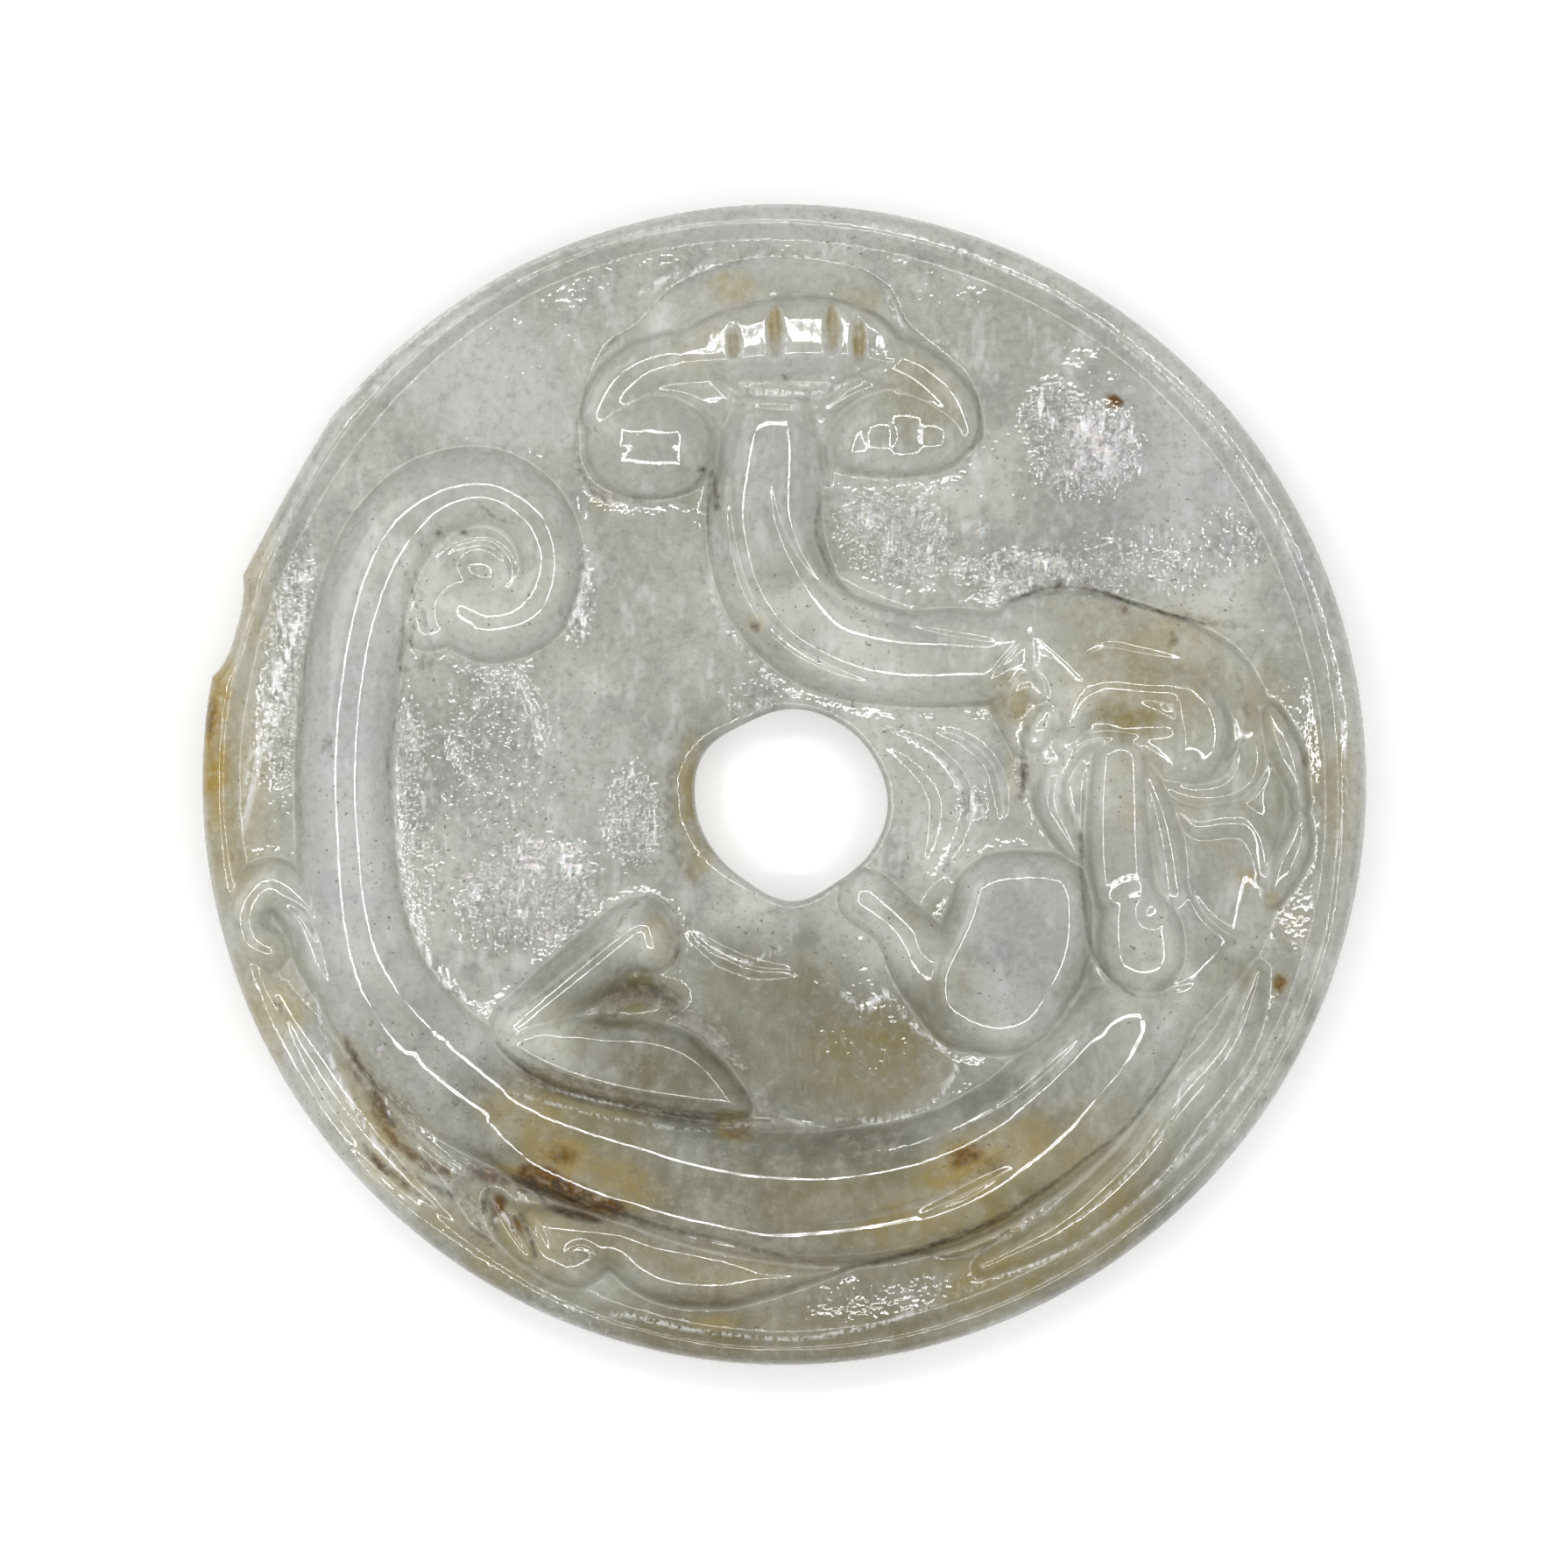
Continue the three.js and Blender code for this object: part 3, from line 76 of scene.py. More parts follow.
CARVING = [
    dict(name="ground_by_ruyi_left", kind="swell", at=(-13.86, 20.59), reach=(7.89, 4.98), turn=-35, rise=0.1),
    dict(name="ground_right_field", kind="swell", at=(18.1, 16.44), reach=(9.55, 6.23), turn=35, rise=0.12),
    dict(name="ground_mid_left", kind="swell", at=(-11.37, 1.91), reach=(7.06, 9.13), turn=0, rise=-0.14),
    dict(name="ground_lobe", kind="swell", at=(3.78, -12.2), reach=(4.98, 4.57), turn=0, rise=-0.16),
    dict(name="ground_stem_pocket", kind="swell", at=(5.23, 11.46), reach=(4.57, 2.91), turn=-20, rise=-0.13),
    dict(name="hole_side_step", kind="groove",
         run=[(6.97, 2.66, 0.125, 0.03), (8.55, 2.12, 0.249, 0.14), (9.8, 1, 0.291, 0.18),
              (10.29, -0.58, 0.291, 0.18), (10.38, -1.83, 0.125, 0.04)]),
    dict(name="hole_side_roll", kind="ridge",
         run=[(4.82, 2.24, 0.581, 0.05), (6.56, 1.25, 0.913, 0.2), (7.8, -0.37, 1.079, 0.26),
              (7.72, -2.24, 0.913, 0.2), (6.97, -3.9, 0.498, 0.05)]),
    dict(name="scroll_drop_line", kind="ridge",
         run=[(-12.83, 5.44, 0.249, 0.05), (-12, 4.19, 0.374, 0.12), (-11.46, 2.74, 0.374, 0.12),
              (-11.58, 1.49, 0.208, 0.04)]),
    dict(name="ground_tick", kind="ridge",
         run=[(-15.69, 2.32, 0.208, 0.04), (-15.61, 1.41, 0.291, 0.08), (-15.03, 0.46, 0.166, 0.03)]),
    dict(name="hole_foot_line", kind="ridge",
         run=[(-4.32, -7.14, 0.249, 0.05), (-3.07, -8.05, 0.415, 0.15), (-1.41, -8.72, 0.415, 0.15),
              (0.46, -8.88, 0.208, 0.05)]),
    dict(name="edge_strand", kind="limb", base=4.3, full=2, flank=1.2,
         run=[(-23.91, -9.96, 0.664, 4.85), (-22.83, -11.95, 1.079, 5.05), (-21.17, -14.45, 1.245, 5.15),
              (-19.18, -17.02, 1.245, 5.15), (-16.98, -19.34, 0.996, 5.05), (-15.52, -20.67, 0.498, 4.8)]),
    dict(name="edge_outer_line", kind="groove",
         run=[(-20.34, -17.18, 0.125, 0.04), (-19.26, -18.18, 0.249, 0.12), (-18.18, -19.18, 0.249, 0.12),
              (-16.35, -20.75, 0.125, 0.04)]),
    dict(name="edge_strand_line", kind="groove",
         run=[(-20.59, -12.2, 0.125, 0.05), (-19.26, -14.28, 0.249, 0.14), (-17.6, -16.35, 0.249, 0.16),
              (-15.94, -17.81, 0.249, 0.12), (-15.11, -18.43, 0.125, 0.05)]),
    dict(name="edge_scroll", kind="limb", base=4.3, moat=(1, 0.056), full=2.4,
         run=[(-20.59, -10.54, 0.996, 5.3), (-21.92, -8.3, 1.079, 5.35), (-22.75, -5.98, 1.162, 5.4),
              (-24.16, -4.73, 1.162, 5.4), (-25.32, -5.65, 1.121, 5.35), (-25.4, -7.14, 1.079, 5.3),
              (-24.41, -7.89, 0.996, 5.3)]),
    dict(name="edge_scroll_eye", kind="swell", at=(-24.41, -6.39), reach=(0.66, 0.58), turn=0, rise=-0.18),
    dict(name="edge_scroll_line", kind="groove",
         run=[(-23.62, -5.48, 0.125, 0.04), (-22.66, -6.18, 0.249, 0.16), (-21.67, -7.43, 0.249, 0.16),
              (-20.59, -7.89, 0.125, 0.04)]),
    dict(name="scroll_web", kind="mass", base=4.3, full=2.2, flank=1.5, top=5, shoulder=1,
         run=[(-17.93, 10.21), (-16.52, 12.04), (-13.86, 12.78), (-11.71, 12.04), (-11.21, 10.21), (-12.2, 8.14),
              (-14.69, 7.06), (-16.94, 6.31), (-18.18, 7.47)]),
    dict(name="tail", kind="limb", base=4.3, moat=(1, 0.068), full=2.1,
         run=[(-10.05, -17.1, 1.66, 5.2), (-12.04, -16.19, 2.242, 5.44), (-13.86, -15.11, 2.574, 5.58),
              (-15.73, -13.7, 2.74, 5.66), (-17.77, -11.87, 2.74, 5.72), (-19.51, -9.3, 2.574, 5.76),
              (-20.42, -5.98, 2.366, 5.8), (-20.71, -2.24, 2.283, 5.85), (-20.8, 0.66, 2.242, 5.85),
              (-20.63, 3.57, 2.242, 5.85), (-20.05, 7.31, 2.242, 5.8), (-18.85, 10.79, 2.242, 5.75),
              (-16.85, 13.16, 2.075, 5.7), (-14.2, 13.91, 1.909, 5.65), (-12.04, 12.78, 1.743, 5.6),
              (-11.17, 10.54, 1.66, 5.55), (-11.95, 8.34, 1.743, 5.5), (-13.78, 7.64, 1.826, 5.5),
              (-15.11, 8.14, 1.743, 5.4)]),
    dict(name="body", kind="limb", base=4.3, moat=(0.91, 0.062),
         run=[(18.93, -7.97, 1.411, 4.95, 0), (17.77, -9.63, 2.075, 5.25, 0), (16.52, -11.37, 2.574, 5.82, 0),
              (14.36, -13.86, 2.989, 5.95, 0), (11.29, -16.69, 3.072, 6, 0.1), (7.31, -18.76, 3.155, 6, 0.25),
              (2.32, -19.68, 3.155, 6, 0.3), (-2.24, -19.43, 2.989, 5.95, 0.7), (-6.6, -18.26, 2.823, 5.9, 0.8),
              (-10.13, -17.02, 2.574, 5.78, 0.7), (-12.2, -16.11, 2.408, 5.6, 0.3),
              (-14.03, -14.98, 2.075, 5.42, 0), (-15.52, -13.86, 1.66, 5.2, 0)]),
    dict(name="scroll_eye", kind="swell", at=(-14.28, 10.13), reach=(1.25, 0.91), turn=-20, rise=-0.26),
    dict(name="scroll_inner_edge", kind="ridge",
         run=[(-16.35, 10.63, 0.208, 0.04), (-15.44, 11.37, 0.332, 0.12), (-14.03, 11.62, 0.332, 0.14),
              (-13.03, 10.96, 0.332, 0.14), (-12.78, 9.8, 0.291, 0.1), (-13.45, 8.97, 0.208, 0.04)]),
    dict(name="outer_strip", kind="limb", base=4.3, full=2, flank=1.2,
         run=[(9.38, -22.83, 0.498, 4.8), (12.7, -21.25, 0.913, 4.98), (15.03, -19.59, 1.162, 5.06),
              (17.1, -17.48, 1.162, 5.1), (18.51, -15.52, 1.162, 5.1), (19.84, -13.95, 1.079, 5.1),
              (21.09, -12.37, 0.996, 5.05), (21.92, -10.46, 0.83, 4.95), (22.42, -8.8, 0.498, 4.8)]),
    dict(name="outer_haunch", kind="mass", base=4.3, moat=(0.83, 0.062), flank=1.5, top=5.42, shoulder=1.25,
         run=[(-12.7, -19.92), (-10.54, -20.09), (-7.64, -20.42), (-5.94, -21), (-2.62, -21.67), (-0.62, -22.33),
              (1.49, -22.83), (3.36, -22.75), (1.37, -23.54), (-0.62, -24.2), (-2.62, -24.66), (-4.61, -24.66),
              (-5.94, -24.41), (-7.26, -23.74), (-8.26, -22.91), (-8.72, -23.33), (-9.88, -23.83),
              (-11.21, -23.49), (-12, -22.91), (-12.62, -21.75), (-13.03, -20.75)]),
    dict(name="outer_paw", kind="mass", base=4.3, full=2.2, flank=1.5, top=5.1, shoulder=0.66,
         run=[(-14.2, -19.34), (-13.45, -19.26), (-12.7, -19.92), (-12.2, -20.92), (-11.71, -22.25),
              (-11.95, -22.83), (-12.62, -22.58), (-13.45, -21.58), (-14.03, -20.51)]),
    dict(name="paw_toe_a", kind="groove",
         run=[(-13.62, -19.34, 0.125, 0.03), (-12.7, -20.84, 0.249, 0.16), (-11.71, -22.5, 0.166, 0.05)]),
    dict(name="paw_toe_b", kind="groove",
         run=[(-12.62, -19.34, 0.125, 0.03), (-11.87, -20.59, 0.249, 0.16), (-11.17, -22, 0.166, 0.05)]),
    dict(name="paw_toe_c", kind="groove",
         run=[(-10.29, -22.91, 0.125, 0.03), (-10.21, -22.08, 0.208, 0.07), (-9.55, -21.75, 0.208, 0.09),
              (-8.88, -22.17, 0.208, 0.09), (-9.05, -22.91, 0.125, 0.03)]),
    dict(name="haunch_line", kind="groove",
         run=[(-10.54, -19.26, 0.166, 0.05), (-7.64, -20.34, 0.291, 0.2), (-5.94, -20.92, 0.291, 0.24),
              (-2.62, -21.58, 0.291, 0.22), (-0.62, -22.25, 0.249, 0.2), (1.7, -22.75, 0.166, 0.05)]),
    dict(name="strip_lens", kind="groove",
         run=[(6.27, -22.08, 0.125, 0.04), (7.31, -22.08, 0.291, 0.1), (8.55, -21.92, 0.332, 0.12),
              (9.96, -21.25, 0.291, 0.1), (11.21, -20.51, 0.125, 0.04)]),
    dict(name="leg_recess", kind="swell", at=(-6.81, -10.29), reach=(2.66, 1.25), turn=8, rise=-0.4),
    dict(name="inner_haunch", kind="mass", base=4.3, moat=(1, 0.074), full=2.2, flank=1.5, top=5.5, shoulder=1,
         run=[(-13.62, -12.45), (-12.37, -11.21), (-10.54, -10.96), (-8.47, -11.21), (-6.39, -11.29),
              (-4.48, -11.87), (-2.82, -13.28), (-1.58, -15.19), (-1.99, -15.77), (-4.32, -15.77), (-8.05, -15.19),
              (-11.37, -14.11)]),
    dict(name="inner_haunch_roll", kind="swell", at=(-6.81, -12.87), reach=(4.57, 1.25), turn=-12, rise=0.06),
    dict(name="inner_shin", kind="limb", base=4.3, moat=(0.83, 0.068), full=2, flank=1.2,
         run=[(-12.62, -11.46, 1.245, 5.3), (-10.29, -9.55, 1.411, 5.48), (-8.05, -7.72, 1.453, 5.6),
              (-6.72, -6.81, 1.411, 5.66), (-6.31, -7.64, 1.328, 5.6)]),
    dict(name="forearm", kind="limb", base=4.3, moat=(0.91, 0.068), full=2.4,
         run=[(3.9, -5.4, 1.328, 5.1), (5.4, -6.64, 1.245, 5.25), (6.97, -8.72, 1.743, 5.45),
              (8.72, -10.54, 2.075, 5.6)]),
    dict(name="shoulder", kind="mass", base=4.3, moat=(1, 0.074), full=2.2, flank=1.4, top=5.74, shoulder=1.33,
         run=[(7.8, -5.98), (8.38, -4.32), (9.8, -3.4), (11.87, -3.24), (13.62, -3.65), (14.49, -4.9),
              (14.69, -6.81), (14.36, -8.63), (13.37, -10.54), (12.12, -12.2), (10.21, -12.78), (8.22, -12.2),
              (6.81, -10.96), (6.56, -8.88)]),
    dict(name="shoulder_dome", kind="swell", at=(11.04, -8.05), reach=(3.32, 4.15), turn=0, rise=0.1),
    dict(name="arm_valley", kind="swell", at=(7.31, -6.39), reach=(1, 2.08), turn=-12, rise=-0.28),
    dict(name="shoulder_line", kind="groove",
         run=[(14.36, -4.73, 0.166, 0.05), (14.65, -6.81, 0.291, 0.2), (14.36, -8.88, 0.291, 0.22),
              (13.2, -11.12, 0.249, 0.18), (11.87, -12.62, 0.166, 0.05)]),
    dict(name="stem", kind="limb", base=4.3, moat=(0.91, 0.068), full=3,
         run=[(-0.5, 17.35, 2.075, 5.55), (-0.75, 14.57, 2.491, 5.6), (-0.91, 11.87, 2.657, 5.6),
              (-0.08, 8.97, 2.657, 5.6), (2.08, 6.81, 2.408, 5.6), (5.4, 5.98, 2.242, 5.6),
              (8.38, 5.98, 2.242, 5.55), (10.63, 5.98, 2.075, 5.5)]),
    dict(name="stem_flute_a", kind="groove",
         run=[(-2.57, 14.78, 0.125, 0.05), (-2.32, 11.87, 0.291, 0.14), (-1.58, 9.13, 0.291, 0.16),
              (0, 6.97, 0.291, 0.16), (2.32, 5.56, 0.249, 0.14), (5.23, 4.57, 0.125, 0.05)]),
    dict(name="stem_flute_b", kind="groove",
         run=[(-0.58, 14.78, 0.125, 0.03), (-0.17, 12.62, 0.249, 0.1), (0.75, 10.54, 0.249, 0.12),
              (2.32, 8.8, 0.291, 0.18), (4.73, 7.64, 0.291, 0.2), (7.31, 7.06, 0.249, 0.16),
              (9.8, 6.68, 0.125, 0.05)]),
    dict(name="stem_flute_c", kind="groove",
         run=[(0.87, 12.7, 0.125, 0.05), (1.33, 11.04, 0.249, 0.14), (2.32, 9.71, 0.249, 0.18),
              (3.98, 8.72, 0.249, 0.18), (6.14, 8.05, 0.208, 0.14), (8.22, 7.8, 0.125, 0.04)]),
    dict(name="cap", kind="mass", base=4.3, moat=(1, 0.062), full=1.7, flank=1.25, top=5.08, shoulder=2.74,
         run=[(-9.63, 16.44), (-9.38, 18.93), (-8.38, 20.75), (-6.89, 21.75), (-5.4, 23.33), (-3.65, 24.24),
              (-1.41, 24.82), (1.08, 24.91), (3.32, 24.49), (4.98, 23.49), (5.89, 21.75), (7.39, 20.51),
              (8.72, 19.26), (9.26, 17.43), (8.88, 15.86), (7.72, 14.86), (5.65, 14.45), (3.4, 14.53),
              (2.16, 14.94), (1.49, 16.44), (0.25, 17.52), (-1.41, 17.52), (-2.99, 16.44), (-3.4, 14.78),
              (-4.48, 13.7), (-6.56, 13.37), (-8.47, 13.86), (-9.38, 14.86)]),
    dict(name="cap_crest", kind="limb", base=4.9, full=2.4,
         run=[(-8.47, 17.52, 1.079, 5.3), (-7.8, 18.76, 1.162, 5.45), (-6.31, 19.84, 1.162, 5.58),
              (-4.07, 20.26, 1.245, 5.66), (-1.83, 20.59, 1.411, 5.7), (0.46, 20.75, 1.494, 5.72),
              (2.74, 20.67, 1.411, 5.7), (4.57, 20.09, 1.245, 5.62), (6.31, 19.43, 1.162, 5.5),
              (7.8, 18.1, 1.079, 5.4), (8.38, 16.77, 0.913, 5.25)]),
    dict(name="cap_facet", kind="limb", base=5.2, full=6, tilt=0.14,
         run=[(-4.48, 20.42, 0.83, 5.6), (-2.57, 20.92, 1.328, 5.76), (-0.58, 21.25, 1.536, 5.86),
              (0.75, 21.34, 1.577, 5.88), (2.08, 21.29, 1.536, 5.86), (3.74, 21, 1.245, 5.76),
              (4.9, 20.34, 0.747, 5.6)]),
    dict(name="left_curl", kind="mass", base=4.8, full=2, flank=1.3, top=5.6, shoulder=2.32,
         run=[(-9.22, 16.44), (-8.72, 17.77), (-7.39, 18.43), (-5.73, 18.43), (-4.23, 17.77), (-3.57, 16.44),
              (-3.74, 14.78), (-4.73, 13.86), (-6.56, 13.62), (-8.3, 14.11), (-9.13, 15.19)]),
    dict(name="left_curl_a", kind="swell", at=(-7.72, 16.6), reach=(1.08, 1.08), turn=0, rise=0.12),
    dict(name="left_curl_b", kind="swell", at=(-4.82, 16.6), reach=(1, 1.08), turn=0, rise=0.12),
    dict(name="right_curl", kind="mass", base=4.8, full=2.4, flank=1.5, top=5.5, shoulder=1.33,
         run=[(2.41, 15.94), (2.82, 17.27), (3.9, 18.1), (5.4, 18.43), (7.06, 18.18), (8.3, 17.35), (8.63, 16.19),
              (7.89, 15.11), (5.81, 14.69), (3.57, 14.78), (2.57, 15.19)]),
    dict(name="right_curl_a", kind="swell", at=(4.52, 16.44), reach=(0.91, 1.16), turn=0, rise=0.12),
    dict(name="right_curl_b", kind="swell", at=(7.14, 16.44), reach=(1, 1.16), turn=0, rise=0.12),
    dict(name="left_curl_line", kind="groove",
         run=[(-3.74, 13.03, 0.208, 0.1), (-3.07, 14.94, 0.332, 0.26), (-3.4, 16.94, 0.332, 0.26),
              (-4.73, 18.1, 0.291, 0.18), (-6.56, 18.43, 0.166, 0.06)]),
    dict(name="right_curl_line", kind="groove",
         run=[(2.08, 14.28, 0.208, 0.1), (1.91, 15.94, 0.332, 0.26), (2.49, 17.35, 0.332, 0.26),
              (3.82, 18.26, 0.291, 0.2), (5.4, 18.76, 0.166, 0.05)]),
    dict(name="cap_hem", kind="groove",
         run=[(-3.98, 19.76, 0.166, 0.05), (-2.99, 19.01, 0.291, 0.2), (-1.99, 18.43, 0.332, 0.26),
              (-0.08, 18.26, 0.332, 0.28), (1.99, 18.35, 0.332, 0.26), (2.99, 19.01, 0.291, 0.2),
              (4.82, 19.68, 0.166, 0.05)]),
    dict(name="collar_a", kind="groove",
         run=[(-2.32, 18.93, 0.166, 0.1), (-0.08, 19.01, 0.208, 0.13), (2.16, 18.93, 0.166, 0.1)]),
    dict(name="collar_b", kind="groove",
         run=[(-2.41, 17.77, 0.166, 0.1), (-0.17, 17.68, 0.291, 0.2), (1.91, 17.35, 0.166, 0.1)]),
    dict(name="cap_cut_1", kind="groove",
         run=[(-2.45, 21.67, 0.125, 0.06), (-2.41, 21.17, 0.266, 0.3), (-2.37, 20.59, 0.332, 0.42),
              (-2.37, 20.3, 0.282, 0.4), (-2.41, 19.92, 0.166, 0.1)]),
    dict(name="cap_cut_2", kind="groove",
         run=[(-0.5, 23.08, 0.125, 0.06), (-0.46, 22.16, 0.315, 0.3), (-0.42, 21.08, 0.394, 0.42),
              (-0.42, 20.3, 0.335, 0.4), (-0.46, 19.92, 0.166, 0.1)]),
    dict(name="cap_cut_3", kind="groove",
         run=[(2.2, 23.08, 0.125, 0.06), (2.24, 22.21, 0.315, 0.3), (2.28, 21.19, 0.394, 0.42),
              (2.28, 20.46, 0.335, 0.4), (2.24, 20.09, 0.166, 0.1)]),
    dict(name="cap_cut_4", kind="groove",
         run=[(3.45, 22.33, 0.125, 0.06), (3.49, 21.54, 0.282, 0.3), (3.53, 20.61, 0.353, 0.42),
              (3.53, 19.97, 0.3, 0.4), (3.49, 19.59, 0.166, 0.1)]),
    dict(name="head_mass", kind="mass", base=4.3, moat=(0.83, 0.043), full=1.7, flank=1.4, top=5.12, shoulder=2.08,
         run=[(9.96, 7.97), (12.54, 9.05), (15.52, 8.8), (18.51, 7.89), (21.17, 6.56), (22.66, 4.65),
              (23.33, 2.32), (23.66, -0.17), (23.58, -2.66), (23.33, -5.15), (22.66, -7.64), (21, -9.71),
              (18.51, -11.87), (15.28, -11.62), (14.36, -8.47), (14.2, -4.73), (12.95, -2.99), (11.71, -0.58),
              (10.63, 1.91), (9.8, 3.74)]),
    dict(name="mane_base", kind="swell", at=(24.16, -1.2), reach=(2.74, 7.06), turn=0, rise=0.34),
    dict(name="crown", kind="mass", base=4.75, full=1.06, flank=1, top=6, shoulder=4.82,
         run=[(10.21, 7.97), (12.54, 8.97), (15.52, 8.72), (18.51, 7.8), (21, 6.39), (22.33, 4.4), (22.66, 1.91),
              (22, -0.58), (20.17, -1.41), (18.1, -1.41), (15.61, -0.17), (13.37, 0.66), (11.04, 1.49),
              (10.13, 3.98)]),
    dict(name="brow", kind="limb", base=5.1, full=2,
         run=[(12.95, 5.98, 0.291, 5.3), (13.78, 6.35, 0.457, 5.42), (14.78, 6.48, 0.291, 5.32)]),
    dict(name="nose_curl", kind="limb", base=4.9, moat=(0.25, 0.031), full=2,
         run=[(10.96, 3.74, 0.581, 5.3), (11.04, 4.4, 0.747, 5.5), (11.54, 4.73, 0.789, 5.55),
              (12.04, 4.32, 0.664, 5.45)]),
    dict(name="nostril", kind="limb", base=4.9, moat=(0.25, 0.031), full=3.6,
         run=[(12.41, 3.24, 0.581, 5.5), (12.12, 2.66, 0.664, 5.55), (11.87, 2.08, 0.54, 5.4)]),
    dict(name="whisker", kind="limb", base=4.9, moat=(0.33, 0.05), full=2.4,
         run=[(12.78, 0.33, 0.623, 5.4), (12.62, -0.91, 0.706, 5.45), (13.28, -2.32, 0.581, 5.35),
              (13.78, -3.24, 0.332, 5.2)]),
    dict(name="muzzle", kind="limb", base=5.1, full=2,
         run=[(13.37, 1.83, 0.581, 5.4), (13.62, 2.99, 0.83, 5.7), (14.11, 4.07, 1.079, 5.9),
              (15.11, 4.65, 1.162, 6), (16.85, 4.52, 1.162, 6), (18.51, 4.4, 1.162, 5.96), (19.68, 3.9, 0.913, 5.9)]),
    dict(name="ear", kind="limb", base=5, moat=(0.42, 0.037), full=5, flank=1.5,
         run=[(19.01, 4.23, 0.83, 5.9), (19.43, 3.32, 1.287, 5.98), (19.68, 2.32, 1.37, 5.98),
              (19.43, 1.33, 1.079, 5.85), (18.93, 0.75, 0.498, 5.5)]),
    dict(name="lip", kind="limb", base=4.9, full=2.2,
         run=[(13.12, 0.33, 0.332, 5.25), (13.62, 1.41, 0.457, 5.45), (14.45, 2.03, 0.498, 5.5),
              (16.27, 2.08, 0.498, 5.5), (17.35, 1.58, 0.498, 5.45), (18.26, 0.91, 0.415, 5.35),
              (18.93, 0.17, 0.249, 5.2)]),
    dict(name="cheek_hollow", kind="swell", at=(16.44, 2.82), reach=(2.24, 0.66), turn=-4, rise=-0.16),
    dict(name="jaw_line", kind="groove",
         run=[(14.36, 1.08, 0.125, 0.05), (15.28, 1.62, 0.249, 0.16), (16.44, 1.58, 0.249, 0.18),
              (17.35, 1, 0.249, 0.18), (17.93, 0, 0.125, 0.05)]),
    dict(name="neck_lock", kind="limb", base=4.9, moat=(0.5, 0.05), full=5.2, flank=1.5,
         run=[(15.86, 1, 1.245, 5.7), (15.82, -1.41, 1.411, 5.78), (15.9, -3.9, 1.411, 5.78),
              (16.11, -4.98, 1.411, 5.74)]),
    dict(name="neck_lobe", kind="limb", base=4.9, moat=(0.42, 0.05), full=4.4, flank=1.5,
         run=[(16.6, -6.06, 1.494, 5.78), (16.85, -7.06, 1.909, 5.85), (16.98, -7.97, 1.909, 5.8)]),
    dict(name="neck_notch", kind="swell", at=(17.35, -5.98), reach=(0.75, 0.91), turn=-10, rise=-0.2),
    dict(name="neck_lock_side", kind="limb", base=4.9, full=2.4,
         run=[(17.1, 0.58, 0.374, 5.3), (17.68, -1.16, 0.706, 5.5), (18.1, -2.86, 0.789, 5.5),
              (18.43, -5.15, 0.747, 5.3)]),
    dict(name="neck_left_line", kind="groove",
         run=[(14.36, 0.58, 0.125, 0.05), (14.24, -2.24, 0.208, 0.14), (14.4, -5.56, 0.208, 0.14),
              (14.86, -8.38, 0.208, 0.16), (16.02, -9.63, 0.208, 0.16), (17.35, -9.96, 0.208, 0.16),
              (19.18, -9.38, 0.125, 0.05)]),
    dict(name="crown_line_a", kind="groove",
         run=[(9.71, 4.98, 0.125, 0.04), (10.63, 6.06, 0.208, 0.09), (12.12, 7.64, 0.125, 0.04)]),
    dict(name="crown_line_b", kind="groove",
         run=[(13.78, 5.56, 0.125, 0.05), (15.11, 6.39, 0.208, 0.12), (16.85, 6.14, 0.208, 0.1),
              (18.76, 5.81, 0.125, 0.04)]),
    dict(name="cheek_arc_a", kind="groove",
         run=[(18.1, 0.17, 0.125, 0.05), (19.59, 0, 0.208, 0.16), (20.92, 0.5, 0.249, 0.16),
              (21.58, 2.08, 0.125, 0.05)]),
    dict(name="cheek_arc_b", kind="groove",
         run=[(17.77, -0.25, 0.125, 0.05), (19.34, -1, 0.249, 0.2), (21.42, -0.75, 0.249, 0.2),
              (22.66, 0.66, 0.249, 0.16), (22.5, 3.15, 0.166, 0.08), (21.58, 5.31, 0.125, 0.04)]),
    dict(name="rear_shoulder", kind="limb", base=4.9, moat=(0.33, 0.025), full=2,
         run=[(18.76, -1.41, 0.415, 5.25), (19.59, -1.91, 0.747, 5.42), (20.84, -1.74, 0.83, 5.46),
              (21.83, -1.83, 0.83, 5.42), (22.42, -2.74, 0.747, 5.3), (22.66, -4.32, 0.498, 5.15)]),
    dict(name="rear_shoulder_line", kind="groove",
         run=[(19.01, -4.57, 0.125, 0.05), (19.92, -6.23, 0.208, 0.14), (21.5, -7.31, 0.208, 0.14),
              (23.08, -7.39, 0.125, 0.05)]),
    dict(name="mane_leaf_upper", kind="limb", base=4.9, full=3,
         run=[(23, 3.49, 0.332, 5.3), (23.37, 2.32, 0.664, 5.5), (23.83, 1.16, 0.706, 5.52), (24.24, 0, 0.415, 5.4)]),
    dict(name="mane_leaf_middle", kind="limb", base=4.9, full=2.4,
         run=[(24.28, -0.17, 0.374, 5.4), (24.37, -1, 0.374, 5.4)]),
    dict(name="mane_leaf_lower", kind="limb", base=4.9, full=3,
         run=[(24.41, -1.74, 0.374, 5.4), (24.16, -2.91, 0.706, 5.5), (23.58, -4.15, 0.747, 5.5),
              (23.08, -5.4, 0.374, 5.25)]),
    dict(name="body_line_a", kind="groove",
         run=[(-0.17, -17.77, 0.166, 0.05), (2.74, -17.68, 0.249, 0.12), (5.65, -17.23, 0.249, 0.13),
              (8.14, -16.35, 0.249, 0.13), (10.63, -15.03, 0.249, 0.13), (12.7, -13.37, 0.249, 0.12),
              (14.36, -11.71, 0.125, 0.04)]),
    dict(name="body_line_b", kind="groove",
         run=[(1.08, -18.26, 0.125, 0.04), (3.98, -17.93, 0.208, 0.1), (6.89, -17.18, 0.208, 0.12),
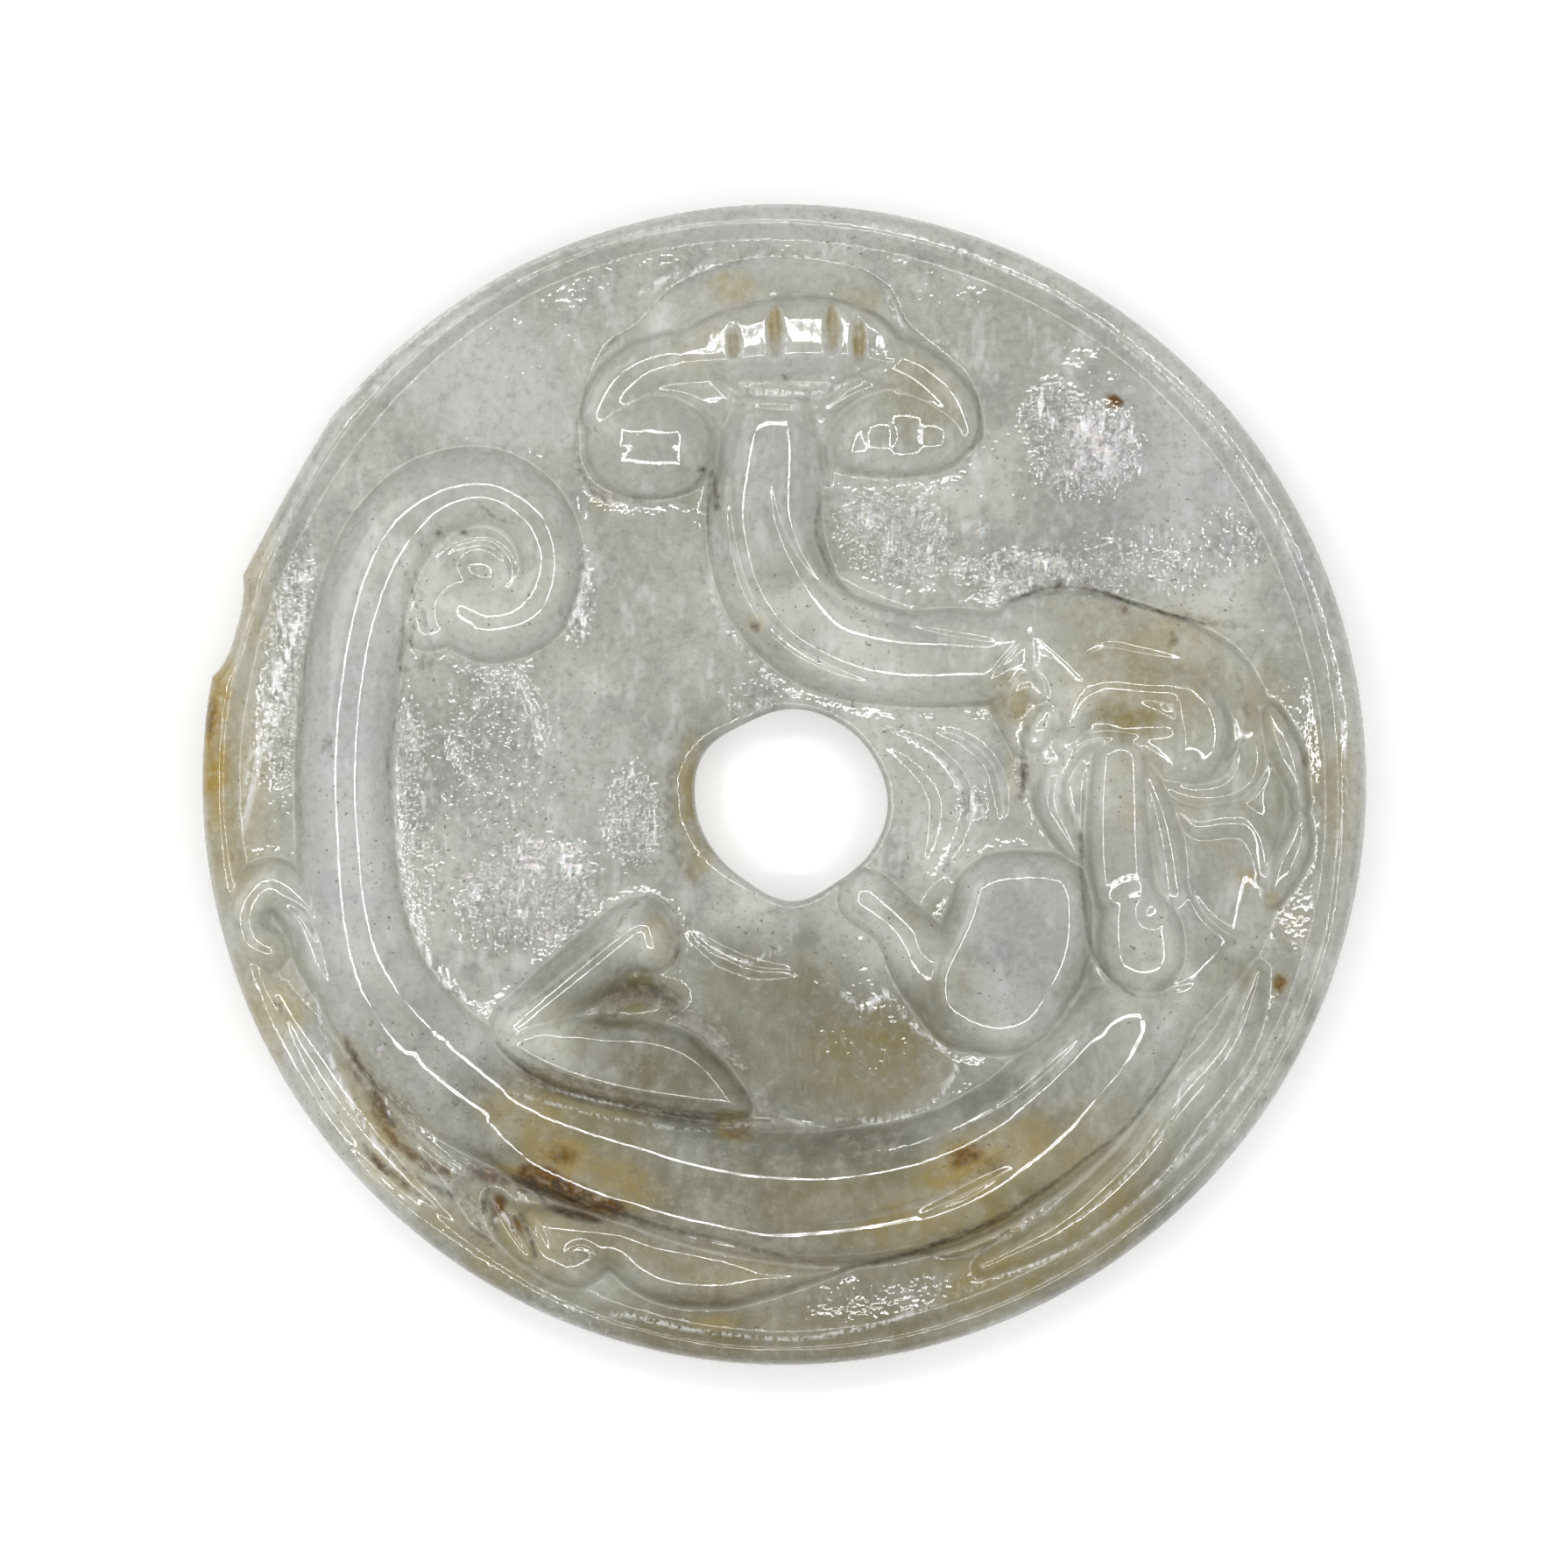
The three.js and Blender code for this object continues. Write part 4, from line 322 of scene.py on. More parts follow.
              (9.05, -16.27, 0.208, 0.1), (10.63, -15.36, 0.125, 0.04)]),
    dict(name="body_line_e", kind="groove",
         run=[(6.48, -20.26, 0.125, 0.04), (8.14, -19.51, 0.208, 0.14), (9.38, -18.85, 0.208, 0.14),
              (10.63, -18.18, 0.125, 0.04)]),
    dict(name="thigh_line", kind="groove",
         run=[(-13.45, -12.54, 0.166, 0.05), (-11.37, -14.2, 0.291, 0.18), (-8.88, -14.94, 0.291, 0.2),
              (-5.56, -15.61, 0.291, 0.2), (-2.66, -16.02, 0.249, 0.16), (-0.58, -16.02, 0.166, 0.05)]),
    dict(name="thigh_line_b", kind="groove",
         run=[(-12.62, -12.62, 0.125, 0.04), (-10.54, -13.78, 0.208, 0.14), (-8.05, -14.53, 0.208, 0.14),
              (-5.15, -15.03, 0.208, 0.12), (-3.07, -15.28, 0.125, 0.04)]),
]

# Tints and stains as soft elliptical patches, and painted light and shade (the glint, shadow and pale patches): x, y,
# half length, half width (mm), turn (degrees), strength.
OCHRE = [
    (-2.37, 20.67, 0.37, 0.83, 0, 1), (-0.42, 21.42, 0.42, 1.33, 0, 1), (2.28, 21.5, 0.42, 1.25, 0, 1),
    (3.53, 20.92, 0.42, 1.16, 0, 1), (-25.98, 10.63, 1.91, 4.98, -10, 0.75), (-27.02, 1.91, 1.41, 6.23, 0, 1),
    (-26.23, -2.66, 1.66, 3.74, 0, 0.5), (-24.66, 13.95, 1.66, 2.49, -30, 0.5),
    (-26.73, 4.4, 1.08, 2.49, -10, 0.9), (-2.45, 23.49, 1.49, 1.16, 0, 0.55), (3.78, 22.87, 1.08, 0.91, 0, 0.35),
    (5.65, 18.31, 3.74, 3.32, 0, 0.14), (-3.9, 20.59, 2.49, 1.66, 0, 0.2), (-8.47, 13.32, 1.08, 0.66, 0, 0.45),
    (-1.41, 7.51, 0.75, 0.58, 0, 0.6), (16.85, 5.23, 4.98, 3.74, -10, 0.28), (18.72, 7.51, 2.91, 1.08, -5, 0.34),
    (13.95, 8.14, 2.49, 1.25, 0, 0.28), (10.83, 3.98, 1.41, 1.49, 0, 0.4), (16.44, 3.07, 1.83, 1.08, 0, 0.4),
    (22.66, 3.98, 1.66, 2.91, 0, 0.25), (19.76, -1.83, 2.91, 2.49, 0, 0.2), (16.85, -0.17, 2.08, 2.49, 0, 0.2),
    (21.71, -4.48, 0.91, 0.75, 0, 0.5), (23.08, -5.56, 0.75, 0.66, 0, 0.5), (23.91, -6.81, 1.25, 1.66, 0, 0.3),
    (-4.4, -0.79, 0.83, 3.74, 0, 0.45), (-3.9, -3.69, 0.75, 1.66, -30, 0.35), (8.76, -18.02, 2.91, 1.83, 30, 0.85),
    (6.89, -19.68, 3.32, 1.66, 20, 0.45), (11.25, -16.77, 1.83, 1.49, 30, 0.55),
    (9.8, -20.92, 3.32, 1.25, 25, 0.45), (-10.54, -17.68, 2.49, 1.66, -25, 0.7),
    (-13.03, -18.47, 1.08, 0.83, 0, 0.7), (-9.71, -14.69, 4.57, 1.08, -15, 0.4),
    (-2.32, -16.15, 1.33, 1, -20, 0.8), (-5.77, -7.43, 1.08, 1.66, 0, 0.5), (-8.05, -18.85, 3.32, 1.66, -10, 0.5),
    (-18.85, -16.35, 1.16, 4.15, 28, 0.5), (-18.22, -18.43, 2.32, 1, -35, 0.5), (-20.51, -13.03, 1, 1.66, 20, 0.4),
    (-23.41, -10.54, 1.66, 1.25, -30, 0.45), (-24.66, -11.79, 1.08, 2.49, 20, 0.45),
    (15.61, 18.1, 0.58, 0.37, -10, 0.9), (16.23, -1.41, 0.58, 0.83, 0, 0.5), (23.49, -9.46, 0.54, 0.5, 0, 0.9),
    (9.8, -23.41, 3.74, 1.66, 14, 0.35), (-3.28, -25.49, 1.41, 0.5, 0, 0.5),
    (-11.79, -20.92, 2.49, 1.66, -20, 0.35), (4.4, -12.62, 4.15, 2.91, 0, 0.18),
    (-13.86, -22.58, 2.91, 1.25, -30, 0.25), (-25.07, 8.14, 1.08, 2.49, 0, 0.3),
    (25.15, 1.08, 0.75, 2.49, 0, 0.35), (11.04, 0.66, 0.83, 2.08, 0, 0.3), (0.25, -22.58, 3.74, 1, 0, 0.2),
    (13.95, -18.02, 2.49, 1.25, 40, 0.3), (-12.2, -15.73, 2.91, 1.66, -20, 0.5),
    (8.76, -18.02, 3.98, 2.24, 30, 0.6), (-3.9, -22.58, 4.98, 1.41, -8, 0.3), (-26.23, -0.17, 2.08, 6.23, 0, 0.5),
    (26.19, -0.17, 1.25, 4.15, 0, 0.3), (-26.73, 8.14, 1.66, 4.98, -10, 0.4), (14.78, -20.92, 3.74, 2.08, 40, 0.3),
    (-18.85, -16.77, 3.74, 2.49, -45, 0.15), (-12.2, -21.75, 2.49, 1.66, -20, 0.35),
    (-15.52, -20.92, 3.32, 1.49, -35, 0.3), (6.06, -20.92, 4.57, 1.66, 15, 0.4),
]
RUST = [
    (-9.92, -19.51, 2.41, 1, -22, 1), (-11.37, -18.64, 1.49, 0.83, -20, 1), (-8.3, -20.01, 1, 0.83, -10, 0.9),
    (-12.2, -18.93, 0.58, 0.5, 0, 0.9), (8.55, -17.52, 1.16, 0.66, 25, 0.5), (9.8, -18.02, 0.83, 0.5, 0, 0.4),
    (-20.3, -13.24, 0.33, 1, 20, 0.45), (-19.18, -15.52, 0.33, 1, 25, 0.4), (-17.6, -17.52, 1.25, 0.33, -35, 0.4),
    (-16.35, -18.22, 1.25, 0.37, -20, 0.5), (-10.54, -17.43, 1.08, 0.58, -20, 0.45),
    (15.61, 18.1, 0.5, 0.29, -10, 0.9), (16.06, 8.26, 0.37, 0.29, 0, 0.4), (18.35, 6.68, 0.29, 0.29, 0, 0.35),
    (-13.45, -19.88, 0.5, 0.66, 0, 0.5), (-12.78, -20.71, 0.42, 0.91, 30, 0.5), (-23, -16.35, 0.42, 1.25, 35, 0.3),
    (23.49, -9.46, 0.42, 0.37, 0, 0.6), (-2.24, -16.35, 0.75, 0.5, -20, 0.4), (24.66, 1.16, 0.25, 0.42, 0, 0.4),
    (-1.41, 7.47, 0.29, 0.29, 0, 0.35), (-27.15, 3.15, 0.42, 1.25, 0, 0.3), (-19.47, -14.28, 0.25, 1.25, 25, 0.5),
    (-20.51, -12.83, 0.29, 0.58, 20, 0.5), (-18.43, -16.77, 0.25, 0.91, 35, 0.35),
    (-19.01, -18.02, 0.25, 1, 40, 0.35), (-9.92, -19.76, 1.83, 0.66, -22, 1), (-11.29, -18.93, 1.08, 0.58, -20, 1),
    (-13.86, -18.51, 1, 0.37, -15, 0.9), (-19.01, -15.03, 0.29, 1.08, 28, 0.35),
]
OLIVE = [
    (4.82, -19.68, 6.23, 2.49, 10, 0.8), (9.38, -20.51, 4.57, 1.83, 30, 0.8), (3.78, -12.62, 5.4, 3.94, 0, 0.55),
    (-0.58, -9.71, 4.98, 2.49, 0, 0.45), (-6.81, -10.05, 2.91, 1.83, 8, 1), (10.21, -23.83, 4.57, 1.66, 18, 0.5),
    (10.63, 3.98, 2.49, 2.49, 0, 0.55), (16.35, 2.91, 2.49, 1.41, -5, 0.8), (-4.32, -0.79, 1.66, 4.57, 0, 0.55),
    (6.89, -5.98, 2.49, 2.08, 0, 0.4), (7.72, -9.3, 2.08, 2.91, 0, 0.4), (-1.41, -12.62, 3.74, 3.32, 0, 0.4),
    (14.36, -9.3, 2.49, 1.66, 0, 0.3), (-13.86, -20.92, 3.32, 2.08, -30, 0.45),
    (-9.71, -16.35, 4.98, 1.66, -15, 0.4), (2.74, 10.63, 2.49, 2.49, 0, 0.25), (6.89, 16.85, 2.49, 2.49, 0, 0.3),
    (-3.9, 13.95, 1.66, 2.49, 0, 0.3), (-5.56, -6.81, 1.66, 2.08, 0, 0.4), (17.27, -9.3, 2.49, 2.08, 0, 0.35),
    (21.42, -8.88, 2.49, 2.08, 0, 0.35), (22.66, -0.17, 1.66, 3.74, 0, 0.3), (0.25, 5.65, 2.91, 1.25, -30, 0.3),
    (-8.05, -21.75, 2.49, 1.66, 0, 0.25), (-19.26, -14.28, 2.08, 3.74, 25, 0.35),
    (0.25, -26.32, 6.64, 1.25, 0, 0.25), (16.44, 5.65, 4.98, 2.49, -5, 0.35), (-6.39, -13.66, 3.74, 2.08, 0, 0.35),
    (0.25, -25.9, 9.96, 1.66, 0, 0.3), (-9.71, -16.77, 4.98, 2.49, -15, 0.35),
    (14.36, -20.92, 4.57, 2.49, 40, 0.35), (-12.2, -23, 3.74, 2.08, -25, 0.4), (-6.81, -10.21, 2.74, 1.41, 8, 1),
    (-8.05, -10.63, 1.66, 0.83, -10, 0.8), (-7.22, -14.69, 6.23, 1, -12, 0.35),
    (8.14, -21.75, 5.81, 1.25, 20, 0.8), (-1, -16.35, 2.49, 0.83, 0, 0.6), (10.63, -20.3, 3.74, 1, 32, 0.7),
    (6.48, 17.68, 2.91, 2.91, 0, 0.25), (1.49, 22.66, 4.98, 2.08, 0, 0.2), (18.1, 7.31, 4.15, 2.08, -10, 0.15),
]
BLUE = [
    (-20.71, -0.17, 3.74, 12.45, 0, 0.9), (-17.6, -11.79, 3.74, 4.57, 35, 0.8), (11.04, -7.64, 4.15, 4.98, 0, 1),
    (18.1, 14.78, 6.64, 7.06, 30, 0.8), (-14.69, -13.86, 3.74, 2.49, -30, 0.7),
    (-10.54, -8.88, 3.32, 2.49, 30, 0.5), (-6.81, -13.03, 3.74, 1.66, -10, 0.6),
    (-3.9, -18.85, 7.06, 1.66, -5, 0.45), (-0.17, 13.95, 2.08, 4.57, 0, 0.45),
    (-11.37, -0.17, 5.81, 6.64, 0, 0.35), (0.46, 21.21, 4.15, 1.66, 0, 0.4), (-6.39, 16.44, 2.08, 2.08, 0, 0.35),
    (-15.52, 13.95, 3.32, 2.08, 0, 0.5), (8.97, 1.08, 2.49, 2.08, 0, 0.5), (18.93, -4.32, 2.49, 3.74, 0, 0.3),
    (16.85, -4.73, 1.66, 4.15, 0, 0.5), (-4.73, -22.58, 3.74, 1.66, 0, 0.6), (21, 19.76, 4.98, 4.98, 0, 0.5),
    (25.15, 8.14, 2.49, 8.3, 0, 0.5),
]
GREEN = [
    (-14.69, 19.34, 6.23, 3.74, -35, 0.35), (-3.9, 24.74, 8.3, 1.66, 0, 0.5), (4.4, 3.98, 2.49, 1.66, 0, 0.3),
    (-10.54, 8.55, 3.32, 3.74, 0, 0.4), (6.48, 22.66, 3.74, 2.49, 0, 0.5), (0.25, 26.82, 10.79, 1.66, 0, 0.4),
    (16.44, -18.85, 5.4, 2.49, 45, 0.4), (-8.05, -25.07, 6.64, 2.08, -10, 0.3), (-23, -0.17, 1.25, 8.3, 0, 0.2),
]
ROUGH = [
    (14.36, 15.61, 3.32, 2.74, 20, 0.9), (12.49, 17.27, 1.66, 2.08, -10, 0.8), (5.23, 11.87, 3.74, 2.91, -20, 0.8),
    (12.29, 9.59, 5.4, 1.83, -6, 0.7), (-9.71, 8.97, 1.08, 2.91, 0, 0.7), (-23.41, 5.65, 1.66, 9.13, -4, 0.6),
    (-17.6, 1.08, 1.08, 4.15, 0, 0.6), (-12.2, -5.15, 4.57, 3.32, 20, 0.8), (-7.02, -1.62, 1.83, 3.32, 0, 0.7),
    (8.88, -1, 1.08, 1, 0, 0.8), (-17.18, -3.9, 1.66, 4.98, 0, 0.4), (-13.86, 1.49, 4.98, 6.64, 0, 0.35),
    (3.57, -12.2, 4.57, 3.53, 0, 0.12), (-18.85, -15.52, 2.49, 2.91, 30, 0.7), (21, 11.46, 2.49, 2.49, 0, 0.3),
    (16.85, 10.63, 4.98, 2.08, -5, 0.4), (-1.41, 3.98, 2.49, 1.66, -20, 0.4), (11.25, 0.87, 0.5, 1.66, 0, 0.9),
    (0.25, 24.74, 12.45, 1.25, 0, 0.2), (5.23, -24.03, 6.64, 1, 8, 0.25), (-11.37, -25.07, 4.98, 1.08, -18, 0.4),
    (-20.51, -20.09, 2.49, 1.25, -45, 0.5), (11.87, -20.92, 2.49, 1.25, 30, 0.5),
]
# Glint patches: painted glints, where white and faintly coloured cell facets stand in for the lamps catching polished
# pits.
GLINT_PATCHES = [
    (-14.07, -4.73, 1.25, 1.08, 0, 0.9), (-11.79, -3.28, 0.91, 1.41, -10, 0.8), (-9.92, -3.69, 1.08, 1.25, 0, 0.8),
    (14.78, 16.02, 2.08, 2.08, 20, 0.5), (-10.96, -6.81, 1.08, 0.75, 0, 0.5), (8.97, 12.08, 0.91, 0.42, -10, 0.6),
    (12.08, 10.63, 1.83, 0.42, -8, 0.7), (4.4, 12.29, 1.25, 0.5, -60, 0.4), (-17.6, 1.91, 0.42, 1.66, 0, 0.4),
    (-19.26, -12.2, 0.5, 1, 20, 0.4), (-8.47, -2.24, 0.5, 0.66, 0, 0.6),
]
GREY = [
    (3.78, -12.2, 5.4, 4.15, 0, 0.9), (-1.41, -10.96, 4.57, 3.32, 0, 0.6), (-5.56, -2.66, 3.32, 3.74, 0, 0.4),
    (1.49, -25.9, 9.13, 2.08, 0, 0.35), (-13.86, 4.82, 4.98, 3.74, 0, 0.35), (12.7, 12.29, 5.81, 3.32, 0, 0.3),
    (6.48, -6.39, 2.49, 2.08, 0, 0.4), (-13.86, -0.17, 4.57, 6.23, 0, 0.35), (-8.05, 1.91, 3.74, 2.49, 0, 0.3),
]
# Shadow patches: painted shade, darkening the lower part of the disc that lies away from the light; they also carry the
# darker, warmer stone there.
DARK = [
    (-1.41, -18.43, 16.6, 8.3, 0, 0.82), (3.78, -12.2, 7.89, 5.4, 0, 0.68), (-5.56, -12.62, 6.23, 4.57, 0, 0.85),
    (7.72, -22.17, 11.62, 4.98, 14, 0.7), (-0.58, -25.49, 13.7, 3.32, 0, 0.92),
    (-11.79, -16.77, 7.47, 4.98, -20, 0.8), (10.63, -16.77, 6.23, 4.98, 30, 0.75),
    (18.51, 4.4, 7.89, 6.23, 0, 0.05), (23.91, -0.17, 3.74, 9.96, 0, 0.3), (21, -4.32, 5.81, 6.23, 0, 0.22),
    (-0.58, -8.88, 6.64, 3.32, 0, 0.6), (15.19, -20.51, 8.3, 4.15, 40, 0.62), (15.61, -4.32, 3.32, 7.47, 0, 0.3),
    (10.63, -7.64, 4.98, 5.4, 0, 0.22), (-17.6, -11.79, 3.32, 4.15, 30, 0.42), (-6.39, 16.02, 3.74, 3.32, 0, 0.22),
    (-0.58, 10.63, 4.57, 5.81, 0, 0.15), (-9.71, -9.3, 3.74, 2.91, 30, 0.55), (14.78, -13.86, 4.98, 3.74, 45, 0.4),
    (23.08, -12.62, 4.98, 6.64, 30, 0.4), (-13.86, -23, 8.3, 3.74, -25, 0.45), (-3.9, -0.17, 2.49, 5.4, 0, 0.25),
    (8.14, -0.17, 3.32, 3.74, 0, 0.15), (-0.58, 21.42, 5.81, 4.15, 0, 0.1), (-3.9, -22.58, 5.81, 2.08, -5, 0.75),
    (-6.39, -13.86, 4.98, 2.91, 0, 0.5), (-13.86, -15.52, 3.32, 2.49, -30, 0.35),
    (-10.54, -19.26, 4.98, 2.49, -20, 0.4), (4.4, -24.66, 10.79, 2.08, 8, 0.5),
    (-6.81, -10.21, 2.49, 1.25, 8, 0.9), (4.4, -15.94, 5.81, 1.41, 0, 0.6), (-18.02, -16.35, 2.08, 3.74, 40, 0.15),
    (-0.58, -14.69, 2.49, 2.08, 0, 0.5),
]
# Pale patches: painted light, lightening the upper left and the cap as if more strongly lit; elsewhere they mark paler
# stone.
PALE = [
    (-14.69, 19.76, 7.06, 4.57, -35, 0.9), (-0.58, 21.83, 6.23, 3.74, 0, 0.6), (0, 26.32, 10.79, 1.25, 0, 0.6),
    (-6.39, 16.02, 3.32, 2.49, 0, 0.3), (14.78, -13.45, 2.49, 2.49, 40, 0.3), (-20.71, 3.98, 2.08, 10.79, 0, 0.25),
    (-25.07, 3.15, 2.49, 9.13, 0, 0.45), (-13.86, 13.95, 4.15, 2.49, 0, 0.3),
    (-23.41, 13.95, 2.49, 4.98, -35, 0.3),
]
WARM = [
    (-25.49, 2.74, 3.32, 13.7, 0, 0.52), (-13.86, 10.63, 4.57, 4.57, 0, 0.14), (-24.66, -9.71, 2.91, 3.74, 0, 0.6),
    (-11.37, -20.92, 6.64, 3.74, -20, 0.35), (11.87, -19.68, 9.55, 4.57, 32, 0.52),
    (18.1, 4.4, 7.06, 4.98, 0, 0.26), (0.25, -25.07, 14.11, 3.32, 0, 0.3), (-9.71, -16.35, 4.98, 2.49, -10, 0.3),
    (25.15, -0.17, 2.49, 10.79, 0, 0.15), (-18.85, -16.77, 2.91, 4.98, 35, 0.35), (-1, -19.68, 9.13, 2.49, 0, 0.2),
    (3.78, -13.86, 4.98, 2.91, 0, 0.2), (6.89, 20.59, 2.49, 3.74, 0, 0.18), (-4.32, 19.76, 2.49, 2.08, 0, 0.2),
    (-10.54, -11.37, 2.49, 2.49, 0, 0.2), (0.25, 22.17, 7.47, 2.32, 0, 0.22), (6.89, 18.51, 2.49, 2.49, 0, 0.2),
    (-7.22, 17.68, 2.49, 3.32, 0, 0.12),
]
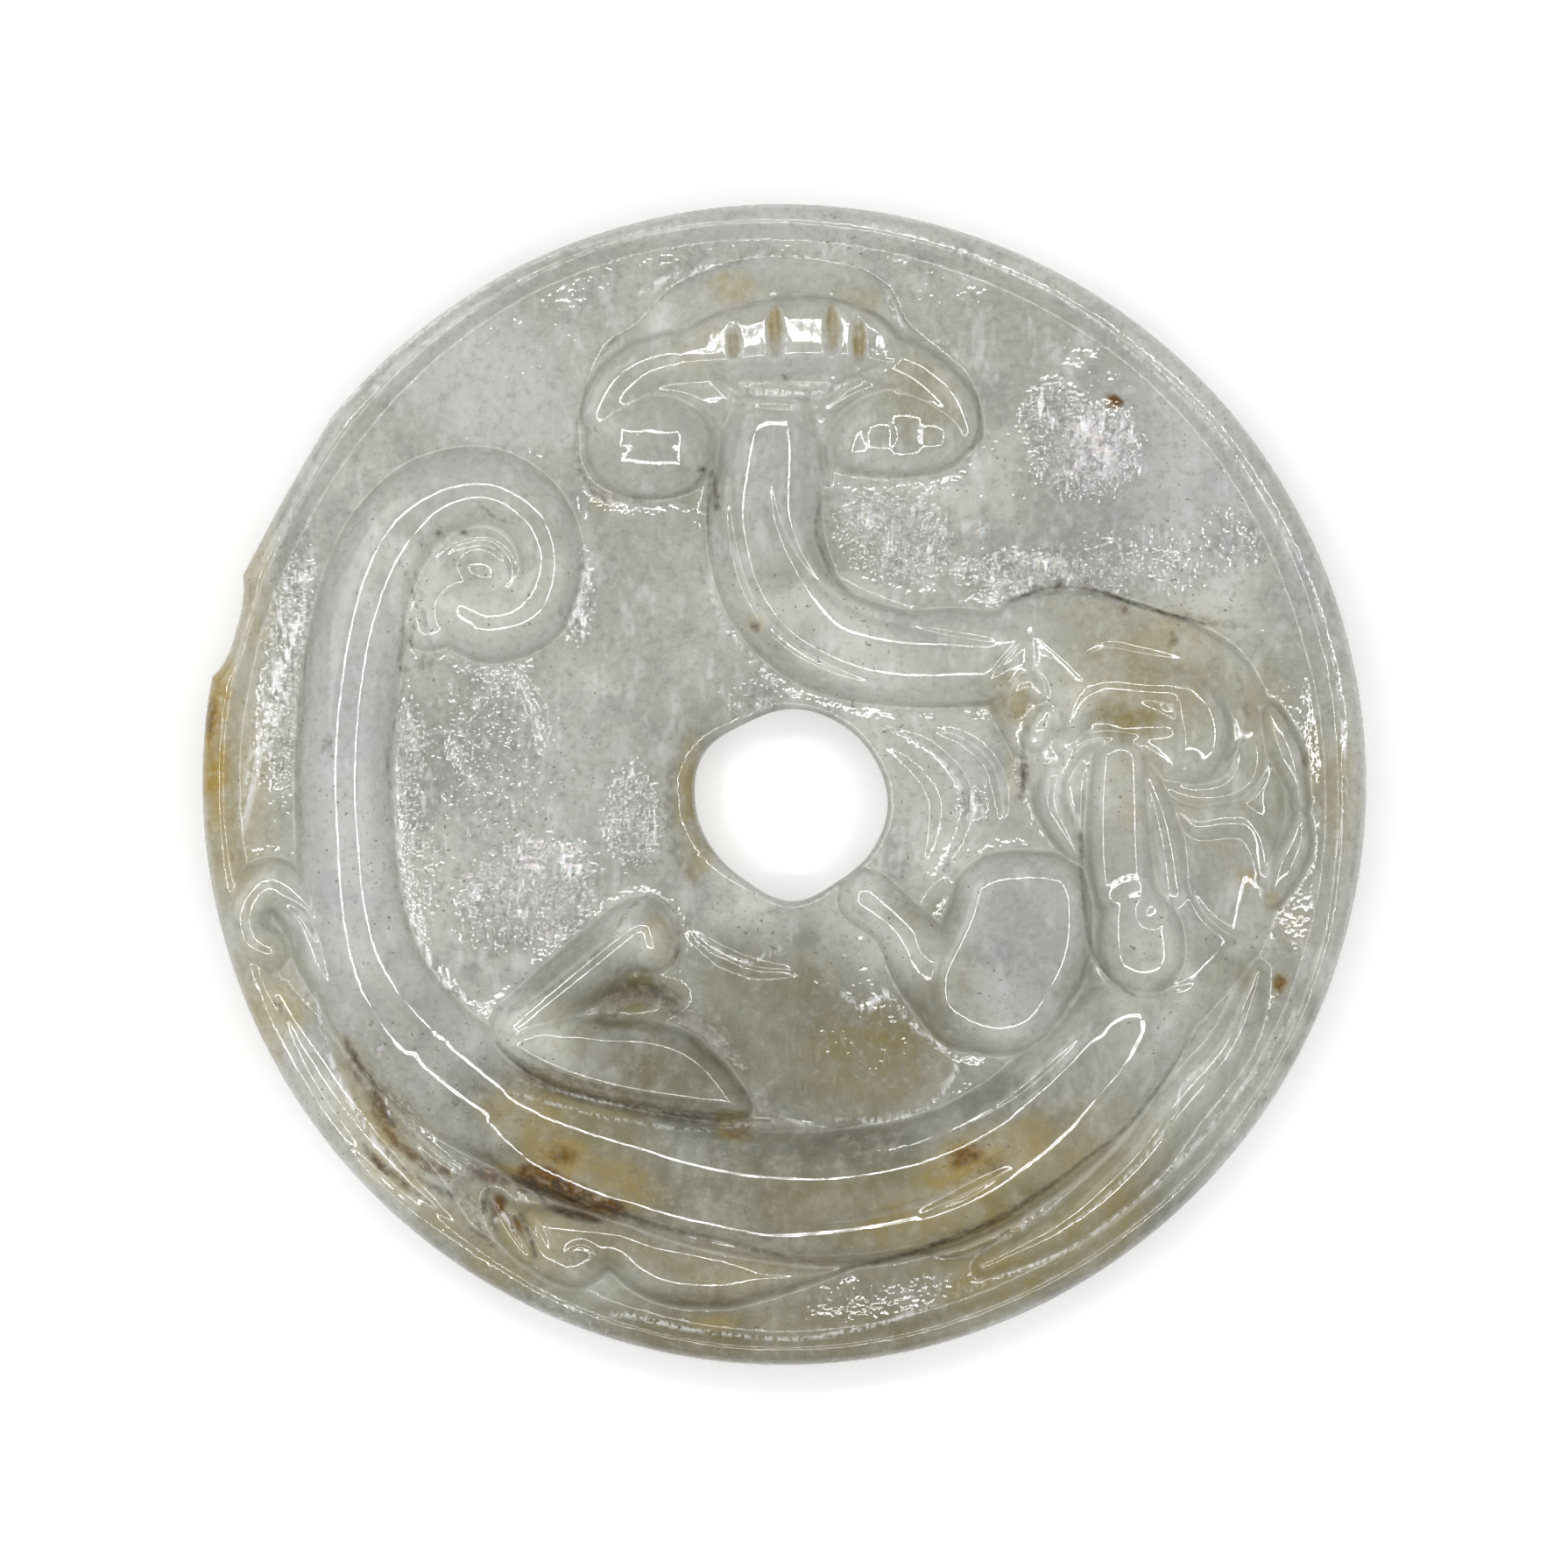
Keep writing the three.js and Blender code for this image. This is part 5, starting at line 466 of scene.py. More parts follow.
# Dirt held in the cut lines: stations of x, y, half width (mm), strength.
DIRT_LINES = [
    [(-2.41, 21.34, 0.17, 0.2), (-2.37, 20.67, 0.25, 0.32), (-2.37, 20.09, 0.17, 0.2)],
    [(-0.46, 22.66, 0.17, 0.2), (-0.42, 21.21, 0.29, 0.32), (-0.42, 20.09, 0.17, 0.2)],
    [(2.24, 22.66, 0.17, 0.2), (2.28, 21.34, 0.29, 0.32), (2.28, 20.26, 0.17, 0.2)],
    [(3.49, 22, 0.17, 0.2), (3.53, 20.75, 0.29, 0.36), (3.53, 19.76, 0.17, 0.2)],
    [(10.25, 8.51, 0.12, 0.6), (12.54, 9.3, 0.17, 1), (14.49, 9.22, 0.17, 1), (16.6, 8.51, 0.17, 1), (18.31, 8.01, 0.17, 1), (19.97, 7.6, 0.17, 0.9), (22.17, 7.51, 0.12, 0.5)],
    [(-13.62, -12.2, 0.12, 0.4), (-12.62, -13.12, 0.21, 0.8), (-11.37, -14.11, 0.25, 1), (-8.88, -14.94, 0.29, 1), (-5.56, -15.61, 0.29, 0.95), (-2.66, -16.02, 0.25, 0.8), (-0.58, -16.02, 0.17, 0.5)],
    [(-12.2, -12.62, 0.12, 0.3), (-10.54, -13.7, 0.21, 0.5), (-8.05, -14.4, 0.21, 0.5), (-5.15, -14.94, 0.21, 0.4), (-3.07, -15.19, 0.12, 0.2)],
    [(2.74, -22.95, 0.12, 0.5), (4.4, -22.58, 0.17, 0.8), (6.6, -21.92, 0.21, 1), (9.8, -20.67, 0.25, 1), (12.16, -19.22, 0.17, 0.9), (14.53, -17.48, 0.12, 0.7), (16.15, -16.23, 0.12, 0.6), (17.72, -14.32, 0.12, 0.5), (20.09, -10.83, 0.08, 0.3)],
    [(6.27, -22.12, 0.12, 0.5), (8.14, -22.33, 0.21, 0.7), (9.8, -21.75, 0.21, 0.6), (11.12, -20.59, 0.12, 0.4)],
    [(0.83, -20.67, 0.12, 0.3), (3.4, -20.51, 0.21, 0.45), (6.6, -19.72, 0.21, 0.5), (8.72, -18.68, 0.21, 0.5), (10.54, -17.43, 0.12, 0.3)],
    [(-3.15, 13.12, 0.21, 1), (-3.4, 14.78, 0.12, 0.7), (-3.65, 12.29, 0.12, 0.6)],
    [(-8.47, 13.45, 0.21, 0.8), (-8.05, 13.62, 0.17, 0.6)],
    [(-18.22, 10.63, 0.08, 0.5), (-17.39, 8.55, 0.08, 0.8), (-17.6, 6.48, 0.08, 0.7), (-16.35, 5.23, 0.08, 0.5)],
    [(11.12, 2.32, 0.12, 0.4), (11.37, 0.87, 0.21, 0.9), (11.21, -0.66, 0.21, 1)],
    [(-5.31, 0.66, 0.17, 0.4), (-5.48, -1.41, 0.17, 0.5), (-5.02, -3.49, 0.17, 0.5), (-3.9, -4.73, 0.12, 0.3)],
    [(7.8, -3.74, 0.21, 0.9), (7.14, -4.73, 0.12, 0.5)],
    [(-24.45, -10.05, 0.12, 0.5), (-23.74, -10.54, 0.17, 0.8), (-23.33, -11.37, 0.12, 0.5)],
    [(-8.05, -10.96, 0.17, 0.8), (-6.39, -9.63, 0.25, 1), (-4.94, -10.54, 0.17, 0.6)],
    [(-12.45, -20.3, 0.17, 0.8), (-11.95, -21.34, 0.17, 0.9), (-11.71, -22.42, 0.12, 0.6)],
    [(-13.86, -19.76, 0.21, 0.9), (-13.62, -20.92, 0.12, 0.6)],
    [(14.2, 0.66, 0.08, 0.3), (14.03, -2.24, 0.12, 0.6), (14.2, -5.98, 0.12, 0.6), (14.86, -8.47, 0.12, 0.7), (16.44, -9.96, 0.12, 0.6)],
    [(20.84, 1.08, 0.12, 0.6), (21.83, 2.74, 0.12, 0.5), (21.42, 5.23, 0.08, 0.3)],
    [(-9.71, 17.27, 0.08, 0.3), (-9.55, 14.78, 0.12, 0.7), (-8.47, 13.7, 0.12, 0.6), (-6.39, 13.45, 0.12, 0.4)],
    [(2.32, 14.57, 0.12, 0.4), (1.49, 12.29, 0.12, 0.5), (2.16, 10, 0.12, 0.5)],
    [(-10.54, -19.34, 0.25, 0.8), (-8.05, -20.09, 0.25, 0.8), (-5.94, -20.88, 0.21, 0.6), (-2.62, -21.58, 0.17, 0.5), (0.25, -22.42, 0.17, 0.35)],
    [(-19.26, -16.77, 0.17, 0.5), (-17.6, -18.43, 0.21, 0.7), (-15.52, -19.51, 0.21, 0.7), (-13.24, -20.3, 0.17, 0.6)],
    [(6.06, -10.96, 0.12, 0.5), (6.89, -12.2, 0.12, 0.6), (8.55, -13.12, 0.12, 0.4)],
    [(-17.39, 10, 0.06, 0.5), (-17.1, 8.76, 0.06, 0.8), (-16.77, 6.89, 0.08, 0.8), (-16.35, 6.06, 0.06, 0.5)],
    [(-17.93, 8.14, 0.05, 0.4), (-18.1, 6.48, 0.06, 0.7), (-18.22, 5.65, 0.06, 0.8), (-17.85, 5.35, 0.06, 0.7), (-17.1, 5.65, 0.06, 0.7), (-15.52, 5.85, 0.06, 0.5), (-14.61, 5.44, 0.05, 0.3)],
    [(-18.02, 4.61, 0.05, 0.4), (-18.43, 2.74, 0.06, 0.7), (-18.76, 1.16, 0.06, 0.7), (-18.64, -0.17, 0.05, 0.4)],
    [(-16.15, 14.15, 0.04, 0.4), (-15.44, 13.62, 0.05, 0.6), (-14.61, 13.41, 0.05, 0.6), (-13.78, 12.66, 0.05, 0.7), (-12.87, 12.29, 0.06, 0.7), (-12.29, 12.62, 0.06, 0.7), (-12.16, 13.7, 0.04, 0.4)],
    [(-9.71, 17.68, 0.08, 0.3), (-9.84, 15.61, 0.12, 0.8), (-9.38, 14.28, 0.17, 1), (-8.47, 13.53, 0.17, 0.9), (-6.39, 13.45, 0.12, 0.5), (-4.32, 13.86, 0.08, 0.4)],
    [(-3.4, 12.29, 0.08, 0.4), (-3.9, 10.63, 0.08, 0.4), (-3.4, 8.55, 0.08, 0.4), (-1.83, 6.27, 0.08, 0.5), (0.25, 4.82, 0.08, 0.4)],
    [(-13.86, -12.41, 0.08, 0.3), (-14.49, -13.66, 0.1, 0.6), (-14.2, -14.69, 0.1, 0.6), (-13.37, -15.61, 0.08, 0.4)],
    [(-23, -5.15, 0.08, 0.3), (-22.5, -6.31, 0.08, 0.4), (-22.08, -7.64, 0.08, 0.3)],
    [(-23.2, -0.17, 0.08, 0.3), (-22.79, -1.41, 0.08, 0.4), (-23, -2.03, 0.08, 0.3)],
    [(-16.15, -9.71, 0.12, 0.3), (-13.86, -10.54, 0.12, 0.4), (-12.2, -10.46, 0.12, 0.4), (-10.54, -9.3, 0.12, 0.4), (-8.47, -7.64, 0.12, 0.5), (-7.39, -5.98, 0.12, 0.5), (-6.39, -5.31, 0.12, 0.4), (-5.35, -5.81, 0.12, 0.5), (-4.9, -7.22, 0.17, 0.7), (-5.23, -8.88, 0.17, 0.7)],
    [(-5.15, -10.54, 0.42, 0.3), (-4.23, -11.29, 0.62, 0.6), (-3.07, -12.2, 0.5, 0.5), (-1.83, -13.45, 0.42, 0.4)],
    [(-2.32, -16.11, 0.33, 0.5), (-1.16, -16.27, 0.37, 0.7), (1.29, -16.35, 0.33, 0.6), (3.57, -16.27, 0.21, 0.3)],
    [(-14.86, -18.18, 0.25, 0.6), (-13.86, -18.6, 0.37, 1), (-12.2, -18.93, 0.37, 1), (-10.54, -19.51, 0.25, 0.6)],
    [(-15.03, -17.85, 0.12, 0.6), (-15.11, -18.85, 0.12, 0.8), (-14.69, -20.09, 0.17, 0.9), (-14.36, -20.92, 0.17, 0.9), (-13.86, -21.75, 0.12, 0.6)],
    [(-14.36, -18.02, 0.1, 0.6), (-14.03, -18.93, 0.12, 0.8), (-14.2, -20.09, 0.12, 0.8), (-14.69, -21.34, 0.1, 0.6)],
    [(-15.32, -18.02, 0.1, 0.5), (-15.52, -19.09, 0.1, 0.8), (-15.11, -20.09, 0.1, 0.6)],
    [(-11.42, -19.76, 0.17, 0.7), (-10.54, -20.17, 0.25, 1), (-9.3, -20.51, 0.25, 1), (-8.47, -20.59, 0.17, 0.7)],
    [(-12.04, -18.85, 0.21, 0.8), (-11.62, -19.34, 0.25, 1), (-11.29, -19.76, 0.21, 0.9)],
    [(-19.76, -17.18, 0.17, 0.6), (-18.85, -18.18, 0.25, 0.9), (-17.6, -19.09, 0.21, 0.8), (-16.35, -20.09, 0.12, 0.5)],
    [(-20.67, -12.04, 0.17, 0.6), (-20.34, -12.78, 0.25, 0.9), (-20.01, -13.53, 0.17, 0.6)],
    [(-19.51, -14.11, 0.12, 0.5), (-19.01, -15.19, 0.17, 0.8), (-18.43, -16.19, 0.17, 0.7)],
    [(-12.2, -13.2, 0.25, 0.4), (-9.71, -14.28, 0.33, 0.6), (-7.22, -14.94, 0.37, 0.6), (-4.32, -15.44, 0.37, 0.6), (-1.83, -15.61, 0.29, 0.5)],
    [(-8.55, -10.54, 0.5, 0.5), (-7.22, -9.96, 0.62, 0.8), (-5.73, -10.13, 0.54, 0.8), (-4.82, -10.79, 0.37, 0.6)],
    [(-8.72, -10.88, 0.5, 0.5), (-7.8, -10.05, 0.75, 0.9), (-6.48, -9.8, 0.75, 1), (-5.31, -10.38, 0.58, 0.9), (-4.57, -11.21, 0.37, 0.6)],
    [(-12.54, -13.12, 0.33, 0.4), (-10.54, -14.28, 0.5, 0.6), (-8.05, -14.94, 0.54, 0.6), (-5.15, -15.52, 0.54, 0.6), (-1.99, -15.77, 0.37, 0.5)],
    [(-1.99, -14.53, 0.25, 0.4), (-1, -15.19, 0.5, 0.6), (0.25, -16.11, 0.42, 0.5), (1.91, -16.35, 0.25, 0.4)],
    [(-9.55, 17.68, 0.08, 0.3), (-9.22, 19.34, 0.08, 0.4), (-8.3, 20.75, 0.08, 0.45), (-6.89, 21.92, 0.08, 0.4), (-5.4, 23.33, 0.08, 0.35), (-3.65, 24.24, 0.07, 0.3), (-1.41, 24.82, 0.07, 0.25), (1.08, 24.91, 0.07, 0.3), (3.32, 24.49, 0.07, 0.35), (4.98, 23.49, 0.08, 0.4), (5.89, 21.75, 0.1, 0.5), (7.39, 20.51, 0.08, 0.35), (8.72, 19.26, 0.08, 0.35), (9.26, 17.43, 0.12, 0.5), (8.88, 15.86, 0.12, 0.45)],
]
# Pale scratched strokes, and two painted highlights on the collar's top edges: stations of x, y, half width (mm),
# strength.
PALE_LINES = [
    [(-22.33, 11.04, 0.25, 0.4), (-22.91, 8.55, 0.46, 0.8), (-23.49, 5.65, 0.54, 1), (-24.24, 3.15, 0.54, 1), (-25.07, 0.66, 0.46, 0.8), (-25.65, -2.24, 0.29, 0.4)],
    [(-6.89, 23.16, 0.12, 0.7), (-5.56, 23.91, 0.17, 1), (-3.57, 24.49, 0.12, 0.7)],
    [(3.53, 26.57, 0.08, 0.6), (7.72, 25.4, 0.1, 0.8), (11.21, 23.95, 0.1, 0.8), (14.36, 22.08, 0.08, 0.7), (16.69, 20.13, 0.08, 0.7), (19.76, 17.27, 0.08, 0.6), (22.17, 14.07, 0.08, 0.6), (24.32, 10.63, 0.08, 0.6), (25.57, 7.31, 0.08, 0.7), (26.23, 3.98, 0.08, 0.8), (26.48, -0.17, 0.08, 0.8), (26.07, -3.49, 0.08, 0.6)],
    [(-24.66, 12.29, 0.08, 0.5), (-21.67, 16.81, 0.1, 0.8), (-19.26, 19.55, 0.1, 0.8), (-16.19, 22.04, 0.1, 0.8), (-13.45, 23.83, 0.08, 0.7), (-10.71, 25.03, 0.08, 0.6), (-5.23, 26.48, 0.08, 0.5)],
    [(-12.95, 5.31, 0.08, 0.8), (-12.2, 4.19, 0.1, 0.9), (-11.71, 2.91, 0.1, 1), (-11.58, 1.41, 0.1, 0.8)],
    [(-15.77, 2.24, 0.08, 0.8), (-15.61, 1.41, 0.1, 1), (-15.11, 0.42, 0.12, 1)],
    [(4.9, 2.74, 0.08, 0.6), (6.81, 1.58, 0.1, 0.8), (8.14, 0.25, 0.1, 0.8), (8.72, -1.41, 0.08, 0.5)],
    [(-18.18, 0.66, 0.08, 0.4), (-18.35, -1.83, 0.1, 0.8), (-17.93, -4.73, 0.12, 0.8), (-17.43, -6.81, 0.12, 0.9), (-16.44, -8.88, 0.17, 0.9), (-15.11, -10.13, 0.17, 0.7)],
    [(4.82, 23.29, 0.12, 0.5), (5.23, 22.25, 0.17, 0.9), (5.73, 21.42, 0.12, 0.5)],
    [(-9.55, 11.46, 0.17, 0.4), (-9.38, 9.8, 0.25, 0.9), (-9.88, 8.14, 0.21, 0.7), (-10.21, 6.89, 0.12, 0.4)],
    # painted highlights: the collar's two top edges catching the light
    [(-3.9, 18.93, 0.08, 0.2), (-2.16, 18.55, 0.09, 0.8), (0.25, 18.43, 0.1, 1), (2.08, 18.6, 0.09, 0.8), (4.4, 19.59, 0.08, 0.2)],
    [(-2.16, 18.93, 0.07, 0.5), (-0.08, 18.89, 0.07, 0.8), (1.99, 18.89, 0.07, 0.5)],
    [(-22.17, -9.71, 0.08, 0.3), (-21.67, -12.2, 0.12, 0.8), (-20.84, -14.28, 0.17, 0.9), (-19.68, -16.35, 0.17, 0.8), (-18.43, -18.02, 0.12, 0.5)],
    [(-8.05, -25.07, 0.12, 0.6), (-6.97, -25.15, 0.17, 0.8), (-4.61, -25.74, 0.12, 0.7), (-1.95, -26.07, 0.1, 0.6), (0.71, -26.23, 0.1, 0.7), (2.7, -25.9, 0.1, 0.8), (4.65, -25.49, 0.1, 0.7), (6.89, -24.66, 0.1, 0.7), (9.8, -23.49, 0.1, 0.7), (13.28, -22.08, 0.1, 0.6), (16.15, -20.05, 0.1, 0.6), (19.01, -17.48, 0.1, 0.6), (20.88, -15.28, 0.08, 0.6), (22.5, -13.37, 0.08, 0.6), (24.08, -10.83, 0.08, 0.7)],
    [(12.95, -21.21, 0.06, 0.4), (15.03, -19.63, 0.07, 0.6), (17.1, -17.48, 0.08, 0.8), (18.35, -15.73, 0.08, 0.8), (19.01, -13.99, 0.08, 0.6), (21.05, -12.58, 0.08, 0.7), (21.75, -10.83, 0.07, 0.4)],
    [(9.59, 9.63, 0.08, 0.4), (11.87, 9.3, 0.12, 0.6), (8.55, 8.55, 0.12, 0.5)],
    [(-3.07, 10.63, 0.08, 0.3), (-3.4, 8.97, 0.1, 0.6), (-2.32, 6.89, 0.1, 0.7), (-0.91, 5.65, 0.08, 0.4)],
    [(0.46, -7.22, 0.08, 0.3), (-1.41, -8.38, 0.1, 0.7), (-3.07, -7.89, 0.1, 0.7), (-4.32, -6.89, 0.08, 0.5)],
    [(2.74, -9.92, 0.12, 0.5), (3.78, -10.63, 0.17, 0.9), (4.82, -9.96, 0.17, 0.9), (6.06, -11.37, 0.12, 0.8), (8.05, -13.03, 0.12, 0.8), (7.72, -14.28, 0.12, 0.6), (6.48, -15.44, 0.12, 0.6), (4.4, -15.94, 0.12, 0.6), (2.32, -15.86, 0.08, 0.4)],
    [(-12.83, -14.53, 0.06, 0.4), (-10.54, -15.19, 0.08, 0.6), (-7.22, -15.94, 0.08, 0.6), (-3.9, -16.35, 0.08, 0.5), (-1.58, -16.11, 0.06, 0.4)],
    [(-12.54, -13.95, 0.05, 0.3), (-9.71, -14.78, 0.06, 0.5), (-6.39, -15.36, 0.06, 0.5), (-2.66, -15.77, 0.05, 0.3)],
    [(-13.86, -21, 0.08, 0.5), (-13.37, -20.3, 0.1, 0.8), (-12.95, -20.75, 0.1, 0.8), (-12.54, -21.75, 0.08, 0.6)],
    [(6.48, 20.8, 0.06, 0.3), (7.47, 20.92, 0.08, 0.5), (8.55, 19.76, 0.08, 0.4)],
    [(8.14, 14.57, 0.08, 0.4), (6.89, 13.86, 0.12, 0.7), (6.31, 13.12, 0.12, 0.5)],
    [(-9.22, 17.68, 0.08, 0.3), (-9.55, 16.44, 0.08, 0.5), (-9.22, 14.78, 0.08, 0.4)],
]
SPECKS = [
    (-21.54, 1.91, 0.21), (-15.11, 11.87, 0.17), (-16.27, 11.79, 0.17), (-3.9, 14.86, 0.17), (0.12, 19.22, 0.17),
    (10.17, 14.9, 0.12), (-5.11, -25.03, 0.12), (-11.95, -18.76, 0.21), (-14.2, -19.8, 0.21), (11.21, -0.5, 0.21),
    (-14.36, -14.28, 0.12), (-10.54, 8.14, 0.12), (8.55, -14.69, 0.12), (1.08, -14.69, 0.12), (3.57, -10.54, 0.12),
]


# ------------------------------------------------------------------ the height field
def catmull(points, closed=False, steps=8):
    p = np.array(points, float)
    n = len(p)
    out = []
    for i in range(n if closed else n - 1):
        if closed:
            p0, p1, p2, p3 = p[(i - 1) % n], p[i], p[(i + 1) % n], p[(i + 2) % n]
        else:
            p0, p1, p2, p3 = p[max(i - 1, 0)], p[i], p[i + 1], p[min(i + 2, n - 1)]
        for j in range(steps):
            t = j / steps
            out.append(0.5 * ((2 * p1) + (-p0 + p2) * t + (2 * p0 - 5 * p1 + 4 * p2 - p3) * t * t
                              + (-p0 + 3 * p1 - 3 * p2 + p3) * t ** 3))
    out.append(out[0] if closed else p[-1])
    return np.array(out)


def smooth(t):
    return t * t * (3 - 2 * t)


def soft_max(a, b, k):
    h = np.clip(0.5 + 0.5 * (a - b) / k, 0, 1)
    return b + (a - b) * h + k * h * (1 - h)


def edge_radius(theta):
    deg = np.degrees(theta) % 360
    r = DISC_RADIUS + 0.04 * np.cos(2 * theta + 0.6) + 0.03 * np.cos(3 * theta - 1.0)
    r = r - FLAT[2] * np.clip(1 - np.abs((deg - FLAT[0]) / FLAT[1]) ** 2, 0, 1)
    return r - CHIP[2] * np.clip(1 - np.abs((deg - CHIP[0]) / CHIP[1]) ** 3, 0, 1)


def hole_radius(theta):
    v = np.array(HOLE_RADII)
    n = len(v)
    t = (np.asarray(theta) / (2 * math.pi) * n) % n
    i = np.floor(t).astype(int)
    f = t - i
    p0, p1, p2, p3 = v[(i - 1) % n], v[i % n], v[(i + 1) % n], v[(i + 2) % n]
    return 0.5 * (2 * p1 + (-p0 + p2) * f + (2 * p0 - 5 * p1 + 4 * p2 - p3) * f * f + (-p0 + 3 * p1 - 3 * p2 + p3) * f ** 3)


AXIS = np.arange(-int(28.6 / CELL), int(28.6 / CELL) + 1) * CELL
GX, GY = np.meshgrid(AXIS, AXIS)


def window(x0, x1, y0, y1):
    i0, i1 = np.searchsorted(AXIS, [x0, x1])
    j0, j1 = np.searchsorted(AXIS, [y0, y1])
    return slice(j0, j1), slice(i0, i1)


def along(run, reach):
    """For every cell near a run of stations: its share of the half width, the height there, the distance outside."""
    line = catmull(run)
    m = float(line[:, 2].max()) + reach
    box = window(line[:, 0].min() - m, line[:, 0].max() + m, line[:, 1].min() - m, line[:, 1].max() + m)
    shape = GX[box].shape
    share, height, outside, lean = np.full(shape, 9.0), np.zeros(shape), np.full(shape, 9.0), np.zeros(shape)
    side = np.zeros(shape)
    j0, i0 = box[0].start, box[1].start
    for a, b in zip(line[:-1], line[1:]):
        w = max(a[2], b[2]) + reach
        sub = window(min(a[0], b[0]) - w, max(a[0], b[0]) + w, min(a[1], b[1]) - w, max(a[1], b[1]) + w)
        x, y = GX[sub], GY[sub]
        if not x.size:
            continue
        loc = (slice(sub[0].start - j0, sub[0].stop - j0), slice(sub[1].start - i0, sub[1].stop - i0))
        dx, dy = b[0] - a[0], b[1] - a[1]
        u = np.clip(((x - a[0]) * dx + (y - a[1]) * dy) / (dx * dx + dy * dy + 1e-12), 0, 1)
        d = np.hypot(x - a[0] - u * dx, y - a[1] - u * dy)
        ww = a[2] + (b[2] - a[2]) * u
        s = d / ww
        nearer = s < share[loc]
        left = dx * (y - a[1]) - dy * (x - a[0]) > 0
        side[loc] = np.where(nearer, np.where(left, 1.0, -1.0), side[loc])
        if line.shape[1] > 4:
            lean[loc] = np.where(nearer, np.where(left, a[4] + (b[4] - a[4]) * u, 0), lean[loc])
        share[loc] = np.where(nearer, s, share[loc])
        height[loc] = np.where(nearer, a[3] + (b[3] - a[3]) * u, height[loc])
        outside[loc] = np.minimum(outside[loc], d - ww)
    return box, share, height, outside, lean, side


def depth_inside(rim, reach):
    line = catmull(rim, closed=True, steps=5)
    box = window(line[:, 0].min() - reach, line[:, 0].max() + reach, line[:, 1].min() - reach, line[:, 1].max() + reach)
    x, y = GX[box], GY[box]
    best, within = np.full(x.shape, 1e9), np.zeros(x.shape, bool)
    for a, b in zip(line[:-1], line[1:]):
        dx, dy = b[0] - a[0], b[1] - a[1]
        u = np.clip(((x - a[0]) * dx + (y - a[1]) * dy) / (dx * dx + dy * dy + 1e-12), 0, 1)
        best = np.minimum(best, np.hypot(x - a[0] - u * dx, y - a[1] - u * dy))
        if abs(dy) > 1e-9:
            within ^= ((a[1] > y) != (b[1] > y)) & (x < dx * (y - a[1]) / dy + a[0])
    return box, np.where(within, best, -best)


def moat_drop(moat, outside):
    q = np.where(outside > 0, np.clip(1 - outside / moat[0], 0, 1), 1.0)
    return np.where(outside < moat[0], moat[1] * smooth(q), 0)


def gauss(field, sigma):
    n = int(3 * sigma) + 1
    k = np.exp(-0.5 * (np.arange(-n, n + 1) / sigma) ** 2)
    k /= k.sum()
    p = np.pad(field, n, mode="edge")
    a = sum(k[i] * p[:, i:i + field.shape[1]] for i in range(2 * n + 1))
    return sum(k[i] * a[i:i + field.shape[0], :] for i in range(2 * n + 1))


def value_noise(scale, seed):
    """Smooth random field over the disc, about -1 to 1, with features of the given size in mm."""
    rng = np.random.default_rng(seed)
    n = int(60 / scale) + 6
    grid = rng.uniform(-1, 1, (n, n))
    u = (AXIS + 30) / scale + 1
    i = np.floor(u).astype(int)
    f = smooth(u - i)
    rows = grid[i][:, :] * (1 - f)[:, None] + grid[i + 1][:, :] * f[:, None]
    return rows[:, i] * (1 - f)[None, :] + rows[:, i + 1] * f[None, :]


THETA = np.arctan2(GY, GX)
IN_FROM_EDGE = edge_radius(THETA) - np.hypot(GX, GY)
HX, HY = GX - HOLE_CENTRE[0], GY - HOLE_CENTRE[1]
HOLE_ANGLE = np.arctan2(HY, HX)
FROM_HOLE = np.hypot(HX, HY) - hole_radius(HOLE_ANGLE)
LIMB_MASK = np.zeros(GX.shape)


def section(form, s, lean=0.0):
    return np.clip(1 - np.clip(s, 0, 1) ** (form.get("full", FULLNESS) * (1 + 3 * lean)), 0, 1) ** (1 / form.get("flank", FLANK))


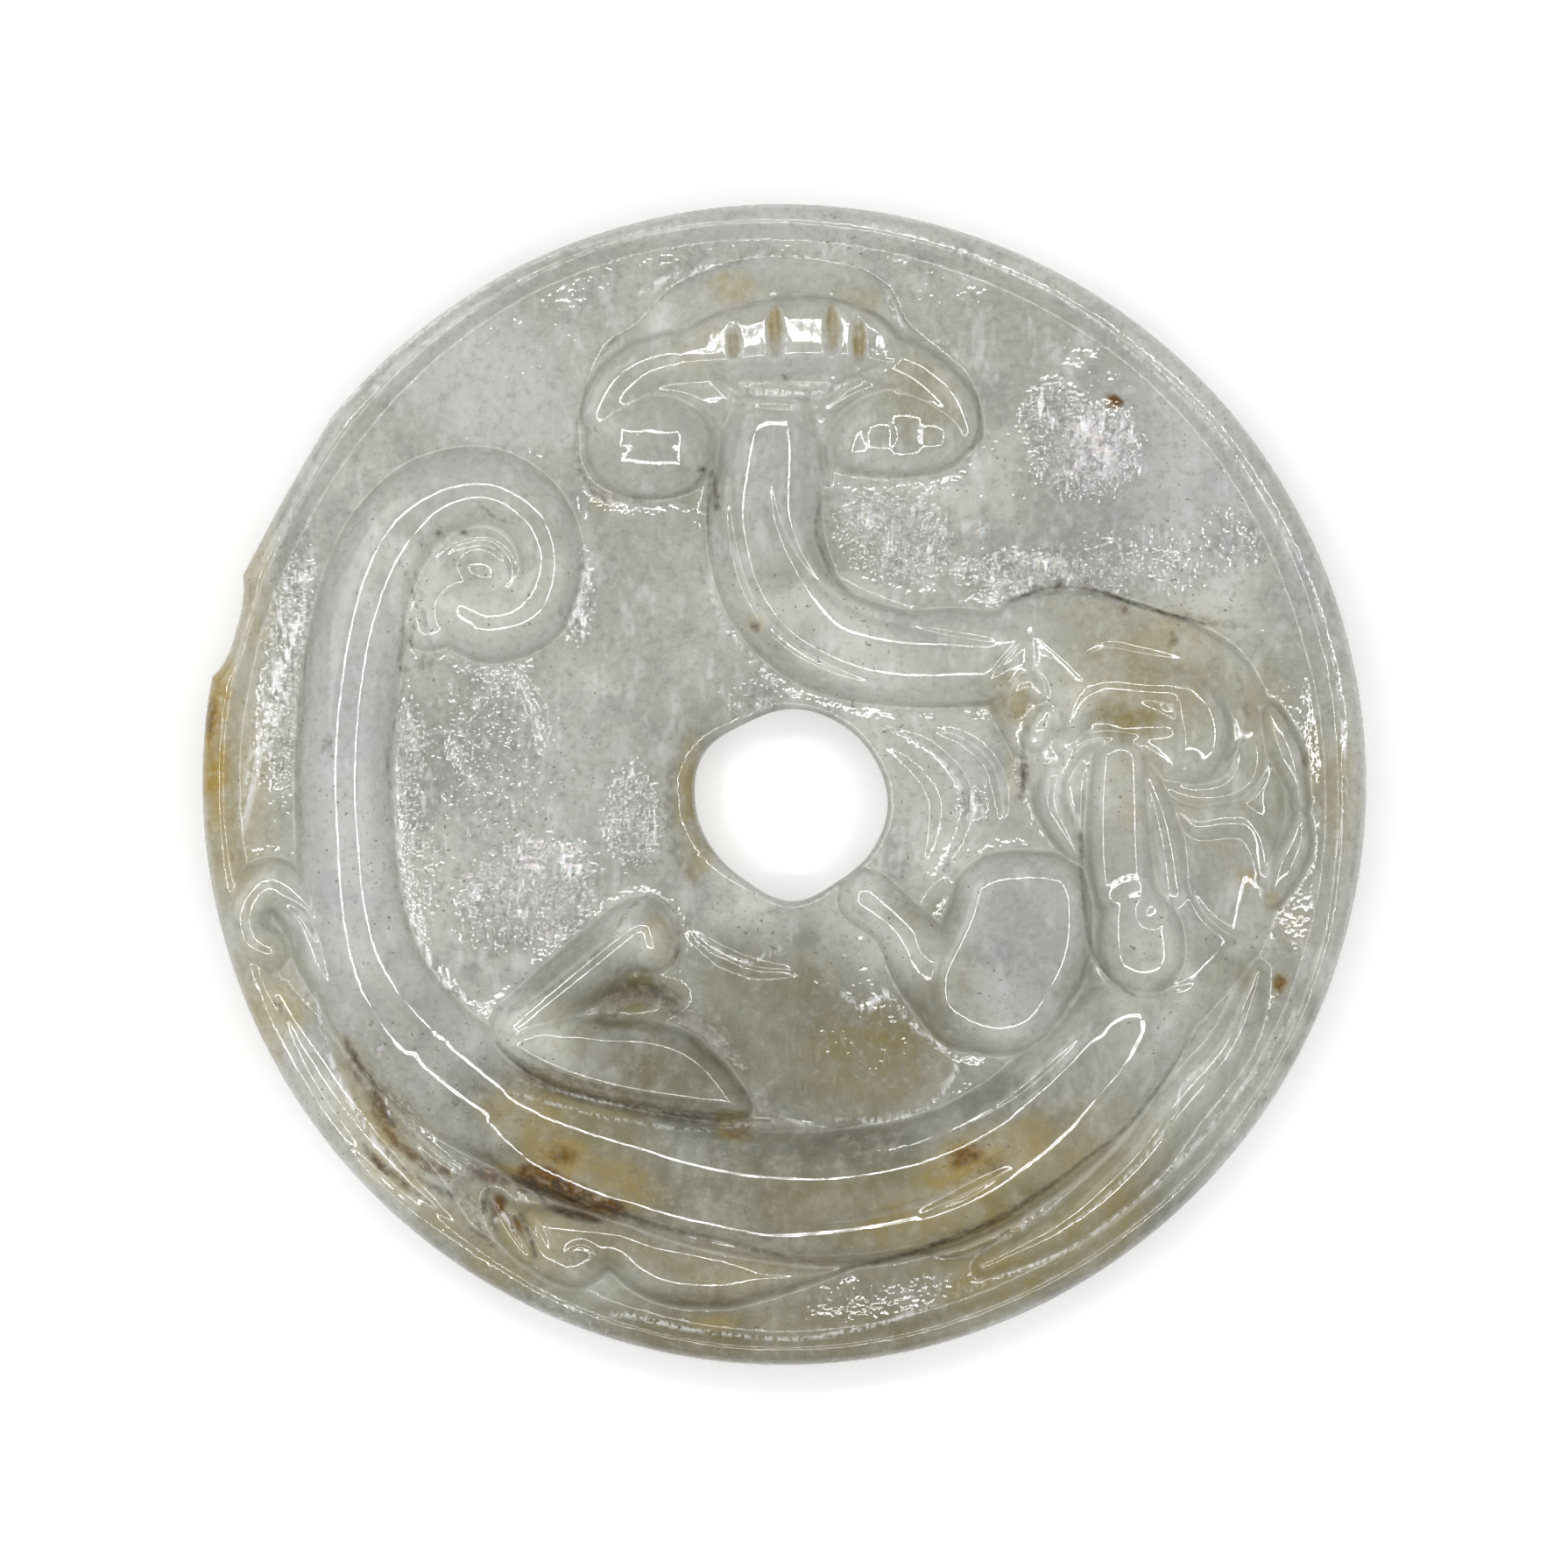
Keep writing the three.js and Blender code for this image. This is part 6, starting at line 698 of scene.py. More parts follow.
def carve():
    z = GROUND_HEIGHT + 0.05 * np.sin(GX * 0.31 + 1) * np.cos(GY * 0.27) + 0.03 * np.sin(GX * 0.7 - GY * 0.5)
    z += 0.022 * value_noise(1.7, 3) + 0.012 * value_noise(0.8, 4)
    width = RIM_WIDTH + 0.22 * np.sin(2 * THETA + 0.5) + 0.12 * np.sin(5 * THETA + 1)
    rim = RIM_HEIGHT + 0.03 * value_noise(2.6, 5)
    z += (rim - z) * smooth(np.clip((width - DISC_RADIUS + np.hypot(GX, GY)) / RIM_STEP, 0, 1))
    for form in CARVING:
        kind = form["kind"]
        if kind == "swell":
            c, s = math.cos(math.radians(form["turn"])), math.sin(math.radians(form["turn"]))
            x, y = GX - form["at"][0], GY - form["at"][1]
            u, v = (x * c + y * s) / form["reach"][0], (-x * s + y * c) / form["reach"][1]
            z += form["rise"] * smooth(np.clip(1 - u * u - v * v, 0, 1))
            continue
        moat = form.get("moat")
        if kind == "mass":
            box, depth = depth_inside(form["run"], (moat[0] if moat else 0) + 0.1)
            if moat:
                z[box] -= moat_drop(moat, -depth)
            s = np.clip(1 - depth / form["shoulder"], 0, 1)
            top = form["base"] + (form["top"] - form["base"]) * section(form, s)
            z[box] = np.where(depth > 0, soft_max(z[box], top, FILLET), z[box])
            LIMB_MASK[box] = np.maximum(LIMB_MASK[box], np.clip(depth / 0.5, 0, 1))
            continue
        box, share, height, outside, lean, side = along(form["run"], (moat[0] if moat else 0) + 0.1)
        if kind == "groove":
            z[box] -= np.where(share < 1, height * (1 - np.clip(share, 0, 1) ** 1.6), 0)
        elif kind == "ridge":
            z[box] += np.where(share < 1, height * smooth(np.clip(1 - share * share, 0, 1)), 0)
        else:
            if moat:
                z[box] -= moat_drop(moat, outside)
            top = height - (LEAN_DROP * lean + form.get("tilt", 0) * side) * np.clip(share, 0, 1) - form["base"]
            crest = form["base"] + top * section(form, share, lean)
            z[box] = np.where(share < 1, soft_max(z[box], crest, FILLET), z[box])
            LIMB_MASK[box] = np.maximum(LIMB_MASK[box], np.clip((1 - share) * 4, 0, 1))
    z = gauss(z, POLISH)
    lip = HOLE_LIP + (HOLE_LIP_LEFT - HOLE_LIP) * np.exp(-(((np.abs(HOLE_ANGLE) - math.radians(174)) / 0.62) ** 2))
    p = np.clip(1 - FROM_HOLE / lip, 0, 1)
    z -= lip * 0.8 * (1 - np.sqrt(1 - p * p))
    q = np.clip(1 - IN_FROM_EDGE / EDGE_ROUND_TOP, 0, 1)
    z -= EDGE_ROUND_TOP * 0.95 * (1 - np.sqrt(1 - q * q))
    return z


HEIGHT = carve()
# the hand-held wheel leaves the polished forms slightly uneven
HEIGHT += (0.0055 * value_noise(1.3, 31) + 0.009 * value_noise(2.8, 32)) * LIMB_MASK
CAD_TOP = START_BOUNDS[1][2] / MM
HEIGHT = np.minimum(HEIGHT - 0.022, CAD_TOP - 0.006)


def sample(field, x, y):
    u = (np.asarray(x) - AXIS[0]) / CELL
    v = (np.asarray(y) - AXIS[0]) / CELL
    i = np.clip(np.floor(u).astype(int), 0, len(AXIS) - 2)
    j = np.clip(np.floor(v).astype(int), 0, len(AXIS) - 2)
    f, g = u - i, v - j
    return (field[j, i] * (1 - f) * (1 - g) + field[j, i + 1] * f * (1 - g)
            + field[j + 1, i] * (1 - f) * g + field[j + 1, i + 1] * f * g)


# ------------------------------------------------------------------ stains, tints and painted light and shade, as soft patches
def patches(table):
    field = np.zeros(GX.shape)
    for x, y, rx, ry, turn, amount in table:
        m = max(rx, ry) * 1.05
        box = window(x - m, x + m, y - m, y + m)
        c, s = math.cos(math.radians(turn)), math.sin(math.radians(turn))
        dx, dy = GX[box] - x, GY[box] - y
        u, v = (dx * c + dy * s) / rx, (-dx * s + dy * c) / ry
        field[box] = np.maximum(field[box], amount * smooth(np.clip(1 - u * u - v * v, 0, 1)))
    return field


SECTORS = 1500
RINGS = 210
LIMIT = 188000


def build_mesh():
    theta = np.arange(SECTORS) / SECTORS * 2 * math.pi
    hr, er = hole_radius(theta), edge_radius(theta) - 0.02
    sx, sy = HOLE_CENTRE[0] + hr * np.cos(theta), HOLE_CENTRE[1] + hr * np.sin(theta)
    loops = []

    def ring(t, z, inset=0.0, grow=0.0):
        ex, ey = (er - inset) * np.cos(theta), (er - inset) * np.sin(theta)
        x = sx + (ex - sx) * t + grow * np.cos(theta)
        y = sy + (ey - sy) * t + grow * np.sin(theta)
        z = sample(HEIGHT, x, y) if z is None else np.full(SECTORS, z)
        loops.append(np.stack([x, y, z], axis=1))

    hole_steps = 12
    for k in range(hole_steps):
        ring(0, HOLE_BACK_CHAMFER + (3.9 - HOLE_BACK_CHAMFER) * k / hole_steps)
    top_hole = sample(HEIGHT, sx, sy)
    loops[-1][:, 2] = np.minimum(loops[-1][:, 2], top_hole - 0.1)
    for k in range(RINGS + 1):
        t = k / RINGS
        t = t - 0.10 * math.sin(2 * math.pi * t) / (2 * math.pi)
        ring(t, None)
    for k in range(1, 10):
        ring(1, 3.9 + (EDGE_ROUND_BACK - 3.9) * k / 9)
    top_edge = loops[hole_steps + RINGS][:, 2]
    loops[hole_steps + RINGS + 1][:, 2] = np.minimum(loops[hole_steps + RINGS + 1][:, 2], top_edge - 0.1)
    for k in range(1, 8):
        a = math.radians(90 * k / 7)
        ring(1, EDGE_ROUND_BACK * (1 - math.sin(a)), EDGE_ROUND_BACK * (1 - math.cos(a)))
    for t in np.linspace(0.94, 0.06, 14):
        ring(t, 0.0, EDGE_ROUND_BACK * float(t))
    for k in range(4):
        ring(0, HOLE_BACK_CHAMFER * 0.30 * k / 4 if k else 0.0, 0, HOLE_BACK_CHAMFER * (1 - k / 4))
    n = len(loops)
    co = np.concatenate(loops) * MM
    i = np.arange(SECTORS)
    faces = []
    for r in range(n):
        a, b = r * SECTORS, ((r + 1) % n) * SECTORS
        faces.append(np.stack([a + i, b + i, b + (i + 1) % SECTORS, a + (i + 1) % SECTORS], axis=1))
    faces = np.concatenate(faces)
    return co, faces


def mesh_from(name, co, faces):
    me = bpy.data.meshes.new(name)
    me.vertices.add(len(co))
    me.vertices.foreach_set("co", co.astype(np.float32).ravel())
    k = faces.shape[1]
    me.loops.add(faces.size)
    me.loops.foreach_set("vertex_index", faces.astype(np.int32).ravel())
    me.polygons.add(len(faces))
    me.polygons.foreach_set("loop_start", np.arange(0, faces.size, k, dtype=np.int32))
    me.update(calc_edges=True)
    me.validate()
    return me


co, faces = build_mesh()
# outward faces: the ring order decides it once for all
a, b, c = co[faces[:, 0]], co[faces[:, 1]], co[faces[:, 2]]
d = co[faces[:, 3]]
volume = np.einsum("ij,ij->i", a, np.cross(b, c)).sum() + np.einsum("ij,ij->i", a, np.cross(c, d)).sum()
if volume < 0:
    faces = faces[:, ::-1]
fine = mesh_from("disc_fine", co, faces)
fine_obj = bpy.data.objects.new("disc_fine", fine)
bpy.context.scene.collection.objects.link(fine_obj)
fine.shade_smooth()
normals = np.empty(len(fine.vertices) * 3, np.float32)
fine.vertex_normals.foreach_get("vector", normals)
normals = normals.reshape(-1, 3)

mod = fine_obj.modifiers.new("thin", "DECIMATE")
mod.ratio = LIMIT / (2 * len(faces))
mod.use_collapse_triangulate = True
deps = bpy.context.evaluated_depsgraph_get()
thin = bpy.data.meshes.new_from_object(fine_obj.evaluated_get(deps))
thin.name = "disc_carved"
bpy.data.objects.remove(fine_obj, do_unlink=True)
bpy.data.meshes.remove(fine)

tree = kdtree.KDTree(len(co))
for index, point in enumerate(co):
    tree.insert(point, index)
tree.balance()
nv = len(thin.vertices)
pos = np.empty(nv * 3, np.float32)
thin.vertices.foreach_get("co", pos)
pos = pos.reshape(-1, 3)
own = np.empty(nv * 3, np.float32)
thin.vertex_normals.foreach_get("vector", own)
own = own.reshape(-1, 3)
shade = np.empty((nv, 3))
for v in range(nv):
    acc = np.zeros(3)
    for _, index, dist in tree.find_n(pos[v], 3):
        acc += normals[index] / (dist + 1e-5)
    shade[v] = acc / (np.linalg.norm(acc) + 1e-12)
shade = np.where((np.einsum("ij,ij->i", shade, own) > 0.5)[:, None], shade, own)
thin.shade_smooth()
thin.normals_split_custom_set_from_vertices(shade.tolist())

disc = bpy.data.objects.new("disc_jade", thin)
bpy.context.scene.collection.objects.link(disc)


# ------------------------------------------------------------------ masks carried by the vertices
wide = gauss(HEIGHT, 9)
near = gauss(HEIGHT, 2.5)
# painted shade mask: broad recesses, darkened in the stone colour
recess_shade = np.clip((wide - HEIGHT) / 0.30, 0, 1)
# crease mask: tight creases, darkened in the stone colour as painted shade and for the dirt held there; it also
# roughens them
crease = np.clip((near - HEIGHT - 0.004) / 0.05, 0, 1)
# flank mask: steep sides, painted lighter in the stone colour
rise_y, rise_x = np.gradient(gauss(HEIGHT, 1.5), CELL)
flank = np.clip(np.hypot(rise_x, rise_y) / 1.3, 0, 1)
dirt = np.zeros(GX.shape)
for line in DIRT_LINES:
    box, share, height, outside, lean, side = along(line, 0.05)
    dirt[box] = np.maximum(dirt[box], np.where(share < 1, height * (1 - share ** 2), 0))
pale_strokes = np.zeros(GX.shape)
for line in PALE_LINES:
    box, share, height, outside, lean, side = along(line, 0.05)
    pale_strokes[box] = np.maximum(pale_strokes[box], np.where(share < 1, height * (1 - share ** 2), 0))
for x, y, r in SPECKS:
    dirt = np.maximum(dirt, np.clip(1.4 - np.hypot(GX - x, GY - y) / r, 0, 1))
cloud_field = 0.5 + 0.5 * (0.62 * value_noise(5.5, 21) + 0.40 * value_noise(2.9, 22) + 0.24 * value_noise(1.5, 23))
MASKS = {
    "ochre": patches(OCHRE), "rust": patches(RUST), "olive": patches(OLIVE), "blue": patches(BLUE),
    "green": patches(GREEN), "grey": patches(GREY), "shadow": patches(DARK), "bright": pale_strokes, "glint": patches(GLINT_PATCHES), "warm": patches(WARM), "flank": flank,
    "pale": patches(PALE),
    "rough": np.clip(patches(ROUGH) + 0.16 * (1 - LIMB_MASK), 0, 1) * (1 - 0.85 * LIMB_MASK),
    "crease": crease, "recess_shade": recess_shade, "dirt": dirt, "cloud": cloud_field,
}
x_mm, y_mm, z_mm = pos[:, 0] / MM, pos[:, 1] / MM, pos[:, 2] / MM
below = np.clip((3.9 - z_mm) / 3.0, 0, 1)         # how far down the wall or on the back a point lies
on_back = np.clip(-own[:, 2] * 2 - 0.4, 0, 1)
for name, field in MASKS.items():
    values = sample(field, x_mm, y_mm)
    if name in ("crease", "recess_shade", "dirt", "bright", "glint", "flank"):
        values = values * (1 - below)
    elif name == "rough":
        values = values * (1 - below) + 0.12 * on_back
    elif name != "cloud":
        values = values * (1 - 0.35 * below - 0.35 * on_back)
    layer = thin.attributes.new(name, "FLOAT", "POINT")
    layer.data.foreach_set("value", values.astype(np.float32))

# ------------------------------------------------------------------ the stone
jade = bpy.data.materials.new("jade")
jade.use_nodes = True
nodes, links = jade.node_tree.nodes, jade.node_tree.links
nodes.clear()
out = nodes.new("ShaderNodeOutputMaterial")
bsdf = nodes.new("ShaderNodeBsdfPrincipled")
links.new(bsdf.outputs["BSDF"], out.inputs["Surface"])
texco = nodes.new("ShaderNodeTexCoord")


def attr(name):
    node = nodes.new("ShaderNodeAttribute")
    node.attribute_name = name
    return node.outputs["Fac"]


def noise(scale, detail=3.0, rough=0.5, distortion=0.0, squash=None):
    node = nodes.new("ShaderNodeTexNoise")
    node.inputs["Scale"].default_value = scale
    node.inputs["Detail"].default_value = detail
    node.inputs["Roughness"].default_value = rough
    node.inputs["Distortion"].default_value = distortion
    if squash:
        mapping = nodes.new("ShaderNodeMapping")
        mapping.inputs["Scale"].default_value = squash[0]
        mapping.inputs["Rotation"].default_value = (0, 0, math.radians(squash[1]))
        links.new(texco.outputs["Object"], mapping.inputs["Vector"])
        links.new(mapping.outputs["Vector"], node.inputs["Vector"])
    else:
        links.new(texco.outputs["Object"], node.inputs["Vector"])
    return node.outputs["Fac"]


def math_node(op, a, b=None, clamp=False):
    node = nodes.new("ShaderNodeMath")
    node.operation = op
    node.use_clamp = clamp
    for socket, value in zip(node.inputs, (a, b)):
        if value is None:
            continue
        if isinstance(value, (int, float)):
            socket.default_value = value
        else:
            links.new(value, socket)
    return node.outputs[0]


def ramp(value, low, high, to_low=0.0, to_high=1.0):
    node = nodes.new("ShaderNodeMapRange")
    node.clamp = True
    links.new(value, node.inputs["Value"])
    node.inputs["From Min"].default_value = low
    node.inputs["From Max"].default_value = high
    node.inputs["To Min"].default_value = to_low
    node.inputs["To Max"].default_value = to_high
    return node.outputs["Result"]


def srgb(r, g, b):
    return tuple((v / 255 / 12.92) if v / 255 <= 0.04045 else ((v / 255 + 0.055) / 1.055) ** 2.4 for v in (r, g, b)) + (1.0,)


def mix(base, colour, factor, blend="MIX"):
    node = nodes.new("ShaderNodeMix")
    node.data_type = "RGBA"
    node.blend_type = blend
    if isinstance(factor, (int, float)):
        node.inputs[0].default_value = factor
    else:
        links.new(factor, node.inputs[0])
    for socket, value in ((node.inputs[6], base), (node.inputs[7], colour)):
        if isinstance(value, tuple):
            socket.default_value = value
        else:
            links.new(value, socket)
    return node.outputs[2]


cloud = attr("cloud")
rough_area = attr("rough")
veil = noise(330, 2, 0.62)
fine_cloud = noise(760, 2, 0.62)
fibre = noise(1000, 2, 0.65, 0.0, ((1.0, 0.45, 1.0), 35))
grain = noise(2600, 2, 0.65)
speck = noise(4200, 1, 0.5)
mottle = noise(1500, 2, 0.70)
cells = nodes.new("ShaderNodeTexVoronoi")
cells.inputs["Scale"].default_value = 4300
links.new(texco.outputs["Object"], cells.inputs["Vector"])
split_cell = nodes.new("ShaderNodeSeparateColor")
links.new(cells.outputs["Color"], split_cell.inputs["Color"])
scratch_a = noise(3000, 1, 0.6, 0.0, ((1.0, 0.22, 1.0), 28))
scratch_b = noise(3300, 1, 0.6, 0.0, ((1.0, 0.26, 1.0), -48))
scratch = math_node("MAXIMUM", scratch_a, scratch_b)

colour = mix(srgb(171, 173, 163), srgb(204, 205, 195), ramp(cloud, 0.30, 0.72))
colour = mix(colour, srgb(150, 155, 149), math_node("MULTIPLY", ramp(veil, 0.50, 0.68), 0.70))
colour = mix(colour, srgb(220, 221, 218), math_node("MULTIPLY", ramp(fibre, 0.53, 0.70), 0.62))
colour = mix(colour, srgb(174, 183, 170), math_node("MULTIPLY", attr("green"), 0.7))
colour = mix(colour, srgb(180, 184, 190), math_node("MULTIPLY", attr("blue"), 0.42))
# painted light: the pale patches lighten the upper left and the cap as if more strongly lit, and mark paler stone
# elsewhere
colour = mix(colour, srgb(208, 211, 206), math_node("MULTIPLY", attr("pale"), 0.75))
colour = mix(colour, srgb(146, 147, 138), math_node("MULTIPLY", attr("grey"), 0.75))
# painted shade: the shadow patches darken the lower disc, together with its darker stone
colour = mix(colour, srgb(107, 103, 84), math_node("MULTIPLY", attr("shadow"), ramp(veil, 0.35, 0.65, 0.72, 1.05), clamp=True))
# painted light: steep sides lightened, standing in for the glow through the translucent stone and the bright
# surroundings; left off where the shadow patches lie
colour = mix(colour, srgb(196, 199, 194), math_node("MULTIPLY", math_node("MULTIPLY", attr("flank"), ramp(attr("shadow"), 0.1, 0.6, 1.0, 0.0)), 0.55))
colour = mix(colour, srgb(88, 82, 60), math_node("MULTIPLY", math_node("MULTIPLY", attr("shadow"), ramp(mottle, 0.50, 0.64)), 0.32))
colour = mix(colour, srgb(176, 173, 158), math_node("MULTIPLY", math_node("MULTIPLY", attr("shadow"), ramp(mottle, 0.47, 0.34)), 0.40))
colour = mix(colour, srgb(186, 166, 104), math_node("MULTIPLY", attr("warm"), 0.50))
colour = mix(colour, srgb(132, 134, 128), math_node("MULTIPLY", rough_area, 0.62))
stain_edge = math_node("ADD", math_node("MULTIPLY", fine_cloud, 0.7), math_node("MULTIPLY", veil, 0.5))


def stain(base, name, tone, gain, wobble=1.0, power=1.0):
    m = math_node("MULTIPLY", attr(name), ramp(stain_edge, 0.50, 0.69, 1 - 0.85 * wobble, 1.25))
    if power != 1.0:
        m = math_node("POWER", m, power)
    return mix(base, tone, math_node("MULTIPLY", m, gain, clamp=True))


colour = stain(colour, "olive", srgb(119, 110, 66), 0.85, 0.6)
colour = stain(colour, "ochre", srgb(166, 140, 66), 0.80, 0.60)
colour = stain(colour, "rust", srgb(106, 72, 10), 1.7, 0.7)
colour = mix(colour, srgb(52, 32, 8), math_node("MULTIPLY", math_node("MULTIPLY", attr("rust"), ramp(grain, 0.48, 0.58)), 0.9))
# grains: pale flecks and darker ones all through the stone, stronger where it was left unpolished
lit = ramp(attr("shadow"), 0.0, 1.0, 1.0, 0.45)
cluster = math_node("MULTIPLY", ramp(fine_cloud, 0.47, 0.60, 0.12, 1.0), lit)
colour = mix(colour, srgb(126, 127, 119), math_node("MULTIPLY", ramp(grain, 0.53, 0.68), ramp(rough_area, 0.0, 0.8, 0.24, 0.62)))
colour = mix(colour, srgb(226, 227, 225), math_node("MULTIPLY", math_node("MULTIPLY", ramp(grain, 0.46, 0.34), lit), ramp(rough_area, 0.0, 0.8, 0.13, 0.24)))
colour = mix(colour, srgb(240, 241, 240), math_node("MULTIPLY", math_node("MULTIPLY", ramp(scratch, 0.60, 0.70), cluster), ramp(rough_area, 0.20, 0.8, 0.05, 0.95)))
# painted shade: tight creases darkened, standing in also for the dirt held in them
colour = mix(colour, srgb(122, 116, 98), math_node("MULTIPLY", math_node("MULTIPLY", attr("crease"), ramp(fine_cloud, 0.35, 0.65, 0.2, 1.0)), 0.42))
# painted shade: broad recesses darkened
colour = mix(colour, srgb(157, 158, 149), math_node("MULTIPLY", attr("recess_shade"), 0.22))
colour = mix(colour, srgb(58, 46, 24), math_node("MULTIPLY", attr("dirt"), ramp(grain, 0.35, 0.62, 0.35, 0.95)))
# pale scratched strokes, and painted highlights along the collar's top edges
colour = mix(colour, srgb(246, 247, 246), math_node("MULTIPLY", math_node("MULTIPLY", attr("bright"), ramp(math_node("MAXIMUM", speck, scratch), 0.53, 0.62)), 0.95))
colour = mix(colour, srgb(92, 88, 68), math_node("MULTIPLY", math_node("MULTIPLY", ramp(grain, 0.44, 0.34), math_node("MULTIPLY", ramp(attr("shadow"), 0.1, 0.7), ramp(fine_cloud, 0.46, 0.60))), 0.40))
# painted glints: white cell facets, faintly coloured, where the lamps catch polished pits
glint_colour = mix(srgb(250, 251, 250), cells.outputs["Color"], 0.22, "MULTIPLY")
glint_facets = math_node("MULTIPLY", ramp(split_cell.outputs[0], 0.42, 0.48), ramp(fine_cloud, 0.38, 0.48))
colour = mix(colour, glint_colour, math_node("MULTIPLY", math_node("MULTIPLY", attr("glint"), glint_facets), 0.95))
dark_speck = math_node("MULTIPLY", ramp(speck, 0.30, 0.26), ramp(cloud, 0.45, 0.6))
colour = mix(colour, srgb(104, 96, 78), math_node("MULTIPLY", dark_speck, 0.7))
links.new(colour, bsdf.inputs["Base Color"])

roughness = math_node("ADD", 0.045, math_node("MULTIPLY", rough_area, 0.09))
roughness = math_node("ADD", roughness, math_node("MULTIPLY", math_node("MAXIMUM", attr("crease"), attr("dirt")), 0.50), clamp=True)
links.new(roughness, bsdf.inputs["Roughness"])
bsdf.inputs["IOR"].default_value = 1.66
bsdf.subsurface_method = "BURLEY"
bsdf.inputs["Subsurface Weight"].default_value = 0.32
bsdf.inputs["Subsurface Radius"].default_value = (1.0, 1.0, 0.85)
bsdf.inputs["Subsurface Scale"].default_value = 0.0012

bump = nodes.new("ShaderNodeBump")
bump.inputs["Strength"].default_value = 1.0
bump.inputs["Distance"].default_value = 0.00013
pits = math_node("MULTIPLY", math_node("ADD", 0.010, rough_area), noise(2800, 1, 0.7))
links.new(pits, bump.inputs["Height"])
links.new(bump.outputs["Normal"], bsdf.inputs["Normal"])

thin.materials.append(jade)
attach(disc, "root")
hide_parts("disc")

# ------------------------------------------------------------------ floor, light, camera
floor_mesh = mesh_from("floor", np.array([(-1.2, -1.2, 0), (1.2, -1.2, 0), (1.2, 1.2, 0), (-1.2, 1.2, 0)], float), np.array([[0, 1, 2, 3]]))
floor = bpy.data.objects.new("floor", floor_mesh)
bpy.context.scene.collection.objects.link(floor)
paper = bpy.data.materials.new("paper")
paper.use_nodes = True
pb = paper.node_tree.nodes["Principled BSDF"]
pb.inputs["Base Color"].default_value = (0.93, 0.93, 0.93, 1)
pb.inputs["Roughness"].default_value = 0.9
pb.inputs["Emission Color"].default_value = (1, 1, 1, 1)
pb.inputs["Emission Strength"].default_value = 0.22
pb.inputs["Specular IOR Level"].default_value = 0.1
floor_mesh.materials.append(paper)


def area(name, at, size_x, size_y, watts, aim=(0, 0, 0), colour=(1, 1, 1)):
    light = bpy.data.lights.new(name, "AREA")
    light.shape = "RECTANGLE"
    light.size, light.size_y = size_x, size_y
    light.energy = watts
    light.color = colour
    ob = bpy.data.objects.new(name, light)
    ob.location = at
    ob.rotation_euler = (Vector(aim) - Vector(at)).to_track_quat("-Z", "Y").to_euler()
    bpy.context.scene.collection.objects.link(ob)
    return ob


# the lamp over the table: a rectangular ring of bars, each a double row of beads
LAMP_HEIGHT = 0.30
HALF_X, HALF_Y = 0.115, 0.092
BAR_WIDTH, BEAD_PITCH = 0.0225, 0.0115
BAR_LIGHT = 12.0             # mean brightness of a bar against white paper at 1


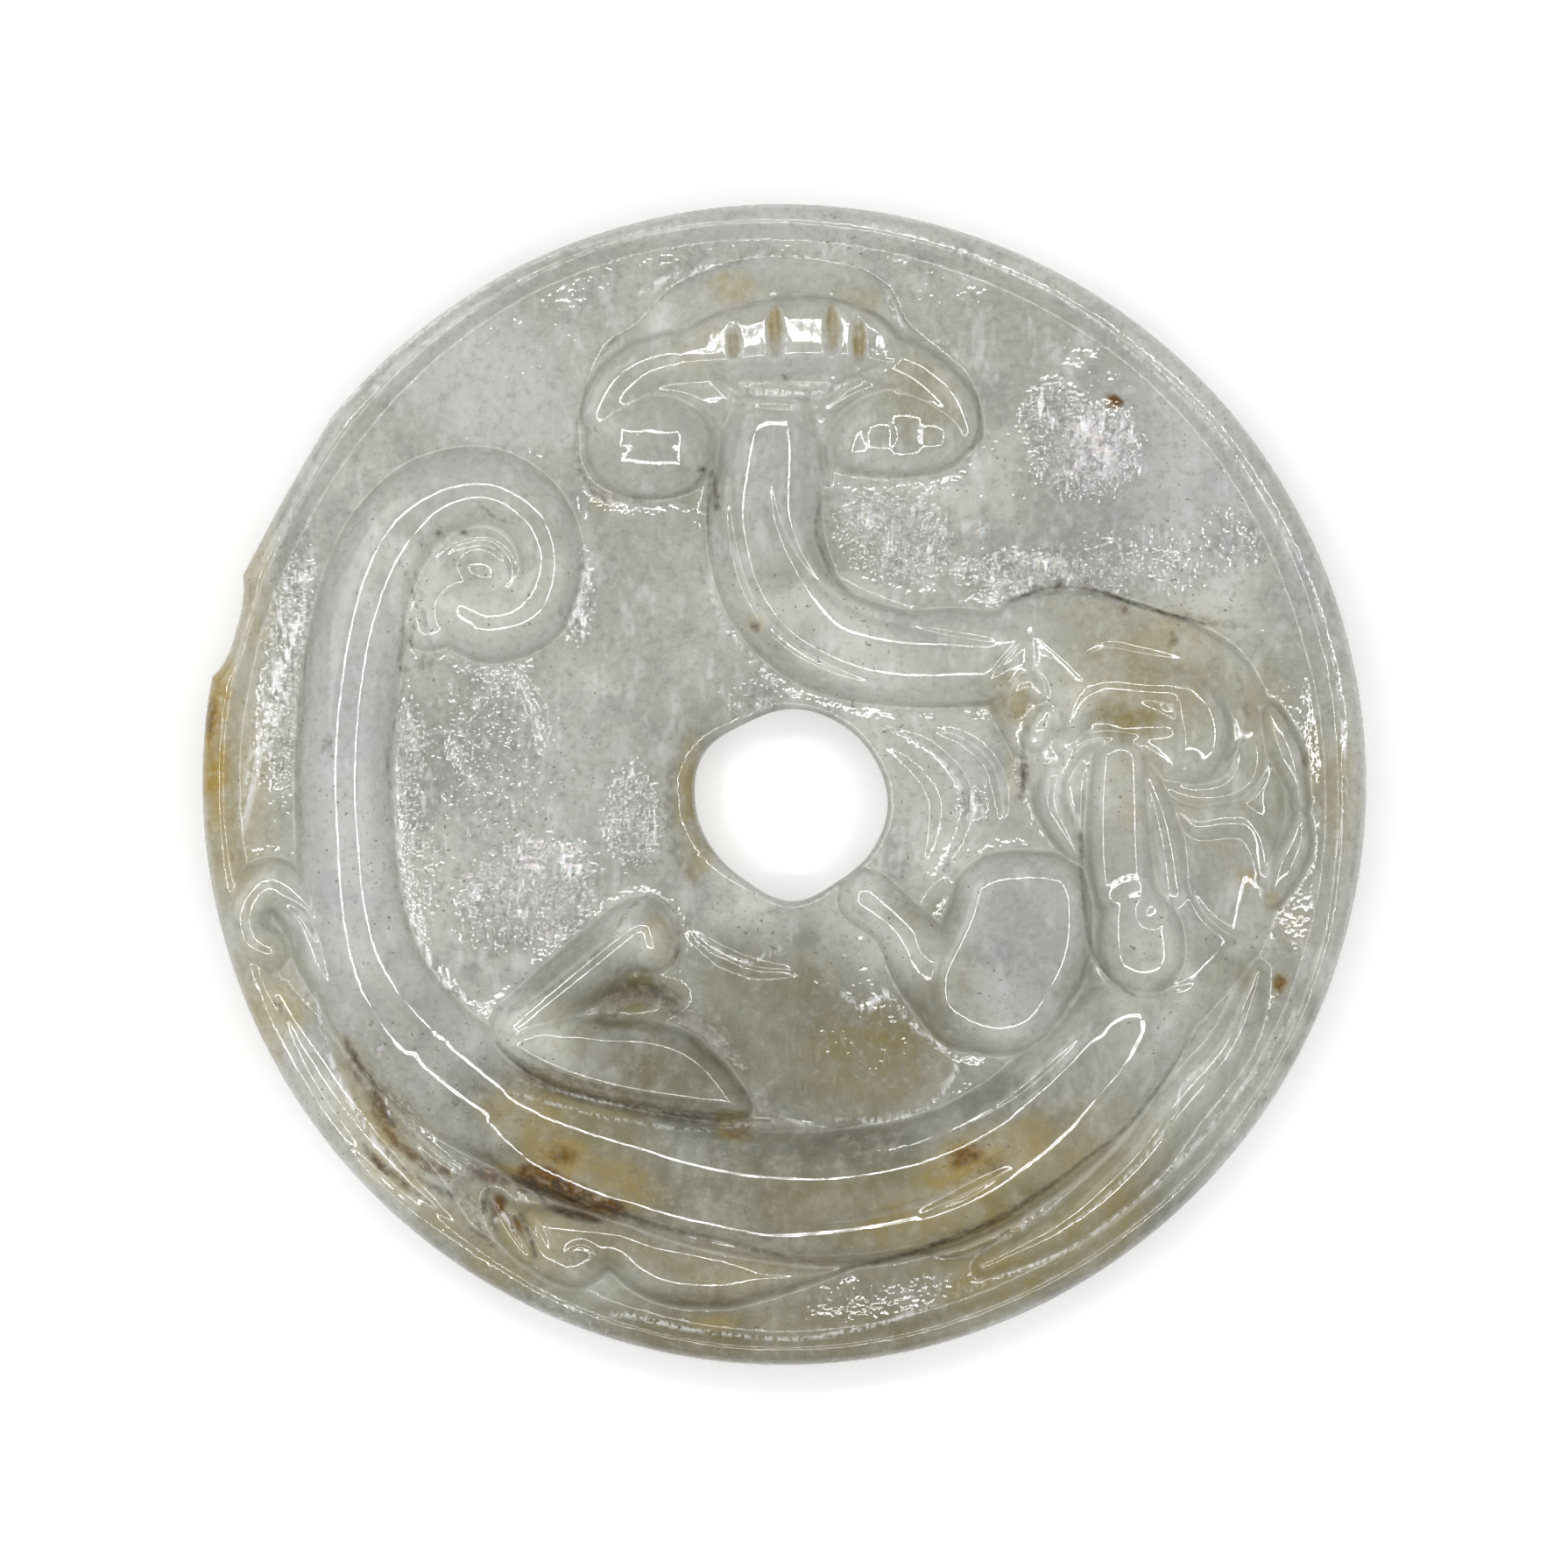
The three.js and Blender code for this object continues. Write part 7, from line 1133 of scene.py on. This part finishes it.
def bar_light(name, length):
    light = bpy.data.lights.new(name, "AREA")
    light.shape = "RECTANGLE"
    light.size, light.size_y = length, BAR_WIDTH
    light.energy = BAR_LIGHT * math.pi * length * BAR_WIDTH
    light.use_nodes = True
    tree_nodes, tree_links = light.node_tree.nodes, light.node_tree.links
    emission = tree_nodes["Emission"]
    place = tree_nodes.new("ShaderNodeNewGeometry")
    split = tree_nodes.new("ShaderNodeSeparateXYZ")
    tree_links.new(place.outputs["Parametric"], split.inputs[0])
    factor = None
    for axis, count, low, high in (("X", round(length / BEAD_PITCH), 0.35, 1.9), ("Y", 2, 0.1, 1.7)):
        wave = tree_nodes.new("ShaderNodeMath")
        wave.operation = "MULTIPLY"
        wave.inputs[1].default_value = count * 2 * math.pi
        tree_links.new(split.outputs[axis], wave.inputs[0])
        cosine = tree_nodes.new("ShaderNodeMath")
        cosine.operation = "COSINE"
        tree_links.new(wave.outputs[0], cosine.inputs[0])
        level = tree_nodes.new("ShaderNodeMapRange")
        level.clamp = True
        level.inputs["From Min"].default_value = 0.6
        level.inputs["From Max"].default_value = -0.5
        level.inputs["To Min"].default_value = low
        level.inputs["To Max"].default_value = high
        tree_links.new(cosine.outputs[0], level.inputs["Value"])
        if factor is None:
            factor = level.outputs["Result"]
        else:
            times = tree_nodes.new("ShaderNodeMath")
            times.operation = "MULTIPLY"
            tree_links.new(factor, times.inputs[0])
            tree_links.new(level.outputs["Result"], times.inputs[1])
            factor = times.outputs[0]
    tree_links.new(factor, emission.inputs["Strength"])
    return light


LONG_BAR, SHORT_BAR = bar_light("long_bar", 2 * HALF_X), bar_light("short_bar", 2 * (HALF_Y - 0.02))
for name, light, at, turn in (("north", LONG_BAR, (0, HALF_Y), 0), ("south", LONG_BAR, (0, -HALF_Y), 0),
                              ("east", SHORT_BAR, (HALF_X, 0), 90), ("west", SHORT_BAR, (-HALF_X, 0), 90)):
    ob = bpy.data.objects.new(name + "_bar", light)
    ob.location = (at[0], at[1], LAMP_HEIGHT)
    ob.rotation_euler = (0, 0, math.radians(turn))
    bpy.context.scene.collection.objects.link(ob)
area("soft_left", (-0.35, 0.20, 0.35), 0.30, 0.30, 0.34)
area("soft_right", (0.38, -0.10, 0.40), 0.30, 0.30, 0.15)

world = bpy.data.worlds.new("tent")
bpy.context.scene.world = world
world.use_nodes = True
world.node_tree.nodes["Background"].inputs["Color"].default_value = (1.0, 1.0, 0.995, 1)
world.node_tree.nodes["Background"].inputs["Strength"].default_value = 0.33

cam_data = bpy.data.cameras.new("camera")
cam = bpy.data.objects.new("camera", cam_data)
bpy.context.scene.collection.objects.link(cam)
CAMERA_HEIGHT = 0.42
cam.location = (0.0, 0.0, CAMERA_HEIGHT)
cam.rotation_euler = (0, 0, 0)
cam_data.sensor_width = 36
cam_data.lens = 36 * (CAMERA_HEIGHT - 0.0045) / 0.0741
cam_data.clip_start = 0.01
cam_data.clip_end = 5
bpy.context.scene.camera = cam

scene = bpy.context.scene
scene.view_settings.view_transform = "Standard"
scene.view_settings.look = "None"
scene.view_settings.exposure = 0.0
scene.view_settings.gamma = 1.0
